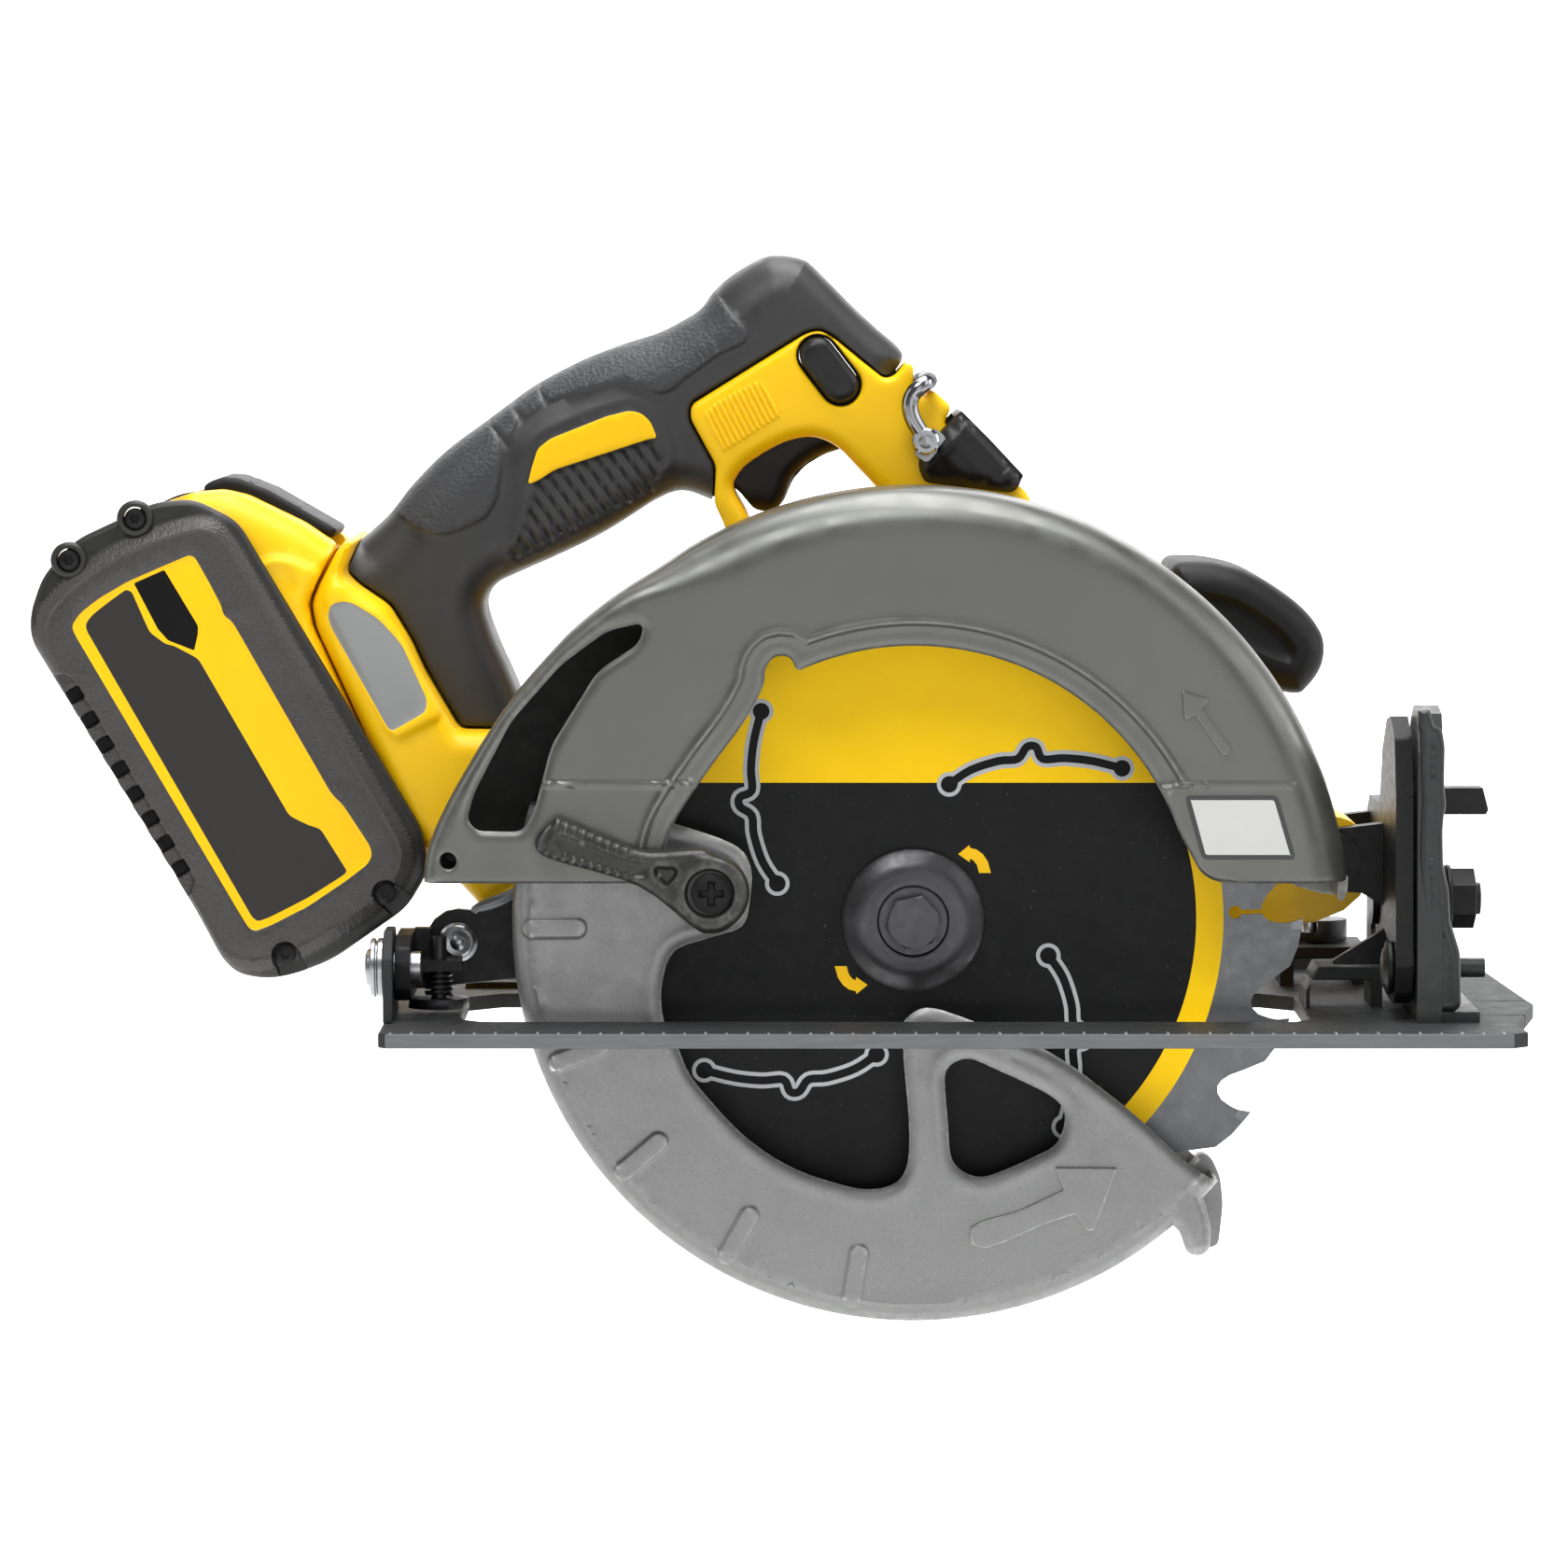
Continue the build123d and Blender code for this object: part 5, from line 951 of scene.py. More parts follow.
# ------------------------------------------------------------------ battery
cover = [(-176.1, 101.8), (-186, 100.9), (-193.3, 97.3), (-205.1, 91.8), (-213.3, 82.8), (-216.4, 73.8), (-216.4, 67.4), (-175.8, 0.3),
         (-169.6, -11.6), (-166, -15.2), (-158.7, -16.6), (-151.5, -15.2), (-142.4, -11.6), (-133.3, -5.2), (-124.2, 1.2), (-118.8, 10.3),
         (-120.2, 20.3), (-165.3, 96.3)]
pack = [(-142.9, 90.6), (-142.4, 89.3), (-147.0, 79.9), (-148.4, 75.8), (-147.2, 69.7), (-139.9, 54.0), (-124.4, 19.3), (-120.0, 13.5), (-119.8, 10.6),
        (-125.0, 2.2), (-134, -4.3), (-143, -10.6), (-152, -14.0), (-158.7, -15.2), (-165, -13.8), (-168.5, -10.8), (-175, 0.8), (-215.3, 67.6),
        (-215.3, 73.6), (-212.2, 82.2), (-204.5, 90.7), (-193, 96.4), (-186, 100.0), (-176.5, 103.0), (-170.0, 103.6), (-164.0, 102.2), (-150.0, 95.4)]
bat_field = [(-205.9, 70.7), (-203.9, 73.8), (-199.3, 77.4), (-192.5, 81.4), (-184.4, 85.0), (-177.0, 88.1), (-175.6, 87.6), (-171.9, 81.0),
             (-169.2, 75.7), (-168.7, 73.4), (-166.5, 71.8), (-142.4, 29.4), (-139.7, 26.9), (-133.1, 16.8), (-132.5, 14.5), (-133.6, 12.2),
             (-139.1, 8.0), (-148.3, 1.8), (-157.5, -2.9), (-161.3, -4.3), (-162.8, -3.7), (-164.4, -1.2), (-205.1, 68.6)]
bat_panel = [(-202.5, 71.1), (-201.1, 73.2), (-197.1, 76.4), (-192.5, 79.7), (-191.1, 79.1), (-186.8, 69.2), (-182.9, 66.3), (-180.9, 65.9),
             (-174.9, 62.7), (-152.8, 24.1), (-148.2, 21.8), (-145.2, 20.9), (-138.6, 10.3), (-140.0, 9.2), (-148.3, 3.9), (-157.5, -0.8),
             (-160.7, -2.0), (-162.1, -0.9), (-202.2, 69.5)]
bat_dark = [(-190.6, 81.2), (-183.1, 84.5), (-174.9, 70.7), (-175.0, 68.6), (-175.9, 64.7), (-182.3, 67.2), (-184.8, 70.0)]
bat_strip = [(-165.6, 72.7), (-162.6, 71.8), (-138.8, 33.1), (-139.5, 31.5), (-142.0, 30.6), (-165.8, 70.7)]
bat_rim = [(-212.9, 69.5), (-211.4, 74.3), (-206.2, 80.1), (-197.6, 86.3), (-187.8, 90.9), (-178.7, 93.8), (-174.1, 94.7), (-170.7, 93.8),
           (-167.8, 90.3), (-129.9, 25.1), (-125.5, 17.0), (-125.1, 12.4), (-127.7, 7.2), (-134.6, 1.5), (-143.8, -4.9), (-153.0, -9.7),
           (-159.3, -11.8), (-164.4, -12.0), (-168.8, -9.7), (-171.3, -5.4), (-207.7, 58.3), (-212.0, 66.3)]
vents = [(-206.6, 53.0), (-202.9, 46.9), (-199.3, 40.8), (-195.6, 34.7), (-192.0, 28.6), (-188.3, 22.5), (-184.7, 16.4), (-181.0, 10.3)]
BD = arr((-0.515, 0.857))
BE = arr((0.857, 0.515))
BS = [(-190.3, 97.0), (-206.6, 86.8), (-129.3, 4.9), (-154.1, -10.2)]


def box2(c, u, hu, hv):
    u = arr(u)
    v = arr((-u[1], u[0]))
    c = arr(c)
    return [c + u * hu + v * hv, c - u * hu + v * hv, c - u * hu - v * hv, c + u * hu - v * hv]


def battery_cover(near):
    out = rounded(cover, 3.5)
    rim, field, panel = rounded(bat_rim, 5.0), rounded(bat_field, 1.6), rounded(bat_panel, 1.2)
    dark, strip = rounded(bat_dark, 0.5), rounded(bat_strip, 1.0)
    vv = [rounded(box2(arr(c) + 0.9 * BE, BD, 1.7, 2.6), 0.5) for c in vents]
    # sunk strip along the lower edge that holds the vents, and channels from two screws to the edge
    a, z = arr(vents[0]) + 4.4 * BD, arr(vents[-1]) - 4.4 * BD
    ledge = rounded([a + 3.0 * BE, z + 3.0 * BE, z - 3.4 * BD - 1.0 * BE, z - 3.4 * BD - 6.0 * BE, a + 3.4 * BD - 6.0 * BE, a + 3.4 * BD - 1.0 * BE], 1.2)
    wells = [circle(p, 3.1) for p in BS] if near else []
    runs = []
    if near:
        for p, q in ((BS[2], (-121.0, -1.6)), (BS[3], (-150.4, -19.0))):
            u = arr(q) - arr(p)
            u = u / np.hypot(*u)
            n = arr((-u[1], u[0]))
            runs.append(rounded([arr(p) + n * 3.2, arr(p) - n * 3.2, arr(p) + u * 12 - n * 4.4, arr(p) + u * 12 + n * 4.4], 0.5))

    def f(P):
        d = dist(P, out)
        y = rnd(d, 1.8)
        # low flange at the edge, then a slope up to the raised face
        t = np.clip(1.0 + sdist(P, rim) / 3.6, 0, 1)
        t = np.where(t < 0.5, 0.5 * (2 * t) ** 1.25, 1 - 0.5 * (2 - 2 * t) ** 1.25)
        y = y + 2.3 * (1 - t)
        # fine line where the slope meets the face
        y = y + 0.3 * smooth01(1.4 - np.abs(sdist(P, rim) - 0.9) / 0.55)
        if near:
            y = y + plateau(P, strip, 0.25, 0.35)
            y = y + plateau(P, field, 0.4, 0.25)
        y = np.maximum(y, 2.3 * smooth01(sdist(P, ledge) / 1.2 + 0.5))
        for w in vv:
            y = y + plateau(P, w, 1.6, 0.3)
        for w in runs:
            y = np.maximum(y, 3.7 * smooth01(sdist(P, w) / 0.7 + 0.5))
        for w in wells:
            y = np.maximum(y, 2.9 * smooth01(sdist(P, w) / 0.6 + 0.5))
        return np.minimum(y, 4.3)

    def paint(C, side):
        m = np.zeros(len(C), int)
        if side != (0 if near else 1):
            return m
        if near:
            m[inside(C, field)] = 1
            m[inside(C, panel)] = 2
            m[inside(C, dark)] = 3
        # vent floors are painted near-black: painted shade for the dark inside of the openings
        for w in vv:
            m[inside(C, w)] = 3
        m[(sdist(C, rim) < -2.6) & (m == 0)] = 4
        return m

    b = Build()
    loops = [(rim, (-4.2, -3.2, -2.2, -1.1, 0.4, 0.9, 1.4)), (ledge, (-0.5, 0.5))] + [(w, (-0.3, 0.3)) for w in vv + wells] + [(w, (-0.4, 0.4)) for w in runs]
    if near:
        loops += [(field, (-0.25, 0.25)), (panel, ()), (dark, ()), (strip, (-0.35, 0.35))]
    kw = dict(paint=paint, grid=2.4, edge=1.0, rings=(0.12, 0.4, 0.9, 1.6), loops=loops, wall=4)
    if near:
        b.slab(out, lambda P: 15.0 + f(P), 19.6, **kw)
    else:
        b.slab(out, 94.4, lambda P: 99.0 - f(P), **kw)
    # bosses that stand out of the edge round the two upper screws
    for p in BS[:2] if near else ():
        y0, y1 = 15.0, 19.6
        prof = [(2.9, y0 + 3.2), (2.9, y0 + 0.9), (3.1, y0 + 0.6), (3.6, y0 + 0.55), (4.2, y0 + 0.9), (4.5, y0 + 1.5), (4.5, y1 - 0.3), (4.2, y1), (2.9, y1)]
        b.turn(prof, c=p, step=12, mat=4)
    o = b.make("battery_cover_near_moulded" if near else "battery_cover_far_moulded",
               [BATTERY, YELLOW_LABEL, DARK_PANEL, BLACK_PRINT_AND_SHADE, BATTERY_SOFT], sharp=48)
    return place(o, "battery", ["battery_cover_near" if near else "battery_cover_far"])


def battery_case():
    out = rounded(pack, 1.6)
    top = spline([(-176.5, 103.0), (-170.0, 103.6), (-164.0, 102.2), (-150.0, 95.4), (-142.9, 90.6)], 5, closed=False)
    wing = rounded([(-162.0, 84.6), (-158.2, 87.4), (-152.7, 87.2), (-146.5, 84.2), (-141.0, 82.6), (-140, 50), (-118, 10), (-125.0, 18.0), (-150.0, 62.0)], 2.5)
    groove = rounded([(-160.2, 83.6), (-157.6, 85.6), (-153.2, 85.2), (-151.0, 80.4), (-155.0, 76.4)], 1.6)
    back = spline([(-142.9, 90.6), (-142.4, 89.3), (-147.0, 79.9), (-148.4, 75.8), (-147.2, 69.7), (-139.9, 54.0), (-124.4, 19.3)], 4, closed=False)

    def f(P):
        y = np.maximum(np.maximum(rnd(dist(P, top, False), 9.0), rnd(dist(P, out), 1.2)), rnd(dist(P, back, False), 3.5))
        y = y + 2.2 - plateau(P, wing, 2.2, 1.6) + plateau(P, groove, 0.8, 1.2)
        return y

    b = Build()
    # pocket of the latch: the case is lower between y 39 and 75
    low = rounded([(-142.9, 88.2), (-145.0, 88.0), (-147.0, 79.9), (-148.4, 75.8), (-147.2, 69.7), (-139.9, 54.0), (-124.4, 19.3), (-120.0, 13.5), (-119.8, 10.6),
                   (-125.0, 2.2), (-134, -4.3), (-143, -10.6), (-152, -14.0), (-158.7, -15.2), (-165, -13.8), (-168.5, -10.8), (-175, 0.8), (-215.3, 67.6),
                   (-215.3, 73.6), (-212.2, 82.2), (-204.5, 90.7), (-193, 96.4), (-186, 99.6), (-178.0, 98.0), (-169.2, 96.6), (-156.8, 91.0)], 1.2)
    kw = dict(grid=2.6, edge=1.1, rings=(0.2, 0.6, 1.3, 2.3, 3.6, 5.4, 7.6), loops=[(wing, (-1.5, -0.7, 0.7, 1.5)), (groove, (-1.0, 1.0))])
    b.slab(out, lambda P: 19.7 + f(P), 39.3, **kw)
    b.slab(out, 74.7, lambda P: 94.3 - f(P), **kw)
    b.slab(low, 39.2, 74.8, grid=6.0, edge=1.6, rings=(0.5,))
    o = b.make("battery_case_moulded", [YELLOW], sharp=46)
    return place(o, "battery", ["battery_case"])


latch_out = [(-175.6, 104.2), (-174.0, 105.4), (-170.6, 106.6), (-167.0, 106.3), (-159.3, 103.3), (-142.3, 93.5), (-143.4, 91.2), (-155.2, 94.4), (-167.6, 100.2), (-175.2, 101.4)]


def battery_latch():
    out = rounded(latch_out, 1.0)
    b = Build()
    f = lambda P: rnd(dist(P, out), 1.8)
    b.slab(out, lambda P: YH - 17.2 + f(P), lambda P: YH + 17.2 - f(P), grid=1.2, edge=0.6, rings=(0.1, 0.35, 0.8, 1.4))
    # grip ridges across the button
    for k in range(5):
        c = arr((-164.0, 104.4)) + arr((0.89, -0.455)) * (3.3 * k)
        p = rounded(box2(c, (0.89, -0.455), 0.9, 0.85), 0.5)
        b.slab(p, YH - 13.5, YH + 13.5, grid=1.0, edge=0.4, rings=())
    o = b.make("battery_latch_button", [GLOSS_BLACK])
    return place(o, "battery_latch", ["battery_latch"])


def torx_screws():
    """Small star-socket screws of the battery cover."""
    b = Build()
    for p in BS:
        star = []
        for i in range(24):
            a = 2 * math.pi * i / 24
            r = 1.15 + 0.28 * math.cos(6 * a)
            star.append((p[0] + r * math.cos(a), p[1] + r * math.sin(a)))
        head = circle(p, 2.6, 30)
        f = lambda P, p=p: 15.9 + 0.5 * (np.hypot(P[:, 0] - p[0], P[:, 1] - p[1]) / 2.6) ** 3
        b.slab(head, f, 17.2, holes=(star,), grid=0.7, edge=0.4, rings=(0.2,))
        b.slab(circle(p, 1.6, 20), 17.0, 19.4, grid=1.0, edge=0.5, rings=())
    o = b.make("battery_screw_heads", [BLACK_PAINT])
    return place(o, "battery", ["battery_screws"])


battery_cover(True)
battery_cover(False)
battery_case()
battery_latch()
torx_screws()
# ------------------------------------------------------------------ upper guard
def bake(o, sharp):
    """Turns the modifiers of a piece into its mesh."""
    bpy.context.view_layer.update()
    dg = bpy.context.evaluated_depsgraph_get()
    me = bpy.data.meshes.new_from_object(o.evaluated_get(dg))
    o.modifiers.clear()
    o.data = me
    me.polygons.foreach_set("use_smooth", [True] * len(me.polygons))
    me.set_sharp_from_angle(angle=math.radians(sharp))
    return o


def sheet_object(name, parts, mats, thick, sharp):
    """Open surface from (verts, faces) parts, welded and given a wall thickness to its inside."""
    v, f, n = [], [], 0
    for V, F in parts:
        v.append(arr(V))
        f += [tuple(int(i) + n for i in q) for q in F]
        n += len(V)
    V = np.concatenate(v) * MM
    V[:, 2] += LIFT * MM
    me = bpy.data.meshes.new(name)
    me.from_pydata([tuple(p) for p in V], [], f)
    for m in mats:
        me.materials.append(m)
    bm = bmesh.new()
    bm.from_mesh(me)
    bmesh.ops.remove_doubles(bm, verts=bm.verts, dist=0.01 * MM)
    bm.to_mesh(me)
    bm.free()
    o = bpy.data.objects.new(name, me)
    bpy.context.scene.collection.objects.link(o)
    s = o.modifiers.new("wall", "SOLIDIFY")
    s.thickness = thick * MM
    s.offset = -1.0
    s.use_rim = True
    # the inner faces take the second material; for the upper guard that is the darker grey of its painted inside shade
    s.material_offset = 1 if len(mats) > 1 else 0
    return bake(o, sharp)


def near_part(outline, height, holes=(), flip=False, **kw):
    P, T = sheet(outline, holes, **kw)
    a = P[T]
    ccw = ((a[:, 1, 0] - a[:, 0, 0]) * (a[:, 2, 1] - a[:, 0, 1]) - (a[:, 1, 1] - a[:, 0, 1]) * (a[:, 2, 0] - a[:, 0, 0])) > 0
    T = np.where(ccw[:, None] != flip, T, T[:, ::-1])
    y = height(P)
    return np.stack([P[:, 0], y, P[:, 1]], 1), [tuple(t) for t in T]


def wall_part(rows):
    """Quads between rows of points that run along an outline in the turning sense of the near face."""
    n = len(rows[0])
    V = np.concatenate([arr(r) for r in rows])
    F = []
    for k in range(len(rows) - 1):
        for i in range(n - 1):
            a, b = k * n + i, k * n + i + 1
            F.append((a, a + n, b + n, b))
    return V, F


UGZ = 10.4
ug_chute = [(-62.0, 85.2), (-69.0, 80.9), (-76.3, 75.7), (-85.3, 67.9), (-98.8, 52.1), (-110.1, 34.1), (-116.6, 20.5), (-118.0, 13.5), (-118.1, UGZ)]
ug_window = [(-61.0, UGZ), (-60.6, 14.0), (-58.3, 24.0), (-50.0, 37.0), (-41.5, 48.5), (-36.6, 57.4), (-35.8, 62.0), (-33.6, 64.9), (-30.2, 64.8), (-28.4, 62.0)]
chute_hole = [(-64.9, 73.2), (-73.8, 71.3), (-85, 63.0), (-97.0, 49.4), (-106.0, 32.0), (-107.6, 25.7),
              (-105.3, 23), (-94.1, 22.8), (-91.4, 27.9), (-87.3, 43.6), (-76.1, 61.6), (-66.0, 68.3)]
ug_arrow = [(64.1, 57.0), (70.9, 54.9), (69.1, 52.6), (76.0, 43.4), (75.6, 42.0), (74.5, 41.2), (73.5, 42.0), (67.3, 51.0), (64.8, 49.8), (64.4, 53.0)]
sticker = [(64.9, 31.7), (87.3, 31.7), (91.9, 16.2), (69.2, 16.2)]


def capsule(P, a, b):
    a, b = arr(a), arr(b)
    t = np.clip(((P - a) @ (b - a)) / ((b - a) @ (b - a)), 0, 1)
    return np.linalg.norm(P - a - t[:, None] * (b - a), axis=1)


def upper_guard():
    a0 = math.degrees(math.asin(UGZ / 105.4))
    outer = np.concatenate([arr(arc(105.4, a0, 121.0, 1.0)), spline([pol(105.4, 121.0)] + ug_chute, 6, closed=False)[1:]])
    outer = walk(outer, 1.25, closed=False)
    win = np.concatenate([spline(ug_window, 5, closed=False), arr(arc(67.6, 114.0, 20.0, 1.0)),
                          spline([(63.52, 23.12), (66.4, 17.6), (69.0, 13.2), (72.4, 11.0), (76.0, UGZ)], 5, closed=False)[1:]])
    win = walk(win, 1.0, closed=False)
    outline = np.concatenate([outer, win])
    holes = (rounded(chute_hole, 3.0), circle((-112.2, 15.8), 2.1, 24))
    arrow = rounded(ug_arrow, 0.5)

    def height(P):
        x, z = P[:, 0], P[:, 1]
        ang = np.degrees(np.arctan2(z, x))
        t = smooth01((ang - 116.0) / 18.0)
        R = 11.0 * (1 - t) + 3.4 * t
        d = dist(P, outer, False)
        y = -19.0 + rnd(d, R)
        dw = dist(P, win, False)
        # the raised line along the window ends at the ledge in front
        k = 1 - smooth01((x - 50.0) / 4.0) * smooth01((34.6 - z) / 1.6)
        y = y + k * (0.9 * smooth01((5.0 - dw) / 1.2 + 0.5) - 0.45 * smooth01(1.5 - np.abs(dw - 6.0) / 0.75)) + 0.85 * np.clip(1 - dw / 1.4, 0, 1) ** 2
        y = y + 0.6 * np.clip(1 - (z - UGZ) / 1.2, 0, 1) ** 2
        for h, s in ((holes[0], 2.0), (holes[1], 0.7)):
            y = y + 0.95 * (s / 2.0) * np.clip(1 - dist(P, h) / s, 0, 1) ** 2
        y = y - 0.55 * smooth01(1.4 - capsule(P, (-88.6, 34.2), (-54.5, 34.2)) / 0.75)
        y = y - 0.55 * smooth01(1.4 - capsule(P, (62.8, 34.0), (91.0, 34.0)) / 0.75)
        return y

    lines = [(rounded([(-89.6, 33.0), (-54.0, 33.0), (-54.0, 35.4), (-89.6, 35.4)], 0.3), (-0.3, 0.5)),
             (rounded([(62.0, 32.8), (91.8, 32.8), (91.8, 35.2), (62.0, 35.2)], 0.3), (-0.3, 0.5))]
    kw = dict(grid=2.2, edge=1.3, rings=(0.25, 0.6, 1.1, 1.9, 3.0, 4.3, 4.8, 5.3, 5.8, 6.3, 6.9, 7.6, 9.0, 10.6), loops=lines)
    near = near_part(outline, height, holes, **kw)
    n = len(outer)
    nrm = normals2(outline)[:n]
    nrm[0], nrm[-1] = nrm[1], nrm[-2]
    nrm[0] = (-1.0, 0.0)
    nrm[-1] = (1.0, 0.0)
    y0 = height(outer)
    row = lambda inset, y: np.stack([outer[:, 0] + nrm[:, 0] * inset, np.full(n, y) if np.isscalar(y) else y, outer[:, 1] + nrm[:, 1] * inset], 1)
    rows = [row(0, y0), row(0, y0 + (12.6 - y0) * 0.34), row(0, y0 + (12.6 - y0) * 0.67), row(0, 12.6), row(0.2, 13.2), row(0.7, 13.8), row(1.4, 14.0)]
    wall = wall_part(rows)
    back = np.stack([rows[-1][:, 0], rows[-1][:, 2]], 1)
    hub = arc(20.15, 148.8, 31.2, 4.0)
    far_out = np.concatenate([back, arr(hub)])
    far = near_part(far_out, lambda P: np.full(len(P), 14.0), (circle((-17.0, 36.0), 2.2, 16), circle((17.0, 36.0), 2.2, 16)), flip=True,
                    grid=6.0, edge=1.3, rings=(0.8,))
    o = sheet_object("upper_guard_casting", [near, wall, far], [GUARD, GUARD_INSIDE_SHADE], 2.3, 40)
    place(o, "saw_body", ["upper_guard"])
    # boss of the adapter screw inside the chute
    b = Build()
    b.turn([(2.1, -16.9), (3.9, -16.9), (3.9, 5.6), (3.6, 6.0), (2.1, 6.0)], c=(-112.2, 15.8), step=15)
    o2 = b.make("dust_adapter_boss", [GUARD])
    place(o2, "saw_body", [])
    # raised arrow
    b = Build()
    b.slab(arrow, lambda P: -19.75 + rnd(dist(P, arrow), 0.4), -18.7, grid=1.0, edge=0.5, rings=(0.1, 0.3, 0.5))
    place(b.make("upper_guard_arrow", [GUARD]), "saw_body", [])
    # blank label with a dark border
    out, inn = rounded(sticker, 1.6), rounded(grow(rounded(sticker, 1.6), -1.15), 0.4)
    b = Build()
    b.slab(out, -19.16, -18.9, paint=lambda C, s: np.where(inside(C, inn), 0, 1), grid=3.0, edge=0.8, rings=(0.3,), loops=[(inn, ())])
    place(b.make("guard_label_blank", [STICKER, STICKER_LINE]), "saw_body", [])


# ------------------------------------------------------------------ lower guard
lg_inner = [(72.0, -62.0), (65.4, -57.4), (57.0, -49.5), (50.4, -43.8), (41.8, -37.1), (37.1, -33.8), (30.5, -30.0), (16.0, -24.3), (9.8, -22.0), (5.1, -20.6), (1.4, -20.8),
            (-2.2, -23.6), (-2.6, -27.0), (-2.4, -32.9), (-1.8, -39.4), (-1.1, -48.0), (-1.1, -55.6), (-1.9, -59.9), (-4.2, -63.0), (-8.5, -64.5), (-13.7, -64.4),
            (-19.3, -63.0), (-26.8, -60.5), (-34.4, -56.5), (-41.9, -50.8), (-49.4, -42.8), (-54.2, -36.6), (-57.2, -29.8), (-60.5, -23.3), (-60.9, -15.0),
            (-58.0, -6.8), (-49.4, -3.4), (-41.6, -0.6), (-39.6, 6.0), (-39.5, 14.0), (-44.0, 19.5), (-60.0, 25.0)]
lg_tri = [(7.6, -38.4), (8.4, -35.1), (10.8, -33.3), (14.0, -32.9), (18.3, -34.6), (26.8, -38.5), (32.5, -41.4), (35.8, -44.2), (36.7, -47.1),
          (36.0, -50.8), (33.9, -54.2), (27.8, -57.4), (22.2, -59.9), (17.4, -61.5), (13.6, -61.1), (10.4, -58.9), (8.9, -55.6), (8.4, -49.0)]
lg_arrow = [(13.7, -76.5), (13.7, -73.8), (16.1, -72.5), (25.9, -69.6), (36.3, -64.6), (34.2, -59.1), (49.5, -59.2), (46.7, -67.0), (43.9, -74.5),
            (42.0, -74.7), (39.2, -70.6), (31.5, -73.1), (22.2, -77.4), (17.0, -79.1), (14.1, -77.9)]
lg_lip = [(66.0, -62.0), (70.6, -57.4), (73.3, -59.0), (75.4, -63.6), (76.1, -70.4), (75.0, -80.7), (70.5, -81.3), (66.0, -79.5), (65.5, -76.1), (63.0, -73.6), (60.8, -72.6), (62.0, -66.0)]

lg_hook = [(64.0, -60.5), (67.4, -61.6), (69.6, -65.2), (71.1, -68.8), (72.4, -74.5), (72.2, -79.4), (70.6, -81.0), (68.6, -81.3), (66.4, -80.4), (65.6, -77.7),
           (64.6, -74.9), (61.8, -73.0), (61.0, -69.0), (62.0, -64.0)]
lg_mid = [(63.4, -72.9), (66.0, -70.6), (69.2, -67.6), (70.8, -68.6), (72.0, -74.5), (71.8, -79.2), (70.4, -80.6), (68.6, -80.9), (66.6, -80.0), (65.8, -77.6), (64.8, -75.0)]


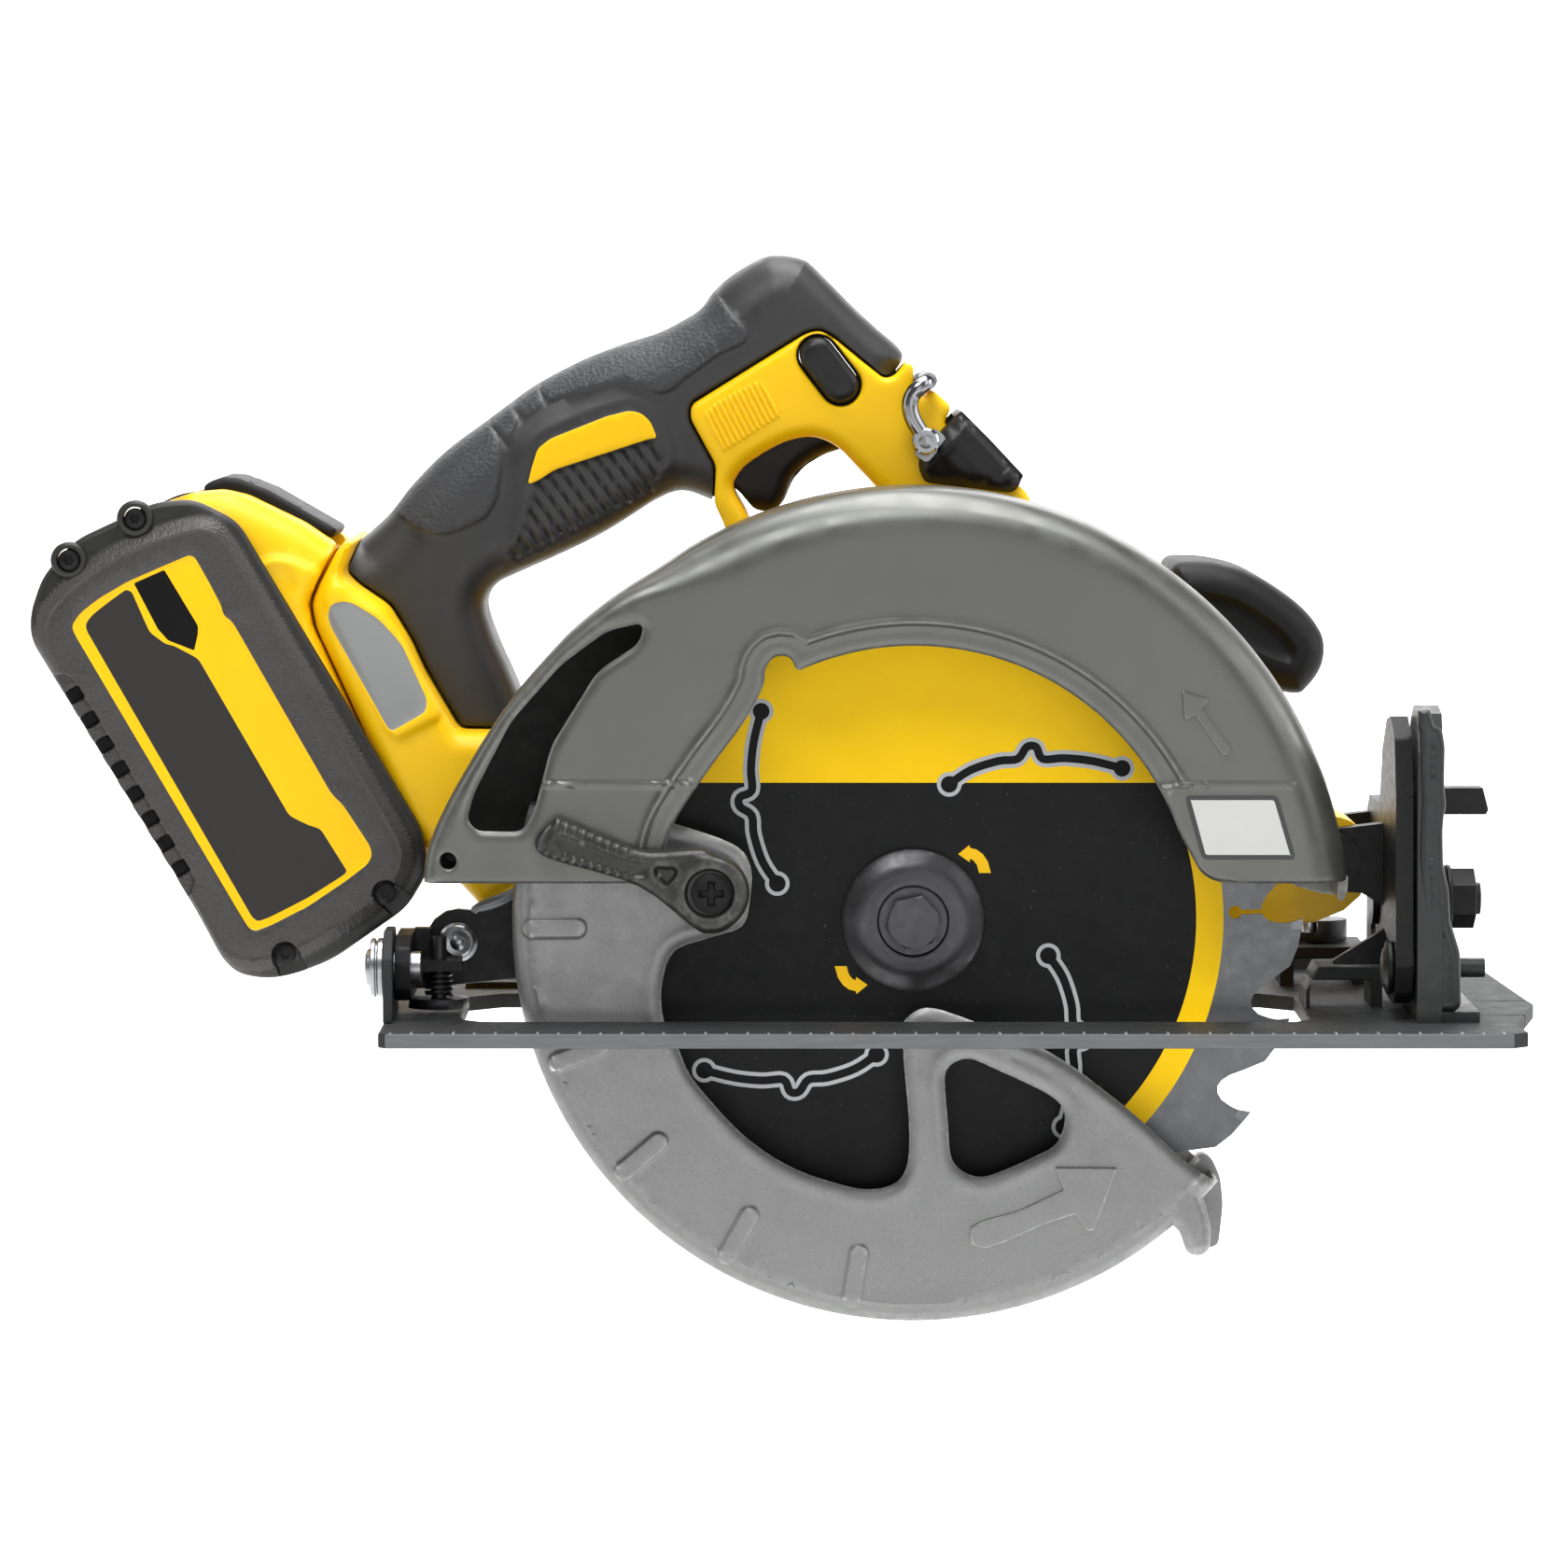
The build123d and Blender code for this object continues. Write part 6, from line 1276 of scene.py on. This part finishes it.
def lower_guard():
    outer = walk(arr(arc(97.2, 163.0, 319.6, 0.75)), 1.3, closed=False)
    inner = walk(spline(lg_inner, 5, closed=False), 1.1, closed=False)
    outline = np.concatenate([outer, inner])
    tri = spline(lg_tri, 4)
    arrow = rounded(lg_arrow, 0.7)
    ribs = [(pol(81.4, a), pol(92.4, a)) for a in (180.7, 201.3, 220.6, 240.8, 260.7)]

    def height(P):
        d = dist(P, outer, False)
        y = -12.5 + rnd(d, 3.2)
        di = np.minimum(dist(P, inner, False), dist(P, tri))
        y = y + 0.95 * np.clip(1 - di / 1.7, 0, 1) ** 2 - 0.3 * smooth01(1.5 - np.abs(di - 2.9) / 1.1)
        for a, c in ribs:
            y = y - 0.8 * smooth01((2.3 - capsule(P, a, c)) / 0.9 + 0.5)
        # low step that runs along the rim
        rr = np.hypot(P[:, 0], P[:, 1])
        y = y + 0.4 * smooth01((rr - 92.9) / 0.6) - 0.25 * smooth01(1.4 - np.abs(rr - 92.4) / 0.6)
        return y

    lines = []
    for a, c in ribs:
        lines.append((oval(a, c, 2.3, 12), (-0.6, -0.3, 0.3, 0.6)))
    near = near_part(outline, height, (tri,), grid=2.0, edge=1.35, rings=(0.2, 0.6, 1.2, 2.0, 2.9, 3.8, 4.6), loops=lines)
    n = len(outer)
    nrm = -outer / np.linalg.norm(outer, axis=1)[:, None]
    y0 = height(outer)
    row = lambda inset, y: np.stack([outer[:, 0] + nrm[:, 0] * inset, np.full(n, y) if np.isscalar(y) else y, outer[:, 1] + nrm[:, 1] * inset], 1)
    rows = [row(0, y0), row(0, -2.0), row(0, 4.0), row(0, 8.4), row(0.15, 8.9), row(0.55, 9.45), row(1.2, 9.7)]
    wall = wall_part(rows)
    back = np.stack([rows[-1][:, 0], rows[-1][:, 2]], 1)
    far_out = np.concatenate([back, arr(arc(20.3, 319.6, 163.0, 4.0))])
    far = near_part(far_out, lambda P: np.full(len(P), 9.7), flip=True, grid=5.0, edge=1.35, rings=(0.8,))
    o = sheet_object("lower_guard_casting", [near, wall, far], [LOWER], 1.4, 40)
    place(o, "lower_guard", ["lower_guard"])
    b = Build()
    # hub ring, neck of the lever, front lip
    b.turn([(20.1, 7.75), (25.6, 7.75), (26.0, 8.1), (26.0, 9.7), (25.6, 10.05), (20.1, 10.05)], step=4)
    b.turn([(2.1, -20.2), (5.2, -20.2), (5.6, -19.8), (5.6, -11.0), (2.1, -11.0)], c=(-48.8, 8.5), step=12)
    lip, hook, mid = rounded(lg_lip, 1.8), rounded(lg_hook, 1.6), rounded(lg_mid, 0.8)
    f = lambda P: rnd(dist(P, lip), 1.6)
    g = lambda P: rnd(dist(P, hook), 3.0)
    b.slab(hook, lambda P: -12.2 + g(P), -3.0, grid=1.2, edge=0.7, rings=(0.12, 0.45, 1.0, 1.8, 2.8))
    b.slab(mid, -3.2, 3.8, grid=1.4, edge=0.8, rings=(0.4,))
    b.slab(lip, 3.6, lambda P: 9.6 - f(P), grid=1.4, edge=0.7, rings=(0.12, 0.45, 1.0, 1.7))
    b.slab(arrow, lambda P: -13.35 + rnd(dist(P, arrow), 0.45), -12.1, grid=1.2, edge=0.6, rings=(0.1, 0.3, 0.55))
    o2 = b.make("lower_guard_lip", [LOWER])
    place(o2, "lower_guard", [])


# ------------------------------------------------------------------ lever of the lower guard
lever_out = [(-91.0, 19.7), (-90.4, 22.6), (-86.6, 26.0), (-85.0, 26.4), (-72.3, 21.1), (-64.2, 18.6), (-52.2, 19.2), (-48.6, 18.0), (-42.5, 15.2),
             (-39.6, 9.2), (-41.2, 3.4), (-45.4, -0.4), (-49.3, -1.2), (-53.1, 0.2), (-66.5, 10.3), (-87.2, 16.6)]


def lever():
    out = rounded(spline(lever_out, 4), 0.8, 3)
    c = (-49.2, 8.6)
    well = circle(c, 5.7, 40)
    wedge = rounded([(-62.2, 14.8), (-57.6, 14.6), (-57.0, 13.2), (-59.3, 10.5), (-62.2, 13.0)], 0.9)
    groove = rounded([(-86.2, 21.4), (-84.6, 22.8), (-71.8, 17.4), (-64.0, 15.2), (-64.6, 12.6), (-68.0, 12.4), (-84.8, 18.6)], 1.4)

    def f(P):
        x, z = P[:, 0], P[:, 1]
        d = dist(P, out)
        y = rnd(d, 1.9)
        r = np.hypot(x - c[0], z - c[1])
        y = y - 0.5 * smooth01((9.4 - r) / 1.2) + 1.7 * smooth01((5.75 - r) / 0.5 + 0.5)
        y = y + plateau(P, wedge, 1.6, 0.5) + plateau(P, groove, 0.8, 0.8)
        # small teeth along both edges of the arm's end
        t = smooth01((-66.0 - x) / 3.0) * smooth01((3.0 - d) / 1.2)
        y = y + 0.55 * t * (0.5 + 0.5 * np.cos(2 * np.pi * (x * 0.94 - z * 0.34) / 2.2))
        return np.minimum(y, 5.0)

    b = Build()
    hole = circle((-48.8, 8.5), 2.2, 16)
    b.slab(out, lambda P: -25.7 + f(P), -20.3, holes=(hole,), grid=1.0, edge=0.6, rings=(0.12, 0.4, 0.9, 1.6, 2.4),
           loops=[(well, (-0.4, 0.4)), (wedge, (-0.5, 0.5)), (groove, (-0.7, 0.7))], dense=[(rounded([(-91, 16), (-91, 27), (-66, 21.5), (-66, 9)], 0.5), 0.6)])
    o = b.make("guard_lever_casting", [LEVER], sharp=46)
    place(o, "lower_guard", ["guard_lever"])
    b = Build()
    p = (-48.8, 8.5)
    slots = rounded([(p[0] - 2.9, p[1] + 0.75), (p[0] - 0.75, p[1] + 0.75), (p[0] - 0.75, p[1] + 2.9), (p[0] + 0.75, p[1] + 2.9), (p[0] + 0.75, p[1] + 0.75), (p[0] + 2.9, p[1] + 0.75),
                     (p[0] + 2.9, p[1] - 0.75), (p[0] + 0.75, p[1] - 0.75), (p[0] + 0.75, p[1] - 2.9), (p[0] - 0.75, p[1] - 2.9), (p[0] - 0.75, p[1] - 0.75), (p[0] - 2.9, p[1] - 0.75)], 0.25)
    head = circle(p, 4.85, 40)
    f2 = lambda P: -26.35 + 1.1 * (np.hypot(P[:, 0] - p[0], P[:, 1] - p[1]) / 4.85) ** 2.6 + plateau(P, slots, 1.2, 0.2)
    b.slab(head, f2, -24.45, grid=0.8, edge=0.5, rings=(0.2,), loops=[(slots, (-0.2, 0.2))])
    b.slab(circle(p, 2.0, 18), -24.6, -13.2, grid=1.0, edge=0.6, rings=())
    o = b.make("guard_lever_screw_head", [GLOSS_BLACK], sharp=40)
    place(o, "lower_guard", ["guard_lever_screw"])


upper_guard()
lower_guard()
lever()
# ------------------------------------------------------------------ carried-over nodes
OWN = {
    "front_quadrant": SHOE_GREY, "depth_pin": BLACK_PAINT, "bevel_nut": BLACK_PAINT, "bevel_bolt": BLACK_PAINT, "fence_screw": SHOE_GREY, "outer_flange": CLAMP_STEEL, "blade_bolt": CLAMP_STEEL,
}
def node_slots():
    out = {}
    for s in frame["record"]["subparts"]:
        out[s["node"]] = s["material_slot"]
    return out


SLOTS = node_slots()
for name, o in NODES.items():
    mat = OWN.get(name) or SLOT_MAT[SLOTS[name]]
    for s in o.material_slots:
        s.material = mat


def eased(name, width, angle=32.0, seg=2):
    """Small round on the hard edges of a carried-over node."""
    o = NODES[name]
    w = o.modifiers.new("weld", "WELD")
    w.merge_threshold = 0.000004
    b = o.modifiers.new("ease", "BEVEL")
    b.width = width * MM
    b.segments = seg
    b.limit_method = "ANGLE"
    b.angle_limit = math.radians(angle)
    b.harden_normals = True
    b.use_clamp_overlap = True


for name, width in (("shoe_plate", 0.45), ("rear_pivot_bracket", 0.4), ("front_quadrant", 0.45), ("front_bracket", 0.6), ("depth_bracket", 0.35),
                    ("rear_bracket", 0.5), ("bevel_lever", 0.5), ("depth_pin", 0.3),
                    ("bevel_bolt", 0.3), ("bevel_nut", 0.4), ("fence_screw", 0.3), ("adjuster_screw", 0.25), ("depth_lever", 0.6),
                    ("depth_clamp_stud", 0.3), ("outer_flange", 0.25), ("blade_bolt", 0.3), ("gear_case", 0.6), ("motor_housing", 0.5),
                    ("motor_end_cap", 0.5), ("bearing_plate", 0.3), ("trigger_pin", 0.2)):
    eased(name, width)


# ------------------------------------------------------------------ blade: slots filled near-black as painted shade, and their printed outlines
def blade_print():
    squiggle = [(8.8, 33.0), (14.0, 36.5), (20.8, 38.7), (25.4, 39.2), (27.6, 42.1), (29.9, 42.1), (31.5, 39.2), (36.7, 39.4), (43.5, 38.7), (50.8, 36.9)]

    def spin(p, a):
        c, s = math.cos(math.radians(a)), math.sin(math.radians(a))
        return [(x * c - z * s, x * s + z * c) for x, z in p]

    def keyed(path, half, end):
        """Outline of a slot with round ends."""
        p = walk(path, 0.5, closed=False)
        t = np.gradient(p, axis=0)
        t /= np.linalg.norm(t, axis=1)[:, None]
        n = np.stack([-t[:, 1], t[:, 0]], 1)
        h = math.asin(half / end)
        lead = end * math.cos(h)
        keep = (np.linalg.norm(p - p[0], axis=1) > lead) & (np.linalg.norm(p - p[-1], axis=1) > lead)
        a, b = p[keep], n[keep]
        left, right = a + b * half, a - b * half
        out = list(left)
        for c, d, s in ((p[-1], t[-1], left[-1]), (p[0], -t[0], right[0])):
            a0 = math.atan2(s[1] - c[1], s[0] - c[0])
            for i in range(1, 20):
                k = a0 - (2 * math.pi - 2 * h) * i / 20
                out.append(c + end * arr((math.cos(k), math.sin(k))))
            if c is p[-1] or np.allclose(c, p[-1]):
                out += list(right[::-1])
        return arr(out)

    b = Build()
    for k in range(4):
        path = spline(spin(squiggle, 90 * k), 4, closed=False)
        slot = keyed(path, 1.0, 2.05)
        line = keyed(path, 1.95, 3.0)
        # the slot itself is a near-black fill through the blade's thickness: painted shade for the dark seen through
        # the cut
        b.slab(slot, -0.66, 0.66, mat=0, grid=1.2, edge=0.5, rings=())
        b.slab(line, -0.68, -0.58, holes=(slot,), mat=1, grid=1.2, edge=0.5, rings=(0.2,))
        b.slab(line, 0.58, 0.68, holes=(slot,), mat=1, grid=1.2, edge=0.5, rings=(0.2,))
    # two curved arrows that show the way the blade turns
    bend = [(11.0, 16.0), (13.7, 18.2), (13.9, 17.5), (15.5, 17.1), (17.0, 16.0), (18.2, 14.2), (19.0, 11.4), (16.1, 11.4), (15.6, 13.3), (14.8, 14.4), (13.9, 14.9), (13.8, 14.0)]
    for a in (0.0, 180.0):
        c, s = math.cos(math.radians(a)), math.sin(math.radians(a))
        ring = [(x * c - z * s, x * s + z * c) for x, z in bend]
        b.slab(ring, -0.68, -0.5, mat=2, grid=1.2, edge=0.5, rings=(0.2,))
    place(b.make("blade_slot_shade_fill", [BLACK_PRINT_AND_SHADE, SLOT_LINE, YELLOW_LABEL]), "arbor", [])


blade_print()


# ------------------------------------------------------------------ turned hardware and castings of the tilt brackets
def bracket_details():
    # domed rivet that joins the depth bracket and the rear bracket
    b = Build()
    b.turn([(0.02, 12.70), (0.9, 12.75), (1.4, 13.10), (1.9, 13.30), (2.5, 13.15), (3.1, 12.95), (3.8, 13.20), (4.15, 13.85), (4.45, 14.05), (4.85, 14.40),
            (4.9, 14.9), (4.85, 15.45), (3.0, 15.5), (3.0, 19.5), (4.3, 19.5), (4.4, 20.6), (3.6, 21.5), (0.02, 21.6)], c=(-111.5, -7.0))
    place(b.make("bracket_rivet_turned", [STEEL]), "carriage", ["bracket_rivet"])
    # tilt pins: dark dome at the front, stacked washers at the rear
    b = Build()
    c = (-8.0, -11.0)
    b.turn([(0.02, 113.25), (2.5, 113.32), (4.4, 113.75), (5.2, 114.3), (6.2, 114.5), (6.55, 114.8), (6.6, 115.6), (6.4, 115.88), (3.99, 115.9), (3.99, 127.3),
            (5.6, 127.3), (6.0, 127.6), (6.0, 128.3), (5.2, 128.6), (4.9, 129.6), (4.0, 130.3), (0.02, 130.4)], c=c, axis="x", mat=1)
    b.turn([(0.02, -132.8), (3.4, -132.75), (4.4, -132.3), (4.6, -131.6), (6.7, -131.5), (7.15, -131.2), (7.2, -130.4), (6.9, -130.15), (6.5, -130.1), (6.5, -129.9),
            (6.9, -129.8), (7.2, -129.5), (7.2, -128.5), (6.9, -128.15), (3.99, -128.1), (3.99, -119.4), (0.02, -119.4)], c=c, axis="x", mat=0)
    place(b.make("bevel_pins_turned", [STEEL, BLACK_PAINT]), "shoe", ["bevel_pins"])
    # coil spring round the adjusting screw
    b = Build()
    n = 4.5
    pts = []
    for i in range(int(n * 24) + 1):
        k = i / (n * 24)
        a = 2 * math.pi * n * k
        pts.append((-115.8 + 3.1 * math.cos(a), 5.0 + 3.1 * math.sin(a), -19.1 + 6.0 * k))
    b.tube(pts, 0.5, n=8)
    place(b.make("adjuster_spring", [DARK_STEEL]), "carriage", [])
    # raised cast edge of the tilt quadrant
    edge = [(121.1, 52.1), (123.9, 52.4), (125.2, 48.2), (126.9, 47.6), (127.6, 43.3), (127.5, 34.3), (128.0, 28.9), (127.5, 26.8), (127.2, 23.1), (127.4, 14.8),
            (128.8, 8.8), (129.2, 1.3), (131.6, -6.4), (132.0, -19.1), (130.6, -20.8), (125.1, -20.8), (124.1, -19.1), (124.2, -4.0), (122.4, 5.0), (121.6, 14.8),
            (121.8, 24.6), (122.1, 29.1), (121.7, 38.1), (121.6, 47.1), (121.1, 48.2)]
    b = Build()
    edge = rounded(edge, 0.9)
    b.slab(edge, lambda P: -18.6 + rnd(dist(P, edge), 1.6) + 0.5 * smooth01((dist(P, edge) - 2.0) / 0.8), -13.8, grid=1.4, edge=0.7, rings=(0.12, 0.4, 0.8, 1.3, 1.7, 2.3))
    place(b.make("quadrant_cast_edge", [SHOE_GREY]), "shoe", [])
    # rolled upper edge of the depth bracket
    b = Build()
    k = np.linspace(0, 1, 28)
    b.tube(np.stack([-107.6 + 11.4 * k, np.full(28, 14.6), 0.4 + 4.2 * np.sqrt(k) * 0.8 + 2.6 * k ** 3], 1), 0.7 + 0.9 * np.sin(np.pi * np.clip(k * 0.85 + 0.1, 0, 1)), n=14)
    place(b.make("depth_bracket_edge", [SHOE_EDGE]), "carriage", [])
    # front end of the upper guard's rim, which hangs a little lower than its wall
    b = Build()
    b.slab(rounded([(103.0, 11.2), (105.35, 11.2), (105.2, 7.8), (104.5, 5.6), (103.6, 5.0), (102.8, 6.0)], 0.7), -7.0, 13.9, grid=1.6, edge=0.6, rings=(0.3,))
    b.slab(rounded([(92.4, 11.2), (93.2, 7.4), (99.1, 5.6), (103.2, 4.9), (104.6, 5.6), (105.1, 7.8), (105.2, 11.2)], 1.0), 12.0, 14.0, grid=1.6, edge=0.6, rings=(0.3,))
    place(b.make("guard_front_lip", [GUARD]), "saw_body", [])
    # screw under the nose of the gear case
    b = Build()
    b.turn([(0.02, -5.9), (1.5, -5.9), (2.0, -5.6), (2.2, -5.0), (2.2, -3.2), (1.3, -3.1), (1.3, -0.2), (0.02, -0.2)], c=(98.6, 28.0), axis="z")
    place(b.make("nose_screw", [STEEL]), "saw_body", [])


bracket_details()
# ------------------------------------------------------------------ stage
def studio():
    lo = CAD_BOX[0][2] - 0.35
    P = []
    half = 3.0
    for i in range(13):
        a = math.radians(90.0 * i / 12)
        P.append((1.6 + 0.8 * math.sin(a), lo + 0.8 * (1 - math.cos(a))))
    prof = [(-2.4, lo)] + P + [(2.4, lo + 2.6)]
    V, F = [], []
    for y, z in prof:
        V += [(-half, y, z), (half, y, z)]
    for i in range(len(prof) - 1):
        F.append((2 * i, 2 * i + 1, 2 * i + 3, 2 * i + 2))
    # wide floor around the sweep, for the views from the other sides
    n = len(V)
    V += [(-14.0, -14.0, lo - 0.002), (14.0, -14.0, lo - 0.002), (14.0, 14.0, lo - 0.002), (-14.0, 14.0, lo - 0.002)]
    F.append((n, n + 1, n + 2, n + 3))
    me = bpy.data.meshes.new("studio_floor")
    me.from_pydata(V, [], F)
    me.polygons.foreach_set("use_smooth", [True] * len(F))
    o = bpy.data.objects.new("studio_floor", me)
    bpy.context.scene.collection.objects.link(o)
    m = Mat("studio_white", rough=0.9, spec=0.1)
    m.b.inputs["Emission Color"].default_value = (1, 1, 1, 1)
    sep = m.node("ShaderNodeSeparateXYZ")
    m.link(m.tc, sep.inputs[0])
    far = m.node("ShaderNodeVectorMath")
    far.operation = "LENGTH"
    m.link(m.tc, far.inputs[0])
    top = m.node("ShaderNodeMath")
    top.operation = "MAXIMUM"
    m.link(m.ranged(sep.outputs[1], 0.2, 1.3, 0.22, 0.95), top.inputs[0])
    m.link(m.ranged(far.outputs["Value"], 2.2, 5.0, 0.22, 0.85), top.inputs[1])
    m.link(top.outputs[0], m.b.inputs["Emission Strength"])
    m.colour(m.mix(m.ranged(m.noise(400.0, 2.0), 0.3, 0.7, 0.0, 1.0), (0.93, 0.93, 0.93, 1), (0.96, 0.96, 0.96, 1)))
    me.materials.append(m.m)


def area(name, at, to, size, power, tint=(1, 1, 1)):
    d = bpy.data.lights.new(name, "AREA")
    d.shape = "RECTANGLE"
    d.size, d.size_y = size
    d.energy = power
    d.color = tint
    o = bpy.data.objects.new(name, d)
    o.location = at
    o.rotation_euler = (Vector(to) - Vector(at)).to_track_quat("-Z", "Y").to_euler()
    bpy.context.scene.collection.objects.link(o)
    return o


studio()
area("key", (-0.4, -1.0, 1.5), (-0.03, 0.02, 0.05), (1.0, 0.7), 16.6)
area("top", (0.05, 0.1, 1.45), (-0.03, 0.04, 0.05), (1.5, 0.8), 28.0)
area("front", (0.5, -1.9, 0.45), (-0.03, 0.0, 0.05), (1.2, 0.9), 3.6)
area("right", (1.3, -0.6, 0.9), (0.0, 0.0, 0.05), (0.6, 1.2), 5.0)
area("side", (1.5, 0.12, 0.55), (0.0, 0.0, 0.05), (0.5, 1.0), 7.0)
area("left", (-1.5, -0.3, 0.6), (0.0, 0.0, 0.05), (0.5, 1.2), 3.5)
low = area("low", (0.0, -0.62, -0.045), (0.0, 0.0, -0.02), (1.0, 0.05), 0.45)
low.visible_camera = False
area("back", (0.0, 1.35, 1.0), (0.0, 0.1, 0.05), (2.2, 0.9), 9.0)


w = bpy.data.worlds.new("studio") if not bpy.context.scene.world else bpy.context.scene.world
bpy.context.scene.world = w
w.use_nodes = True
bg = next(n for n in w.node_tree.nodes if n.type == "BACKGROUND")
bg.inputs[0].default_value = (1.0, 1.0, 1.0, 1)
bg.inputs[1].default_value = 0.16

cam = bpy.data.cameras.new("camera")
cam.sensor_width = 36.0
cam.sensor_fit = "HORIZONTAL"
cam.lens = 155.57
cam.clip_start, cam.clip_end = 0.05, 20.0
co = bpy.data.objects.new("camera", cam)
co.location = (-0.03136, -1.64316, 0.18071)
co.rotation_euler = (math.radians(85.8), 0.0, 0.0)
bpy.context.scene.collection.objects.link(co)
bpy.context.scene.camera = co
bpy.context.scene.view_settings.view_transform = "Standard"
bpy.context.scene.view_settings.look = "None"
